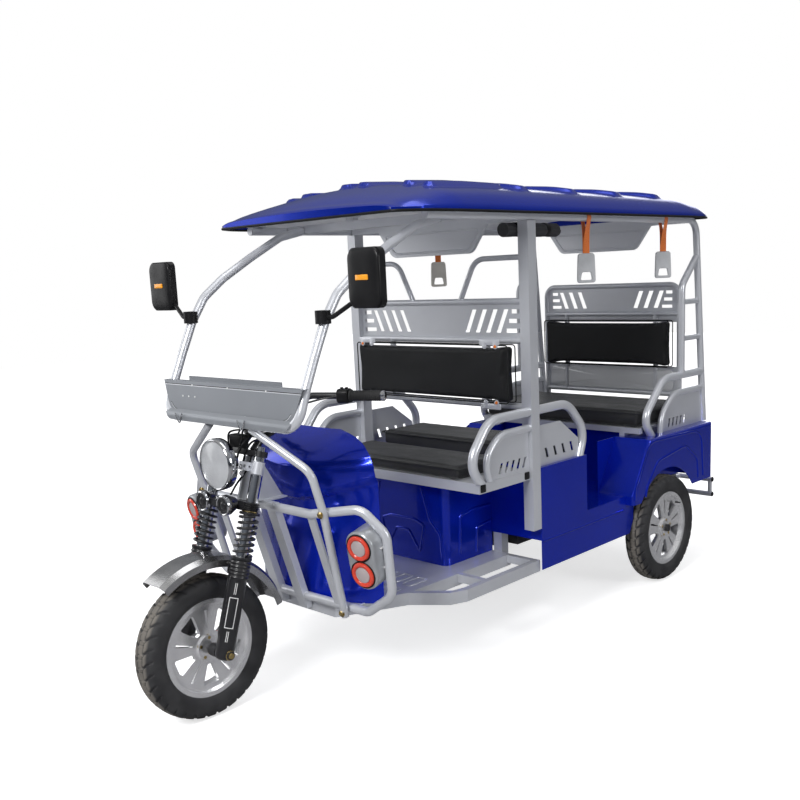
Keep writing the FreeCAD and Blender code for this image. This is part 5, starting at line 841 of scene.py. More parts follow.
BLUE: Colour = (0.003, 0.028, 0.56)
BLUE_DEEP: Colour = (0.002, 0.016, 0.38)
SILVER: Colour = (0.64, 0.655, 0.695)

BLUE_PAINT = Lacquer("blue_paint", BLUE, BLUE_DEEP)
ROOF_PAINT = Lacquer("roof_paint", (0.003, 0.028, 0.42), (0.002, 0.016, 0.28), coat=0.10, under=(0.86, 0.87, 0.88))
SILVER_PAINT = PowderCoat("silver_paint", SILVER)
PANEL_PAINT = PowderCoat("silver_panel_paint", (0.27, 0.285, 0.31), metal=0.4, rough=0.42)
GUARD_STEEL = Plain("rolled_steel", (0.50, 0.50, 0.505), rough=0.22, metal=0.95, texture=240.0, depth=0.0004)
CHROME = Plain("chrome_plate", (0.76, 0.77, 0.79), rough=0.09, metal=1.0, depth=0.00002)
BRASS = Plain("gold_bolt", (0.62, 0.47, 0.20), rough=0.25, metal=1.0, depth=0.00005)
SATIN_BLACK = Plain("satin_black", (0.014, 0.014, 0.016), rough=0.3, coat=0.4)
DARK_STEEL = Plain("dark_steel", (0.035, 0.035, 0.038), rough=0.45, metal=0.3, depth=0.0004, texture=220.0)
BLACK_PLASTIC = Plain("black_plastic", (0.010, 0.010, 0.011), rough=0.36, gloss=0.22, depth=0.0001)
GRIP_RUBBER = Plain("grip_rubber", (0.016, 0.016, 0.017), rough=0.7, depth=0.0003)
SILVER_PLASTIC = Plain("silver_plastic", (0.46, 0.475, 0.50), metal=0.5, rough=0.33, coat=0.4, depth=0.00002)
PALE_PLASTIC = Plain("pale_plastic", (0.47, 0.48, 0.50), rough=0.36, depth=0.0001)
CREAM_PLASTIC = Plain("cream_plastic", (0.72, 0.69, 0.62), rough=0.4, depth=0.0001)
PALE_PANEL = PowderCoat("pale_panel", (0.68, 0.69, 0.71), metal=0.3, rough=0.36)
BATTERY_CASE = Plain("battery_case", (0.03, 0.03, 0.033), rough=0.6, depth=0.0003)
RED_LENS = Plain("red_lens", (0.75, 0.06, 0.03), rough=0.15, coat=0.8, depth=0.0001)
WHITE_LENS = Plain("white_lens", (0.46, 0.40, 0.40), rough=0.2, coat=0.6, texture=260.0, depth=0.0004)
AMBER = Plain("amber_plastic", (0.90, 0.36, 0.02), rough=0.3, coat=0.3)
ORANGE = Plain("orange_plastic", (0.85, 0.22, 0.03), rough=0.35, coat=0.3)
WHITE_MARK = Plain("white_mark", (0.75, 0.75, 0.75), rough=0.4)
MIRROR_GLASS = Plain("mirror_glass", (0.85, 0.86, 0.88), rough=0.02, metal=1.0, depth=0.0)
PALE_LENS = Plain("pale_lens", (0.46, 0.47, 0.49), rough=0.16, coat=0.9, texture=90.0, depth=0.0004)
CLEAR_LENS = Clear("clear_lens")
VINYL = Vinyl("black_vinyl")
# The upright pads get a darker copy of the black vinyl: painted shade on the pads, with a lower gloss.
SHADED_PAD_VINYL = Vinyl("shaded_pad_vinyl", (0.0045, 0.0048, 0.0055), 0.28)
ORANGE_WEBBING = Webbing("orange_webbing", (0.85, 0.20, 0.03))
DARK_CLOTH = Plain("dark_sheet", (0.03, 0.03, 0.034), rough=0.6, texture=400.0, depth=0.0006)


# Pieces


def in_scene(name: str, data: bpy.types.ID) -> bpy.types.Object:
    """Puts an object of a name into the scene with its mesh, camera or lamp."""
    obj = bpy.data.objects.new(name, data)
    bpy.context.scene.collection.objects.link(obj)
    return obj


def add_piece(name: str, shape: Surface, finish: Finish, body: Body, replaces: Sequence[str] = (),
              uv: Array | None = None, crease: float = 38.0) -> bpy.types.Object:
    """Puts a surface into the scene as a piece that rides on a body.

    Args:
        name: the piece's name.
        shape: its surface.
        finish: its finish.
        body: the body it rides on.
        replaces: CAD nodes that it stands for.
        uv: a map coordinate for each vertex, if the finish reads one.
        crease: the angle, in degrees, above which an edge stays sharp.

    Returns:
        The new object.
    """
    mesh = shape.mesh(name)
    shell = bmesh.new()
    shell.from_mesh(mesh)
    bmesh.ops.recalc_face_normals(shell, faces=shell.faces)
    shell.to_mesh(mesh)
    shell.free()
    mesh.polygons.foreach_set("use_smooth", np.ones(len(mesh.polygons), bool))
    mesh.set_sharp_from_angle(angle=math.radians(crease))
    if uv is not None:
        corners = np.empty(len(mesh.loops), np.int32)
        mesh.loops.foreach_get("vertex_index", corners)
        mesh.uv_layers.new(name="map").data.foreach_set("uv", uv[corners].ravel())
    mesh.materials.append(finish.material())
    obj = in_scene(name, mesh)
    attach(obj, body.value)
    if replaces:
        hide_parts(*replaces)
    LOG.info("%s: %d faces", name, len(mesh.polygons))
    return obj


def dress(finish: Finish, *nodes: str) -> None:
    """Gives CAD nodes a finish."""
    for node in nodes:
        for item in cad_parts[node].material_slots:
            item.material = finish.material()


def bolt_head(radius: float, height: float) -> Surface:
    """A hexagonal bolt on a washer, along its own z: rings of six-sided and round sections."""
    t = np.linspace(0, FULL_TURN, 24, endpoint=False)
    side = 1.0 / np.maximum(np.abs(np.cos((t + math.pi / 6) % (math.pi / 3) - math.pi / 6)), 0.5)
    round_ring = np.stack([np.cos(t), np.sin(t)], axis=1)
    six = round_ring * side[:, None] * 0.87
    rows = [(round_ring * 1.45, 0.0), (round_ring * 1.45, 0.16), (round_ring * 1.35, 0.2), (six, 0.2), (six, 0.85),
            (six * 0.88, 1.0)]
    points = np.stack([np.concatenate([ring * radius, np.full((24, 1), level * height)], axis=1)
                       for ring, level in rows])
    return capped(points)


@dataclass
class Wheel:
    """A tyre with its tread, and the trim of its hub."""

    tag: str
    node: str
    body: Body
    centre: tuple[float, float]
    outward: float
    finish: TyreRubber
    radius: float = 0.235
    bead: float = 0.1525
    half_width: float = 0.0465
    tread_depth: float = 0.0062
    lugs: int = 34
    around: int = 884
    across: int = 46
    bolts: int = 5
    bolt_circle: float = 0.034
    bolt_face: float = 0.0245
    valve_face: float = 0.0325
    valve_circle: float = 0.128
    valve_turn: float = 0.9

    def tyre(self) -> Surface:
        """The carcass with its tread cut in.

        The section is a rounded ring: x = w c |c|^-0.28 and r = m + h s |s|^-0.32, with c and s the cosine and
        sine of an angle from bead to bead. The tread lowers r by the groove depth wherever a zigzag groove,
        a slanting lateral groove or a shoulder notch passes.

        Returns:
            The tyre about its own axle.
        """
        t = np.linspace(-0.34 * math.pi, 1.34 * math.pi, self.across)
        middle, half = (self.radius + self.bead) / 2, (self.radius - self.bead) / 2
        c, s = np.cos(t), np.sin(t)
        x = self.half_width * np.sign(c) * np.abs(c) ** 0.72
        r = middle + half * np.sign(s) * np.abs(s) ** 0.68
        u = np.linspace(0, 1, self.around, endpoint=False)
        x, lap = np.meshgrid(x, u * self.lugs)
        r = np.broadcast_to(r, x.shape).copy()
        share = x / self.half_width
        zigzag = np.abs((lap % 1.0) * 2 - 1) - 0.5
        centre_groove = self.notch(np.abs(share) - 0.3 - 0.12 * zigzag * np.sign(share), 0.075)
        slant = (lap + 0.9 * np.abs(share) + 0.25 * np.sign(share)) % 1.0 - 0.5
        lateral = self.notch(slant, 0.13) * (np.abs(share) > 0.3)
        sipe = self.notch((lap * 1.0 - 1.1 * share + 0.35) % 1.0 - 0.5, 0.06) * (np.abs(share) < 0.34) * 0.7
        cut = np.maximum(np.maximum(centre_groove, lateral), sipe)
        crown = np.clip((r - middle - half * 0.38) / (half * 0.3), 0, 1)
        r -= self.tread_depth * cut * crown
        r -= 0.0012 * (1 - crown) * self.notch(r - 0.206, 0.0016)
        angle = u[:, None] * FULL_TURN
        points = np.stack([x, r * np.cos(angle), r * np.sin(angle)], axis=-1)
        return grid(points, wrap_u=True)

    @staticmethod
    def notch(distance: Array, half: float) -> Array:
        """1 inside a groove's half width, falling to 0 over a third of it."""
        return np.clip((half - np.abs(distance)) / (half * 0.35), 0, 1)

    def build(self) -> None:
        """Adds the tyre, the hub's bolts and the valve."""
        x0, y0 = self.centre
        middle, axis = np.array((x0, y0, AXLE_Z)), (self.outward, 0.0, 0.0)
        add_piece(f"{self.tag}_tyre", self.tyre().moved(middle), self.finish, self.body,
                  [self.node], crease=50.0)
        t = np.arange(self.bolts) * FULL_TURN / self.bolts + 0.3
        spots = np.stack([np.full(self.bolts, x0 + self.outward * self.bolt_face),
                          y0 + self.bolt_circle * np.cos(t),
                          AXLE_Z + self.bolt_circle * np.sin(t)], axis=1)
        bolts = scattered(bolt_head(0.0062, 0.009), spots, [axes_for(axis)] * self.bolts)
        add_piece(f"{self.tag}_hub_bolts", bolts, BRASS, self.body)
        root = (x0 + self.outward * self.valve_face, y0 + self.valve_circle * math.cos(self.valve_turn),
                AXLE_Z + self.valve_circle * math.sin(self.valve_turn))
        outline = np.array([(0.0, 0.0), (0.004, 0.0), (0.004, 0.012), (0.0028, 0.013), (0.0028, 0.024),
                            (0.0, 0.0245)])
        add_piece(f"{self.tag}_valve", turned(outline, root, axis, 12), BLACK_PLASTIC, self.body)


@dataclass
class Fork:
    """The front fork: painted lower legs, coil springs over chrome sleeves, collars and marks."""

    offset: float = 0.110
    leg_radius: float = 0.0295
    collar: tuple[float, float] = (0.240, 0.297)
    coil_span: tuple[float, float] = (0.3095, 0.4385)
    turns: float = 7.0
    coil_radius: float = 0.0292
    wire: float = 0.0042
    sleeve: float = 0.0192
    seat: float = 0.0332
    tube_radius: float = 0.0152
    bevel: float = 0.001

    def _on_leg(self, shape: Surface, rise: float = 0.0, reach: float = 0.0) -> Surface:
        """A shape whose own x runs up the fork and y forward, set on the left leg."""
        axes = np.stack([UP_FORK, -REAR_OF_FORK, ACROSS])
        return shape.turned(axes).moved(fork_point(self.offset, rise, reach))

    def leg(self) -> Surface:
        """A turned leg: a rounded foot, a plain barrel and a ribbed collar, r = c + 0.0013 sin(10 pi h)."""
        share = np.linspace(0, 1, 41)
        rise = self.collar[0] + (self.collar[1] - self.collar[0]) * share
        ribs = np.stack([self.leg_radius + 0.0026 + 0.0013 * np.sin(10 * math.pi * share), rise], axis=1)
        foot = [(0.0, -0.022), (0.014, -0.0212), (0.0235, -0.0165), (self.leg_radius, -0.004),
                (self.leg_radius, 0.100)]
        crown = [(0.027, 0.2995), (0.0, 0.3)]
        profile = np.concatenate([foot, [(self.leg_radius, self.collar[0] - 0.003)], ribs, crown])
        return turned(profile, fork_point(self.offset, 0.0), UP_FORK, 40)

    def fin(self) -> Surface:
        """The cast web ahead of a leg, with four slanted louvres on its outer side."""
        outline = np.array([(0.028, 0.0), (0.250, 0.0), (0.250, 0.030), (0.238, 0.036), (0.062, 0.036),
                            (0.036, 0.028)])
        web = self._on_leg(slab(outline, 0.012, 0.0022))
        rise = 0.118 + 0.017 * np.arange(4)
        tilt = math.radians(24.0)
        axes = np.stack([UP_FORK * math.cos(tilt) - REAR_OF_FORK * math.sin(tilt),
                         -REAR_OF_FORK * math.cos(tilt) - UP_FORK * math.sin(tilt), ACROSS])
        spots = np.stack([fork_point(self.offset + 0.0062, level, -0.0295) for level in rise])
        louvre = slab(rounded_outline(0.0065, 0.011, 0.002, 3), 0.003, 0.001)
        return joined([web, scattered(louvre, spots, [axes] * len(rise))])

    def coil(self) -> Surface:
        """The spring's wire along a helix: the fork's axis at a rising height plus R (cos a, sin a)."""
        t = np.linspace(0, 1, int(self.turns * 26) + 1)
        angle = FULL_TURN * self.turns * t
        rise = self.coil_span[0] + (self.coil_span[1] - self.coil_span[0]) * t
        ring = np.cos(angle)[:, None] * ACROSS + np.sin(angle)[:, None] * REAR_OF_FORK
        path = fork_point(self.offset, 0.0) + rise[:, None] * UP_FORK + self.coil_radius * ring
        return carried(circle(self.wire, 8), path, UP_FORK)

    def hoop(self, inner: float, outer: float, low: float, high: float) -> Surface:
        """A collar round the left leg's axis between two rises, its outer rims bevelled."""
        rim = outer - self.bevel
        profile = [(inner, low), (rim, low), (outer, low + self.bevel), (outer, high - self.bevel), (rim, high),
                   (inner, high)]
        return ringed(profile, fork_point(self.offset, 0.0), UP_FORK, 36)

    def mark(self, turn: tuple[float, float], rise: tuple[float, float]) -> Surface:
        """A thin painted patch on the leg between two angles from straight ahead and two rises."""
        angle = np.radians(np.linspace(turn[0], turn[1], 2 + int(abs(turn[1] - turn[0]) / 4)))[:, None, None]
        level = np.linspace(rise[0], rise[1], 2)[None, :, None]
        ring = np.sin(angle) * ACROSS - np.cos(angle) * REAR_OF_FORK
        return thickened(fork_point(self.offset, 0.0) + level * UP_FORK + (self.leg_radius + 0.0004) * ring, 0.0005)

    def marks(self) -> Surface:
        """A long box outline on each leg with two short lines above and below it."""
        left, right, line = 22.0, 78.0, 4.2
        low, high, edge = 0.083, 0.180, 0.0022
        parts = [self.mark((left, left + line), (low, high)), self.mark((right - line, right), (low, high)),
                 self.mark((left, right), (low, low + edge)), self.mark((left, right), (high - edge, high))]
        for span in ((0.190, 0.226), (0.040, 0.073)):
            parts += [self.mark((turn, turn + 3.4), span) for turn in (44.0, 54.0)]
        return joined(parts)

    def bracket(self) -> Surface:
        """The bent strap from the mudguard's lip to a leg."""
        path = [fork_point(0.061, 0.276), fork_point(0.061, 0.252), fork_point(0.070, 0.246),
                fork_point(0.086, 0.247)]
        return carried(rounded_outline(0.003, 0.020, 0.001, 2), smooth_path(path, 6), REAR_OF_FORK)

    def build(self) -> None:
        """Adds the fork's pieces to the steering."""
        body = Body.STEERING
        legs = joined([self.leg(), self.fin()]).with_mirror()
        add_piece("fork_lower_legs", legs, SATIN_BLACK, body, ["fork_legs"])
        springs = joined([self.coil(), self.hoop(self.sleeve, self.seat, 0.2985, 0.307),
                          self.hoop(self.sleeve, self.seat, 0.441, 0.449)])
        add_piece("fork_coils", springs.with_mirror(), SATIN_BLACK, body, ["fork_springs"])
        spans = ((self.sleeve, 0.300, 0.4505), (0.0196, 0.4805, 0.5700), (0.0196, 0.6132, 0.6270))
        sleeves = [self.hoop(self.tube_radius, *span) for span in spans]
        add_piece("fork_sleeves", joined(sleeves).with_mirror(), CHROME, body)
        add_piece("fork_gold_rings", self.hoop(0.0150, 0.0264, 0.4494, 0.4540).with_mirror(), BRASS, body)
        ribs = joined([self.hoop(0.0200, 0.0262, 0.4565 + 0.0058 * k, 0.4600 + 0.0058 * k) for k in range(4)])
        add_piece("yoke_ribs", ribs.with_mirror(), BLACK_PLASTIC, body)
        add_piece("fork_marks", self.marks().with_mirror(), WHITE_MARK, body)
        add_piece("mudguard_brackets", self.bracket().with_mirror(), SATIN_BLACK, body)
        nut = bolt_head(0.011, 0.011).turned(axes_for(ACROSS)).moved(place(0.1405, 0.0, AXLE_Z))
        add_piece("front_axle_nuts", nut.with_mirror(), BRASS, body)


@dataclass
class Headlamp:
    """The round headlamp's plated bezel and ribbed lens, and the two small lamps below it."""

    front: float = 0.098
    height: float = 0.812
    lens_radius: float = 0.0747
    bulge: float = 0.0118
    small_offset: float = 0.058
    small_back: float = 0.074
    small_height: float = 0.690

    def lens(self) -> Surface:
        """A domed disc, h = -b (1 - (r/R)2), with fine ridges of 0.0004 sin(1900 r)."""
        r = np.linspace(0, self.lens_radius, 76)
        ridges = 0.0004 * np.sin(r * 1900.0) * np.minimum(1.0, r / 0.01)
        h = -self.bulge * (1 - (r / self.lens_radius) ** 2) + ridges
        profile = np.concatenate([np.stack([r, h], axis=1), [(self.lens_radius, 0.006), (0.0, 0.0065)]])
        return turned(profile, place(0.0, self.front, self.height), REARWARD, 72)

    def bezel(self) -> Surface:
        """The plated rim: a rolled lip round the lens and a short skirt behind it."""
        profile = [(0.0747, 0.004), (0.0750, -0.001), (0.0768, -0.0042), (0.0796, -0.005), (0.0824, -0.0032),
                   (0.0842, 0.001), (0.0846, 0.008), (0.0838, 0.020), (0.0828, 0.028), (0.0820, 0.028),
                   (0.0820, 0.009)]
        return ringed(profile, place(0.0, self.front, self.height), REARWARD, 72)

    def build(self) -> None:
        """Adds the lamp pieces to the steering."""
        body = Body.STEERING
        add_piece("headlamp_front_lens", self.lens(), PALE_LENS, body, ["headlamp_lens"], crease=60.0)
        add_piece("headlamp_bezel", self.bezel(), CHROME, body)
        origin = place(self.small_offset, self.small_back, self.small_height)
        rim = [(0.0258, 0.003), (0.0268, -0.0015), (0.0298, -0.0032), (0.0330, -0.001), (0.0338, 0.004),
               (0.0334, 0.010), (0.0328, 0.010)]
        add_piece("small_lamp_rings", ringed(rim, origin, REARWARD, 40).with_mirror(), CHROME, body)
        face = np.array([(0.0, -0.004), (0.007, -0.0032), (0.0125, -0.0005), (0.0135, 0.002), (0.0175, 0.002),
                         (0.0185, -0.0002), (0.0215, -0.0002), (0.0225, 0.002), (0.0262, 0.0015), (0.0262, 0.006),
                         (0.0, 0.006)])
        add_piece("small_lamp_faces", turned(face, origin, REARWARD, 36).with_mirror(), SATIN_BLACK, body)
        bolt = bolt_head(0.0065, 0.006).turned(FACING_FRONT)
        bolts = [bolt.moved(place(0.105, 0.1225, z)) for z in (0.792, 0.812)]
        add_piece("headlamp_ear_bolts", joined(bolts).with_mirror(), CHROME, body)


@dataclass
class LampPods:
    """The stacked round lamps on the guard's outer loops."""

    centre: Point = (0.446, 0.296, 0.520)
    lean: float = 10.0
    yaw: float = 9.0
    rise: float = 0.045

    def axes(self) -> Array:
        """Rows across, up and out of the left pod's face."""
        lean, yaw = math.radians(90.0 + self.lean), math.radians(self.yaw)
        out = np.array((0.0, -math.sin(lean), math.cos(lean)))
        out = np.array((-out[1] * math.sin(yaw), out[1] * math.cos(yaw), out[2]))
        return axes_for(out, UPWARD)

    def build(self) -> None:
        """Adds gaskets, lens rings, lens centres and marker bars to both pods."""
        axes = self.axes()
        middle = place(*self.centre)
        origins = [middle + axes[1] * side * self.rise for side in (1, -1)]
        gasket = [(0.0425, -0.004), (0.0425, 0.002), (0.0440, 0.0035), (0.0462, 0.002), (0.0465, -0.004)]
        ring = [(0.0262, -0.003), (0.0262, 0.002), (0.0285, 0.0062), (0.0330, 0.0086), (0.0380, 0.0078),
                (0.0412, 0.004), (0.0426, -0.001), (0.0426, -0.003)]
        r = np.linspace(0, 0.0262, 24)
        flutes = 0.00035 * np.sin(r * 2100.0) * np.minimum(1.0, r / 0.004)
        dome = np.stack([r, 0.0075 - 4.2 * r**2 + flutes], axis=1)
        dome = np.concatenate([dome, [(0.0262, -0.003), (0.0, -0.003)]])
        body = Body.CHASSIS
        gaskets = joined([ringed(gasket, origin, axes[2]) for origin in origins]).with_mirror()
        add_piece("pod_gaskets", gaskets, BLACK_PLASTIC, body)
        rings = joined([ringed(ring, origin, axes[2]) for origin in origins]).with_mirror()
        add_piece("pod_lens_rings", rings, RED_LENS, body, ["pod_lamps"])
        domes = joined([turned(dome, origin, axes[2], 40) for origin in origins]).with_mirror()
        add_piece("pod_lens_centres", domes, WHITE_LENS, body, crease=60.0)
        bar = slab(rounded_outline(0.026, 0.0065, 0.003, 4), 0.003, 0.001)
        bar = bar.turned(np.stack([-axes[2], axes[1], axes[0]]))
        bars = [bar.moved(middle + axes[0] * 0.0543 + axes[1] * rise - axes[2] * 0.050) for rise in (0.034, -0.031)]
        add_piece("pod_marker_bars", joined(bars).with_mirror(), WHITE_MARK, body)


@dataclass
class Mirrors:
    """The mirrors' moulded backs, reflector plates and glass."""

    offset: float = 0.534
    back: float = 0.303
    height: float = 1.378
    size: tuple[float, float] = (0.130, 0.170)

    def shell(self) -> Surface:
        """A domed back: the outline's rings shrink by a share as they stand further forward."""
        outline = rounded_outline(self.size[0], self.size[1], 0.030, 8)
        share = np.array([1.0, 1.0, 0.985, 0.95, 0.88, 0.75, 0.55, 0.3])
        depth = np.array([0.0, 0.006, 0.0085, 0.0105, 0.0122, 0.0136, 0.0145, 0.015])
        rings = outline[None] * share[:, None, None]
        points = np.concatenate([rings, np.broadcast_to(depth[:, None, None], rings.shape[:2] + (1,))], axis=2)
        return capped(points).turned(FACING_FRONT).moved(place(self.offset, self.back - 0.008, self.height))

    def build(self) -> None:
        """Adds both mirrors' pieces to the chassis."""
        add_piece("mirror_backs", self.shell().with_mirror(), BLACK_PLASTIC, Body.CHASSIS)
        plate = slab(rounded_outline(0.052, 0.015, 0.002, 3), 0.003, 0.001).turned(FACING_FRONT)
        plate = plate.moved(place(self.offset, self.back - 0.0235, self.height + 0.002))
        add_piece("mirror_reflectors", plate.with_mirror(), AMBER, Body.CHASSIS)
        outline = rounded_outline(self.size[0] - 0.014, self.size[1] - 0.014, 0.026, 8)
        glass = slab(outline, 0.002, 0.0006).turned(FACING_FRONT)
        glass = glass.moved(place(self.offset, self.back + 0.0107, self.height))
        add_piece("mirror_plastic", glass.with_mirror(), MIRROR_GLASS, Body.CHASSIS)


@dataclass
class Controls:
    """Grips, switch housings and cables on the handlebar."""

    inner: Point = (0.140, 0.379, 1.008)
    outer: Point = (0.377, 0.487, 1.008)
    grip_length: float = 0.118
    grip_radius: float = 0.0168

    def build(self) -> None:
        """Adds the controls to the steering."""
        start, end = place(*self.inner), place(*self.outer)
        along = unit(end - start)
        ahead = np.cross(UPWARD, along) * -1.0
        ahead = ahead if ahead[1] < 0 else -ahead
        root = end - along * (self.grip_length - 0.010)
        share = np.linspace(0, 1, 61)
        radius = self.grip_radius + 0.0007 * np.sin(share * 30 * math.pi)
        body_rows = np.stack([radius, 0.007 + (self.grip_length - 0.019) * share], axis=1)
        profile = np.concatenate([[(0.0, 0.0), (0.0205, 0.0), (0.0215, 0.0015), (0.0205, 0.005)], body_rows,
                                  [(0.0155, self.grip_length - 0.0105), (0.0, self.grip_length - 0.0100)]])
        grip = turned(profile, root, along, 28)
        add_piece("handle_grips", grip.with_mirror(), GRIP_RUBBER, Body.STEERING, ["grips"])
        cap = np.array([(0.0, -0.004), (0.0160, -0.004), (0.0170, -0.002), (0.0170, 0.004), (0.0140, 0.0075),
                        (0.0, 0.0085)])
        cap = turned(cap, end + along * 0.0045, along, 28)
        add_piece("handle_end_caps", cap.with_mirror(), CHROME, Body.STEERING)
        outline = rounded_outline(0.050, 0.046, 0.014, 5)
        case = slab(outline, 0.038, 0.004).turned(np.stack([ahead, UPWARD, -along])).moved(root - along * 0.021)
        knob = np.array([(0.0, -0.002), (0.005, -0.002), (0.005, 0.004), (0.0042, 0.005), (0.0, 0.0052)])
        lift = np.array((0.0, 0.0, 0.0225))
        knobs = [turned(knob, root - along * (0.021 + step) + lift, UPWARD, 16) for step in (-0.009, 0.008)]
        switches = joined([case] + knobs).with_mirror()
        add_piece("switch_housings", switches, BLACK_PLASTIC, Body.STEERING)
        run = [root - along * 0.036 + ahead * 0.010, root - along * 0.110 + ahead * 0.030 - np.array((0, 0, 0.012)),
               place(0.070, 0.300, 0.955), place(0.040, 0.235, 0.905), place(0.030, 0.190, 0.860)]
        cable = tube(run, 0.0032, UPWARD, 8, 10)
        add_piece("control_cables", cable.with_mirror(), BLACK_PLASTIC, Body.STEERING)
        runs = [((0.052, 0.262, 0.902), (0.070, 0.215, 0.905), (0.052, 0.178, 0.875), (0.030, 0.165, 0.835)),
                ((-0.046, 0.262, 0.900), (-0.058, 0.205, 0.898), (-0.030, 0.176, 0.868), (-0.012, 0.168, 0.830)),
                ((0.016, 0.268, 0.905), (0.022, 0.205, 0.915), (0.034, 0.182, 0.880), (0.008, 0.170, 0.800)),
                ((0.078, 0.224, 0.862), (0.084, 0.185, 0.842), (0.070, 0.172, 0.795), (0.036, 0.150, 0.745),
                 (0.040, 0.120, 0.715)),
                ((-0.070, 0.222, 0.862), (-0.078, 0.180, 0.830), (-0.060, 0.170, 0.780), (-0.034, 0.150, 0.742),
                 (-0.040, 0.120, 0.715)),
                ((0.060, 0.240, 0.880), (0.090, 0.180, 0.880), (0.066, 0.174, 0.850), (0.050, 0.168, 0.810))]
        loom = joined([tube([place(*spot) for spot in run], 0.0034, (0.3, 0.2, 1.0), 8, 10) for run in runs])
        add_piece("lamp_cables", loom, BLACK_PLASTIC, Body.STEERING)
        holder = slab(rounded_outline(0.070, 0.050, 0.008, 4), 0.028, 0.004).turned(FACING_FRONT)
        add_piece("switch_block", holder.moved(place(0.0, 0.196, 0.872)), BLACK_PLASTIC, Body.STEERING)


@dataclass
class Dash:
    """Pressed lines with painted highlights under them, rivets and small hooks of the front panel."""

    low: float = 0.9573
    rise: float = 0.105
    front: float = 0.1567
    lean: float = 0.013

    def on(self, x: float, z: float, proud: float = 0.0) -> Array:
        """A point on the panel's leaning front face."""
        return place(x, self.front + self.lean * (z - self.low) / self.rise - proud, z)

    def build(self) -> None:
        """Adds the panel's trim to the chassis."""
        out = unit(np.array((0.0, -self.rise, self.lean)))
        corners = [(0.324, 0.990), (0.306, 0.972), (0.285, 0.9655)]
        lower = [self.on(-x, z) for x, z in corners] + [self.on(x, z) for x, z in corners[::-1]]
        upper = [self.on(-0.366, 1.0505), self.on(0.366, 1.0505)]
        lines = joined([bead(lower, out, 0.0012, 0.0007), bead(upper, out, 0.0012, 0.0007)])
        add_piece("panel_creases", lines, DARK_STEEL, Body.CHASSIS)
        # Beads of the brighter silver paint just under each crease: a painted highlight on the creases' lower edges.
        drop = np.array((0, 0, 0.0028))
        crease_highlights = joined([bead([spot - drop for spot in row], out, 0.0016, 0.0011) for row in (lower, upper)])
        add_piece("panel_crease_painted_highlights", crease_highlights, SILVER_PAINT, Body.CHASSIS)
        axes = axes_for(out, UPWARD)
        tab = slab(rounded_outline(0.0060, 0.0042, 0.001, 2), 0.0016, 0.0004)
        spots = [self.on(x, 0.9655, 0.0006) for x in (-0.2925, -0.0975, 0.0975, 0.2925)]
        spots += [self.on(x, 1.0505, 0.0006) for x in (-0.200, 0.0, 0.200)]
        tabs = scattered(tab, np.array(spots), [axes] * len(spots))
        add_piece("panel_tabs", tabs, WHITE_MARK, Body.CHASSIS)
        rivet = np.array([(0.0, -0.001), (0.0032, -0.001), (0.0030, 0.0006), (0.0018, 0.0013), (0.0, 0.0015)])
        rivet = turned(rivet, (0, 0, 0), UPWARD, 14)
        spots = np.array([self.on(x, 1.012) for x in (-0.254, -0.219, -0.183)])
        add_piece("panel_rivets", scattered(rivet, spots, [axes] * 3), WHITE_MARK, Body.CHASSIS)
        hook = [(-0.020, 0.1370, 0.9560), (-0.012, 0.1350, 0.9440), (0.0, 0.1370, 0.9240), (0.016, 0.1340, 0.9440),
                (0.021, 0.1370, 0.9580)]
        hooks = [tube([place(x + step, back, z) for step, back, z in hook], 0.0024, REARWARD, 8, 6)
                 for x in (-0.248, 0.102)]
        add_piece("panel_hooks", joined(hooks), CHROME, Body.CHASSIS)
        across = np.linspace(-0.336, 0.336, 57)[None]
        low = 0.9330 + 0.022 * np.clip((np.abs(across) - 0.302) / 0.034, 0, 1) ** 2
        z = low + (0.9665 - low) * np.linspace(0, 1, 14)[:, None]
        back = np.interp(z, (0.9330, 0.9480, 0.9560, 0.9665), (0.1400, 0.1408, 0.1450, 0.1568))
        apron = np.stack([np.broadcast_to(across, z.shape), FRONT_AXLE_Y + back, z], axis=-1)
        add_piece("panel_apron", thickened(apron, 0.0016), PANEL_PAINT, Body.CHASSIS)
        relay = slab(rounded_outline(0.200, 0.050, 0.006, 4), 0.030, 0.004).moved(place(0.0, 0.188, 0.9400))
        add_piece("relay_box", relay, BLACK_PLASTIC, Body.CHASSIS)


@dataclass
class GuardTrim:
    """Bolts through the guard, and plugs in the ends of the seat tray's bars and the bumper's."""

    def build(self) -> None:
        """Adds the bolts and plugs to the chassis."""
        bolt = bolt_head(0.0085, 0.008).turned(FACING_FRONT)
        spots = [(0.322, 0.2495, 0.660), (0.2995, 0.3330, 0.310)]
        bolts = joined([bolt.moved(place(*spot)) for spot in spots]).with_mirror()
        add_piece("guard_bolts", bolts, BRASS, Body.CHASSIS)
        plug = slab(rounded_outline(0.028, 0.028, 0.004, 3), 0.004, 0.001).turned(FACING_LEFT)
        plugs = [plug.moved(place(0.4552, back, 0.638)) for back in (0.8790, 1.1310)]
        add_piece("tray_plugs", joined(plugs).with_mirror(), BLACK_PLASTIC, Body.CHASSIS)
        cap = np.array([(0.0, -0.002), (0.0118, -0.002), (0.0118, 0.0014), (0.0095, 0.0030), (0.0, 0.0034)])
        caps = [turned(cap, place(0.4705, 2.565, z), LEFTWARD, 24) for z in (0.286, 0.358)]
        add_piece("bumper_caps", joined(caps).with_mirror(), BLACK_PLASTIC, Body.CHASSIS)


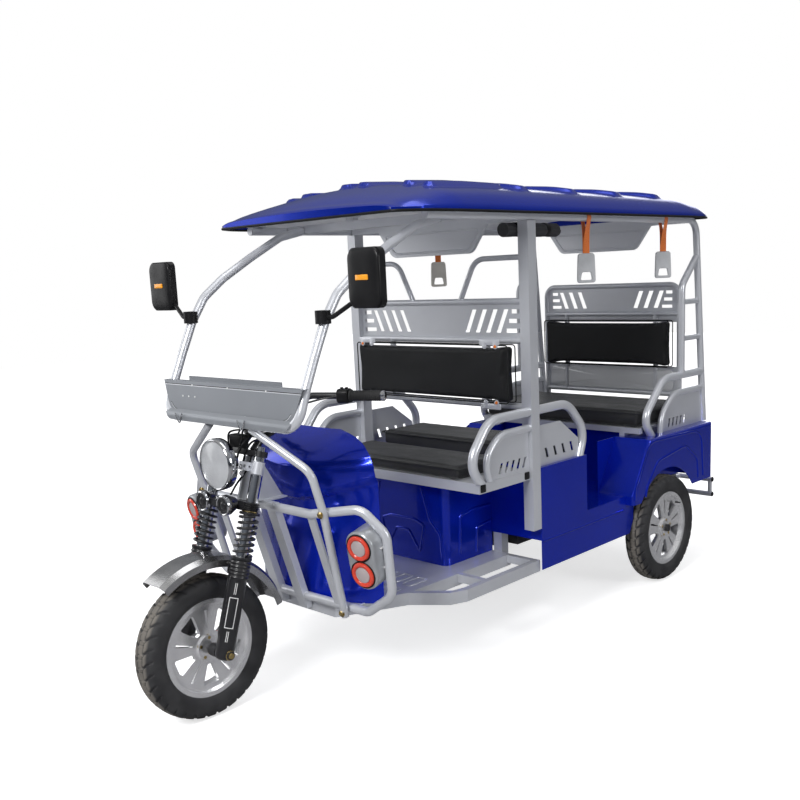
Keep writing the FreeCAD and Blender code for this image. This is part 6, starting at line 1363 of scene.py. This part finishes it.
@dataclass
class LegShield:
    """The bowed blue shield behind the fork, pressed with upright lines."""

    span: tuple[float, float] = (0.3003, 0.868)
    half: float = 0.322
    wall: float = 0.004
    slope_start: float = 0.758
    slope_height: float = 0.105
    groove_width: float = 0.012

    def lean(self, z: Array) -> Array:
        """The share of the bonnet's slope reached at a height."""
        return np.clip((z - self.slope_start) / self.slope_height, 0, 1.05) ** 1.5

    def point(self, x: Array, z: Array) -> Array:
        """A point of the shield: y = nose + R - sqrt(R2 - x2), R the radius of the bow through its sides."""
        nose = 0.385 + 0.077 * (np.minimum(z, 0.765) - self.span[0]) + 0.118 * self.lean(z)
        sag = 0.505 + 0.045 * self.lean(z) - nose
        radius = (self.half**2 + sag**2) / (2 * sag)
        back = nose + radius - np.sqrt(radius**2 - x**2)
        return np.stack([x, FRONT_AXLE_Y + back, z], axis=-1)

    def build(self) -> None:
        """Adds the shield: a bonnet that swells above a crease, a waist below it, and two lines a side."""
        rows, cols = 70, 61
        z = np.linspace(*self.span, rows)
        width = np.interp(z, (0.3003, 0.66, 0.72, 0.770, 0.805, 0.832, 0.850, 0.860, 0.868),
                          (0.322, 0.322, 0.322, 0.317, 0.296, 0.262, 0.215, 0.165, 0.110))
        u = np.linspace(-1, 1, cols)
        outer = self.point(u[None] * width[:, None], np.broadcast_to(z[:, None], (rows, cols)))
        crease = 0.640 + 0.08 * np.abs(u[None]) ** 1.6
        over = z[:, None] - crease
        above = np.clip(over / self.groove_width, 0, 1)
        share = np.clip(over / (self.span[1] - crease), 0, 1)
        swell = np.sin(share * math.pi / 2 + 0.9) * (1 - 0.55 * u[None] ** 4)
        outer[..., 1] -= 0.024 * above * swell
        waist = np.exp(-((z[:, None] - crease + 0.045) / 0.05) ** 2) * (1 - above)
        outer[..., 1] += 0.016 * waist * (1 - u[None] ** 2)
        add_piece("leg_shield_skin", thickened(outer, self.wall), BLUE_PAINT, Body.CHASSIS,
                  ["leg_shield"])
        level = np.linspace(0.330, 0.560, 24)
        lines = [carried(circle(1.0, 10) * (0.006, 0.003), self.point(np.full(24, x), level), (0.25, -1.0, 0.0))
                 for x in (0.245, 0.130)]
        add_piece("leg_shield_lines", joined(lines).with_mirror(), BLUE_PAINT, Body.CHASSIS)


@dataclass
class Pressings:
    """The raised lines pressed into the seat box, fenders, tub, floor and header."""

    def build(self) -> None:
        """Adds the pressed lines to the chassis."""
        body = Body.CHASSIS
        front = 0.9252
        half, height = 0.0060, 0.0042
        crest = [(-0.056, 0.463), (0.070, 0.463), (0.119, 0.445), (0.092, 0.338), (0.038, 0.417), (-0.030, 0.417),
                 (-0.080, 0.338), (-0.108, 0.445)]
        flank = [(0.112, 0.590), (0.150, 0.470), (0.200, 0.419), (0.206, 0.330)]
        lines = [bead(at_back(crest, front), FORWARD, half, height, closed=True)]
        lines += [bead(at_back([(hand * x, z) for x, z in flank], front), FORWARD, half, height) for hand in (1, -1)]
        side = 0.2262
        for outline in ([(1.002, 0.332), (1.010, 0.480), (1.082, 0.491), (1.190, 0.489)],
                        [(1.098, 0.319), (1.106, 0.416), (1.190, 0.424)]):
            left = bead(at_side(outline, side), LEFTWARD, half, height)
            lines += [left, left.mirrored()]
        add_piece("seat_box_lines", joined(lines), BLUE_PAINT, body)
        ribs = []
        for outline in ([(1.800, 0.412), (1.806, 0.470), (1.909, 0.629), (1.954, 0.643), (2.331, 0.631),
                         (2.384, 0.597), (2.401, 0.415)],
                        [(1.887, 0.412), (1.898, 0.448), (1.989, 0.551), (2.230, 0.581), (2.346, 0.502),
                         (2.352, 0.415)]):
            left = bead(at_side(outline, 0.5060), LEFTWARD, 0.0070, 0.0042, 0.03)
            ribs += [left, left.mirrored()]
        add_piece("fender_lines", joined(ribs), BLUE_PAINT, body)
        tread = []
        wide, deep = 0.022, 0.045
        for x in np.arange(-0.245, 0.246, 0.07):
            for back in (0.470, 0.600, 0.730):
                outline = [(x - wide, back - deep), (x + wide, back - deep), (x + wide, back + deep),
                           (x - wide, back + deep)]
                tread.append(bead(at_height(outline, 0.3001), UPWARD, 0.0042, 0.0028, 0.010, True))
        add_piece("floor_pressings", joined(tread), SILVER_PAINT, body)
        border = [(-0.248, 1.5360), (-0.190, 1.4640), (0.190, 1.4640), (0.248, 1.5360)]
        borders = [bead(at_back(border, back), FORWARD, 0.0040, 0.0028, 0.020, True) for back in (1.1500, 2.3100)]
        add_piece("header_borders", joined(borders), SILVER_PAINT, body)
        crease = bead(at_side([(1.206, 0.3740), (1.770, 0.3725)], 0.4680), LEFTWARD, 0.0050, 0.0026)
        add_piece("tub_creases", crease.with_mirror(), BLUE_PAINT, body)
        panel = slab(rounded_outline(0.690, 0.098, 0.022), 0.006, 0.002).turned(FACING_FRONT)
        add_piece("rear_lower_panel", panel.moved(place(0.0, 2.4136, 0.8440)), PALE_PANEL, body)


@dataclass
class PadClips:
    """Lobed plates that hold the driver's backrest pad, each with an orange button."""

    offset: float = 0.3225
    back: float = 1.0970
    rows: tuple[tuple[float, float], ...] = ((1.1270, -1.0), (0.8910, 1.0))
    lobes: tuple[float, float] = (0.2990, 0.3500)

    def build(self) -> None:
        """Adds the plates and buttons to the chassis."""
        bar = slab(rounded_outline(0.094, 0.0215, 0.0055, 4), 0.0032, 0.001)
        lobe = slab(rounded_outline(0.0215, 0.030, 0.0105, 6), 0.0036, 0.001)
        boss = np.array([(0.0, -0.001), (0.0062, -0.001), (0.0060, 0.0014), (0.004, 0.0022), (0.0, 0.0025)])
        boss = turned(boss, (0, 0, 0), UPWARD, 20).turned(FACING_FRONT)
        plates, buttons = [], []
        for level, inward in self.rows:
            plates.append(bar.turned(FACING_FRONT).moved(place(self.offset, self.back, level)))
            for across in self.lobes:
                spot = place(across, self.back, level + inward * 0.0095)
                plates.append(lobe.turned(FACING_FRONT).moved(spot))
            height = level + inward * 0.0150
            buttons.append(boss.moved(place(self.lobes[1], self.back - 0.0016, height)))
            plates.append(boss.moved(place(self.lobes[0], self.back - 0.0016, height)))
        add_piece("pad_clip_plates", joined(plates).with_mirror(), SILVER_PAINT, Body.CHASSIS,
                  ["pad_clips"])
        add_piece("pad_clip_buttons", joined(buttons).with_mirror(), ORANGE, Body.CHASSIS)


@dataclass
class GrabHandles:
    """Moulded hand plates on webbing loops round the roof rails."""

    spots: tuple[tuple[float, float], ...] = ((0.453, 1.537), (0.453, 2.121), (-0.453, 1.691))
    turn: float = -38.0
    rail_height: float = 1.568
    rail_radius: float = 0.0165
    plate_low: float = 1.3227
    plate_size: tuple[float, float] = (0.074, 0.112)

    def plate(self, x: float, back: float) -> Surface:
        """A hand plate with a four-sided hole, turned about its strap."""
        width, tall = self.plate_size
        half, top = width / 2, width / 2 * 0.90
        corners = eased([(half, 0, 0), (top, tall, 0), (-top, tall, 0), (-half, 0, 0)], 0.012, 6, True)
        hole = [(0.023, 0.0105, 0), (0.0172, 0.0405, 0), (-0.0172, 0.0405, 0), (-0.023, 0.0105, 0)]
        hole = eased(hole, 0.006, 5, True)
        angle = math.radians(self.turn)
        width_way = np.array((-math.sin(angle), math.cos(angle), 0.0))
        out = np.array((math.cos(angle), math.sin(angle), 0.0))
        plate = holed_slab(corners[:, :2], hole[:, :2], 0.010, 0.0025, 64)
        return plate.turned(np.stack([width_way, UPWARD, out])).moved(place(x, back, self.plate_low))

    def strap(self, x: float, back: float) -> tuple[Surface, Array]:
        """A webbing loop from the plate up round the rail, its width turning from the plate's way to the rail's.

        The line starts on one side of the plate's top, leaves it by an offset that grows to the rail's radius,
        passes over the rail in a half circle and comes down on the other side.

        Args:
            x: the rail's offset.
            back: the strap's distance behind the front axle.

        Returns:
            The strap and a map coordinate for each of its vertices.
        """
        low = self.plate_low + self.plate_size[1] - 0.012
        up = np.linspace(0, 1, 16)
        half = np.linspace(0, math.pi, 13)[1:-1]
        offset = np.concatenate([0.0022 + (self.rail_radius - 0.0022) * up**2.2, self.rail_radius * np.cos(half),
                                 -(0.0022 + (self.rail_radius - 0.0022) * up[::-1] ** 2.2)])
        height = np.concatenate([low + (self.rail_height - low) * up,
                                 self.rail_height + self.rail_radius * np.sin(half),
                                 low + (self.rail_height - low) * up[::-1]])
        share = np.clip((self.rail_height - 0.02 - height) / 0.10, 0, 1)
        angle = math.radians(self.turn) * share * share * (3 - 2 * share)
        ways = np.stack([-np.sin(angle), np.cos(angle), np.zeros_like(angle)], axis=1)
        outs = np.stack([np.cos(angle), np.sin(angle), np.zeros_like(angle)], axis=1)
        path = place(x, back, 0.0) + height[:, None] * np.array(UPWARD) + offset[:, None] * outs
        profile = rounded_outline(0.0018, 0.026, 0.0008, 2)
        shape = carried(profile, path, ways)
        count, sides = len(path), len(profile)
        lengths = lengths_along(path)
        uv = np.zeros((len(shape.verts), 2))
        uv[:count * sides, 0] = np.tile(profile[:, 1] / 0.026, count)
        uv[:count * sides, 1] = np.repeat(lengths * 10.0, sides)
        return shape, uv

    def build(self) -> None:
        """Adds the plates and straps to the chassis."""
        plates = [self.plate(*spot) for spot in self.spots]
        add_piece("handle_plates", joined(plates[:2]), PALE_PLASTIC, Body.CHASSIS, ["grab_handles"])
        add_piece("handle_plate_right", plates[2], CREAM_PLASTIC, Body.CHASSIS)
        straps = [self.strap(*spot) for spot in self.spots]
        add_piece("handle_straps", joined([shape for shape, _ in straps]), ORANGE_WEBBING, Body.CHASSIS,
                  uv=np.concatenate([uv for _, uv in straps]))


@dataclass
class CurtainRoll:
    """The rolled side curtain, tied twice under the left rail."""

    centre: tuple[float, float] = (0.3957, 1.5247)
    span: tuple[float, float] = (1.102, 1.418)
    radius: float = 0.0268
    tie_spots: tuple[float, float] = (0.22, 0.78)
    tie_half: float = 0.009

    def at(self, share: float | Array) -> float | Array:
        """The y at a share of the roll's length."""
        return FRONT_AXLE_Y + self.span[0] + (self.span[1] - self.span[0]) * share

    def build(self) -> None:
        """Adds the roll, wound r = R (0.87 + 0.13 a / 2 pi) with soft folds, and its ties."""
        count, rows = 44, 40
        t = np.linspace(0, FULL_TURN, count, endpoint=False)
        along = np.linspace(0, 1, rows)
        tie = sum(np.exp(-((along - spot) / 0.035) ** 2) for spot in self.tie_spots)
        wound = 0.87 + 0.13 * t / (FULL_TURN)
        fold = 0.02 * np.sin(t[None] * 3 + along[:, None] * 9) + 0.012 * np.sin(t[None] * 7 - along[:, None] * 14)
        r = self.radius * (wound[None] + fold * (1 - wound[None] * 0.3)) * (1 - 0.13 * tie[:, None])
        r = np.minimum(r, self.radius * 1.02)
        y = np.broadcast_to(self.at(along[:, None]), r.shape)
        points = np.stack([self.centre[0] + r * np.cos(t), y, self.centre[1] + r * np.sin(t)], axis=-1)
        roll = add_piece("side_curtain_roll", capped(points), DARK_CLOTH, Body.CHASSIS,
                         ["curtain_roll"])
        inner, outer, half = self.radius * 0.80, self.radius * 0.94, self.tie_half
        profile = [(inner, -half), (outer, -half), (outer, half), (inner, half)]
        ties = [ringed(profile, (self.centre[0], self.at(spot), self.centre[1]), REARWARD, 32)
                for spot in self.tie_spots]
        add_piece("curtain_ties", joined(ties), BLACK_PLASTIC, Body.CHASSIS)


@dataclass
class Roof:
    """The pressed roof skin with its cross ribs and front beads, and the seal round its rim."""

    front: float = 0.508
    rear: float = 2.445
    half: float = 0.520
    edge: float = 1.586
    rise: float = 0.114
    lip: float = 0.010
    wall: float = 0.003
    rib_height: float = 0.0165
    arch: tuple[tuple[float, float], ...] = ((1.0, 0.0), (0.955, 0.3), (0.885, 0.53), (0.8, 0.65), (0.62, 0.8),
                                             (0.3, 0.95), (0.0, 1.0))
    plan: tuple[tuple[float, float, float], ...] = (
        (0.0, 0.15, 0.84), (0.02, 0.33, 0.92), (0.05, 0.56, 0.97), (0.12, 0.92, 1.0), (0.22, 1.0, 1.0),
        (0.9, 0.97, 1.0), (0.975, 0.72, 0.985), (1.0, 0.34, 0.93))
    rib_spots: tuple[float, ...] = (0.36, 0.52, 0.68, 0.84)
    bead_offsets: tuple[float, ...] = (0.045, 0.265, 0.355)
    bead_span: tuple[float, float] = (0.745, 1.140)
    rib_widths: tuple[float, float] = (0.031, 0.014)
    rib_ends: tuple[float, float] = (0.430, 0.405)
    bead_widths: tuple[float, float] = (0.033, 0.017)
    seal: tuple[float, float] = (0.0042, 0.0048)

    @staticmethod
    def softened(values: Array, reach: int) -> Array:
        """A running mean that keeps both ends."""
        padded = np.concatenate([np.full(reach, values[0]), values, np.full(reach, values[-1])])
        mean = np.convolve(padded, np.ones(2 * reach + 1) / (2 * reach + 1), "valid")
        mean[0], mean[-1] = values[0], values[-1]
        return mean

    def shares(self, back: Array) -> tuple[Array, Array]:
        """The shares of the full rise and width along the roof."""
        spots, rise, width = np.array(self.plan).T
        share = (back - self.front) / (self.rear - self.front)
        return self.softened(np.interp(share, spots, rise), 4), self.softened(np.interp(share, spots, width), 4)

    def at(self, share: float | Array) -> float | Array:
        """The distance behind the front axle at a share of the roof's length."""
        return self.front + (self.rear - self.front) * share

    def half_arch(self, count: int = 41) -> Array:
        """The arch from its left edge to its crown at even lengths, softened."""
        rows = np.array(self.arch)
        lengths = lengths_along(rows * (self.half, self.rise))
        at = np.linspace(0, lengths[-1], count)
        return np.stack([self.softened(np.interp(at, lengths, rows[:, k]), 2) for k in (0, 1)], axis=1)

    def relief(self, x: Array, back: Array) -> Array:
        """The ribs' and beads' height: a smooth step down over their sloping sides, the highest of all."""

        def eased_step(distance: Array, outer: float, inner: float) -> Array:
            share = np.clip((outer - distance) / (outer - inner), 0, 1)
            return share * share * (3 - 2 * share)

        total = np.zeros_like(x)
        for spot in self.rib_spots:
            middle = self.at(spot)
            total = np.maximum(total, eased_step(np.abs(back - middle), *self.rib_widths)
                               * eased_step(np.abs(x), *self.rib_ends))
        low, high = self.bead_span[0] + self.bead_widths[0], self.bead_span[1] - self.bead_widths[0]
        beyond = np.maximum(np.maximum(low - back, back - high), 0)
        for offset in self.bead_offsets:
            total = np.maximum(total, eased_step(np.hypot(np.abs(x) - offset, beyond), *self.bead_widths))
        return self.rib_height * total

    def skin(self) -> Array:
        """The skin's points: x = half w(y) a, z = edge + rise r(y) b + relief, with (a, b) along the arch."""
        back = np.concatenate([self.at(np.linspace(0, 0.14, 32)[:-1]), np.linspace(self.at(0.14), self.rear, 190)])
        rise, width = self.shares(back)
        arch = self.half_arch()
        arch = np.concatenate([arch, (arch * (-1, 1))[-2::-1]])
        x = self.half * width[:, None] * arch[None, :, 0]
        z = self.edge + self.rise * rise[:, None] * arch[None, :, 1]
        z = z + self.relief(x, np.broadcast_to(back[:, None], x.shape))
        points = np.stack([x, np.broadcast_to(FRONT_AXLE_Y + back[:, None], x.shape), z], axis=-1)
        low = self.edge - self.lip
        left, right = points[:, :1].copy(), points[:, -1:].copy()
        left[..., 2] = right[..., 2] = low
        points = np.concatenate([left, points, right], axis=1)
        ends = []
        for row, shift in ((points[0], 0.0015), (points[-1], -0.0015)):
            skirt = row.copy()
            skirt[:, 2] = low
            skirt[:, 1] += shift
            ends.append(skirt[None])
        return np.concatenate([ends[0], points, ends[1]])

    def build(self) -> None:
        """Adds the skin and the seal to the chassis."""
        points = self.skin()
        add_piece("roof_skin", thickened(points, self.wall), ROOF_PAINT, Body.CHASSIS, ["roof_shell"],
                  crease=50.0)
        rim = np.concatenate([points[:, 0], points[-1, 1:], points[-2::-1, -1], points[0, -2:0:-1]])
        rim = rim[np.concatenate([[True], np.linalg.norm(np.diff(rim, axis=0), axis=1) > 1e-4])][::2]
        rim[:, 2] = self.edge - self.lip - 0.0005
        seal = carried(circle(1.0, 8) * self.seal, rim, UPWARD, closed=True)
        add_piece("roof_seal", seal, BLACK_PLASTIC, Body.CHASSIS)


@dataclass
class Cushion:
    """A vinyl cushion: a soft block blown out by a short cloth simulation, with piping round its rims."""

    node: str
    upright: bool = False
    pressure: float = 4.0
    most: float = 0.012
    voxel: float = 0.0065
    corner: float = 0.012
    fill: float = 0.85
    clearance: float = 0.004
    skin: float = 0.0006
    steps: int = 20
    piping: float = 0.0024
    finish: Finish = VINYL

    def frame_of(self) -> tuple[Array, Array, Array]:
        """The block's middle, its sizes and rows of its own axes, z through its thickness."""
        low, high = (np.array(corner, float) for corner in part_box(self.node))
        rows = FACING_FRONT if self.upright else np.eye(3)
        return (low + high) / 2, (high - low) @ np.abs(rows.T), rows

    def block(self, size: Array) -> Surface:
        """The flat start of the cushion, a little smaller than its space."""
        outline = rounded_outline(size[0] - 2 * self.clearance, size[1] - 2 * self.clearance, self.corner, 6)
        return slab(outline, size[2] - 2 * self.clearance, min(0.012, size[2] * 0.28))

    def simulated(self, start: bpy.types.Mesh, size: Array) -> Array:
        """Where pressure takes each point in a few steps, moved no further than a cap and kept in the block's space.

        Args:
            start: the even mesh that is blown out.
            size: the space that the cushion may fill.

        Returns:
            The points.
        """
        scene = bpy.context.scene
        obj = in_scene("cushion_trial", start)
        cloth = obj.modifiers.new("cloth", "CLOTH")
        cloth.settings.quality = 4
        cloth.settings.mass = 0.3
        cloth.settings.tension_stiffness = 25.0
        cloth.settings.compression_stiffness = 25.0
        cloth.settings.bending_stiffness = 0.6
        cloth.settings.use_pressure = True
        cloth.settings.uniform_pressure_force = self.pressure
        cloth.settings.effector_weights.gravity = 0.0
        cloth.point_cache.frame_start = 1
        cloth.point_cache.frame_end = self.steps
        for step in range(1, self.steps + 1):
            scene.frame_set(step)
        rest = np.empty(len(start.vertices) * 3)
        start.vertices.foreach_get("co", rest)
        moved = np.empty_like(rest)
        obj.evaluated_get(bpy.context.evaluated_depsgraph_get()).data.vertices.foreach_get("co", moved)
        bpy.data.objects.remove(obj)
        scene.frame_set(1)
        rest, moved = rest.reshape(-1, 3), moved.reshape(-1, 3)
        shift = moved - rest
        length = np.linalg.norm(shift, axis=1, keepdims=True)
        moved = rest + shift * np.minimum(1.0, self.most / np.maximum(length, 1e-9))
        return np.clip(moved, -size / 2 + self.skin, size / 2 - (self.skin, self.skin, 0.0))

    def build(self) -> None:
        """Adds the cushion and its piping to the chassis."""
        middle, size, rows = self.frame_of()
        holder = in_scene("cushion_block", self.block(size).mesh("cushion_block"))
        remesh = holder.modifiers.new("remesh", "REMESH")
        remesh.mode = "VOXEL"
        remesh.voxel_size = self.voxel
        even = bpy.data.meshes.new_from_object(holder.evaluated_get(bpy.context.evaluated_depsgraph_get()))
        bpy.data.objects.remove(holder)
        faces = np.empty(len(even.loops), np.int64)
        even.loops.foreach_get("vertex_index", faces)
        points = np.empty(len(even.vertices) * 3)
        even.vertices.foreach_get("co", points)
        points = points.reshape(-1, 3)
        points = self.simulated(even, size)
        shape = Surface(points @ rows + middle, faces.reshape(-1, 4))
        piece = add_piece(f"{self.node}_cover", shape, self.finish, Body.CHASSIS, [self.node],
                          crease=180.0)
        soften = piece.modifiers.new("soften", "SUBSURF")
        soften.levels = soften.render_levels = 1
        outline = rounded_outline(size[0] - 0.006, size[1] - 0.006, self.corner, 8)
        level = size[2] / 2 - 0.009
        paths = [np.concatenate([outline, np.full((len(outline), 1), side * level)], axis=1) for side in (1, -1)]
        piping = joined([carried(circle(self.piping, 8), path, UPWARD, closed=True) for path in paths])
        add_piece(f"{self.node}_piping", piping.turned(rows).moved(middle), self.finish, Body.CHASSIS)


def placed(axes: Array, spot: Sequence[float]) -> Matrix:
    """A matrix that lays x, y and z along the rows of axes, from a spot."""
    pose = np.eye(4)
    pose[:3, :3] = axes.T
    pose[:3, 3] = spot
    return Matrix(pose.tolist())


@dataclass(frozen=True)
class View:
    """The photograph's camera: its lens in millimetres, its place, and its angles in degrees."""

    lens: float = 42.78
    sensor: float = 36.0
    shift: tuple[float, float] = (-0.03, 0.0625)
    place: Point = (2.5387, FRONT_AXLE_Y - 1.6001, 1.3793)
    yaw: float = 43.59
    pitch: float = -10.43
    roll: float = -2.48
    reach: float = 100.0

    def build(self) -> None:
        """Puts the camera into the scene, turned by its yaw, then its pitch, then its roll."""
        camera = bpy.data.cameras.new("camera")
        camera.lens, camera.sensor_width, camera.clip_end = self.lens, self.sensor, self.reach
        camera.shift_x, camera.shift_y = self.shift
        yaw, pitch, roll = math.radians(self.yaw), math.radians(self.pitch), math.radians(self.roll)
        ahead = np.array((-math.sin(yaw) * math.cos(pitch), math.cos(yaw) * math.cos(pitch), math.sin(pitch)))
        right = np.array((math.cos(yaw), math.sin(yaw), 0.0))
        up = np.cross(right, ahead)
        axes = np.stack([right * math.cos(roll) + up * math.sin(roll), -right * math.sin(roll) + up * math.cos(roll),
                         -ahead])
        holder = in_scene("camera", camera)
        holder.matrix_world = placed(axes, self.place)
        bpy.context.scene.camera = holder


@dataclass(frozen=True)
class Lamp:
    """A soft square lamp, its size in metres and its power in watts."""

    tag: str
    spot: Point
    aim: Point
    size: float
    power: float

    def build(self) -> None:
        """Puts the lamp into the scene, facing its aim."""
        light = bpy.data.lights.new(self.tag, "AREA")
        light.energy, light.size = self.power, self.size
        toward = unit(np.asarray(self.aim) - np.asarray(self.spot))
        in_scene(self.tag, light).matrix_world = placed(axes_for(-toward), self.spot)


LAMPS = (Lamp("key", (1.2, -4.4, 3.6), (0.0, -0.4, 0.6), 1.5, 185.0),
         Lamp("side", (4.6, 0.6, 2.2), (0.0, 0.3, 0.7), 1.4, 50.0),
         Lamp("fill", (-4.2, -2.4, 2.2), (0.0, 0.0, 0.7), 2.6, 42.0),
         Lamp("rear", (-1.8, 4.8, 1.9), (0.0, 0.5, 0.8), 2.6, 38.0),
         Lamp("top", (0.2, 0.2, 5.2), (0.0, 0.2, 0.5), 3.0, 62.0))
FLOOR_REACH = 15.0


def pale_floor() -> None:
    """A floor that the camera sees pale grey near the vehicle and white beyond, and that mirrors darker."""
    ticks = np.linspace(-FLOOR_REACH, FLOOR_REACH, 3)
    points = np.stack(np.meshgrid(ticks, ticks, indexing="ij") + [np.zeros((3, 3))], axis=-1)
    mesh = grid(points).mesh("floor")
    g = Graph("pale_floor")
    seen = g.node("ShaderNodeLightPath", {}, {}, "Is Camera Ray")
    where = g.coordinate()
    far = (g.part(where, 0) ** 2.0 + g.part(where, 1) ** 2.0) ** 0.5
    pale = g.mix(far.ramp(1.3, 3.2), (0.66, 0.66, 0.66), (1.0, 1.0, 1.0))
    mirrored = g.node("ShaderNodeLightPath", {}, {}, "Is Glossy Ray")
    g.set(Base_Color=g.mix(mirrored, (0.70, 0.70, 0.71), (0.24, 0.24, 0.25)), Roughness=0.85,
          Specular_IOR_Level=0.1, Emission_Strength=1.0, Emission_Color=g.mix(seen, (0.0, 0.0, 0.0), pale))
    mesh.materials.append(g.material)
    floor = in_scene("floor", mesh)


def pale_sky() -> None:
    """A sky that the camera sees white, and that lights the vehicle from dark below to white above."""
    world = bpy.data.worlds.new("world")
    bpy.context.scene.world = world
    world.use_nodes = True
    nodes, links = world.node_tree.nodes, world.node_tree.links
    nodes.clear()
    output = nodes.new("ShaderNodeOutputWorld")
    mix = nodes.new("ShaderNodeMixShader")
    path = nodes.new("ShaderNodeLightPath")
    seen = nodes.new("ShaderNodeBackground")
    lit = nodes.new("ShaderNodeBackground")
    seen.inputs["Color"].default_value = (1.0, 1.0, 1.0, 1.0)
    lit.inputs["Strength"].default_value = 0.40
    sky = nodes.new("ShaderNodeTexCoord")
    height = nodes.new("ShaderNodeSeparateXYZ")
    ramp = nodes.new("ShaderNodeValToRGB")
    stops = ramp.color_ramp.elements
    stops[0].position, stops[0].color = 0.0, (0.08, 0.085, 0.10, 1.0)
    stops[1].position, stops[1].color = 0.75, (1.0, 1.0, 1.0, 1.0)
    stops.new(0.22).color = (0.30, 0.33, 0.38, 1.0)
    for start, end in ((sky.outputs["Generated"], height.inputs[0]), (height.outputs["Z"], ramp.inputs["Fac"]),
                       (ramp.outputs["Color"], lit.inputs["Color"]), (path.outputs["Is Camera Ray"], mix.inputs[0]),
                       (lit.outputs[0], mix.inputs[1]), (seen.outputs[0], mix.inputs[2]),
                       (mix.outputs[0], output.inputs["Surface"])):
        links.new(start, end)


def studio() -> None:
    """The camera at the photograph's place, soft lamps, a pale floor and a pale sky."""
    bpy.context.scene.view_settings.view_transform = "Standard"
    View().build()
    for lamp in LAMPS:
        lamp.build()
    pale_floor()
    pale_sky()


def dress_nodes() -> None:
    """Gives every CAD node that stays in view its finish."""
    dress(GUARD_STEEL, "mudguard")
    dress(SILVER_PAINT, "neck", "front_guard", "guard_stays", "windscreen_hoop", "roof_rails", "roof_beams",
          "roof_bows", "pillars", "driver_back_frame", "seat_tray", "front_armrests", "middle_armrests",
          "rear_armrests",
          "side_steps", "bench_frame", "rear_back_frame", "rear_bumper", "lamp_bracket", "pad_clips", "chassis_rails",
          "front_floor")
    dress(PANEL_PAINT, "dash_panel")
    dress(BLUE_PAINT, "leg_shield", "seat_box", "passenger_tub", "fenders")
    dress(ROOF_PAINT, "roof_shell")
    dress(CHROME, "fork_tubes")
    dress(SATIN_BLACK, "fork_legs", "fork_springs", "steering_yokes", "spot_lamps", "handlebar", "drive_motor",
          "headlamp")
    dress(DARK_STEEL, "front_axle", "rear_axle", "leaf_springs")
    dress(GRIP_RUBBER, "grips")
    dress(SILVER_PLASTIC, "lamp_pods")
    dress(RED_LENS, "pod_lamps")
    dress(CLEAR_LENS, "headlamp_lens")
    dress(BLACK_PLASTIC, "mirrors")
    dress(VINYL, "driver_back_pad", "driver_cushion", "rear_facing_cushion", "rear_cushion", "rear_back_pad")
    dress(BATTERY_CASE, "battery_pack")
    dress(PALE_PLASTIC, "grab_handles")
    dress(DARK_CLOTH, "curtain_roll")
    dress(CastAlloy("alloy_front", FRONT_AXLE_Y), "front_rim")
    dress(CastAlloy("alloy_rear", REAR_AXLE_Y), "rear_rim_left", "rear_rim_right")


def main() -> None:
    """Sets up the studio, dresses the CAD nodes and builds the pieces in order."""
    logging.basicConfig(level=logging.INFO, format="%(message)s")
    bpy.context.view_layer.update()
    studio()
    dress_nodes()
    front_rubber = TyreRubber("front_tyre_rubber", FRONT_AXLE_Y)
    rear_rubber = TyreRubber("rear_tyre_rubber", REAR_AXLE_Y)
    Wheel("front", "front_tyre", Body.FRONT_WHEEL, (0.0, FRONT_AXLE_Y), 1.0, front_rubber).build()
    Wheel("rear_left", "rear_tyre_left", Body.LEFT_WHEEL, (0.467, REAR_AXLE_Y), 1.0, rear_rubber).build()
    Wheel("rear_right", "rear_tyre_right", Body.RIGHT_WHEEL, (-0.467, REAR_AXLE_Y), -1.0, rear_rubber).build()
    for part in (Fork(), Headlamp(), LampPods(), Mirrors(), Controls(), Dash(), GuardTrim(), LegShield(), Pressings(),
                 PadClips(), GrabHandles(), CurtainRoll(), Roof(), Cushion("driver_cushion"),
                 Cushion("driver_back_pad", upright=True, finish=SHADED_PAD_VINYL), Cushion("rear_facing_cushion"),
                 Cushion("rear_cushion"), Cushion("rear_back_pad", upright=True, finish=SHADED_PAD_VINYL)):
        part.build()


if __name__ == "__main__":
    main()
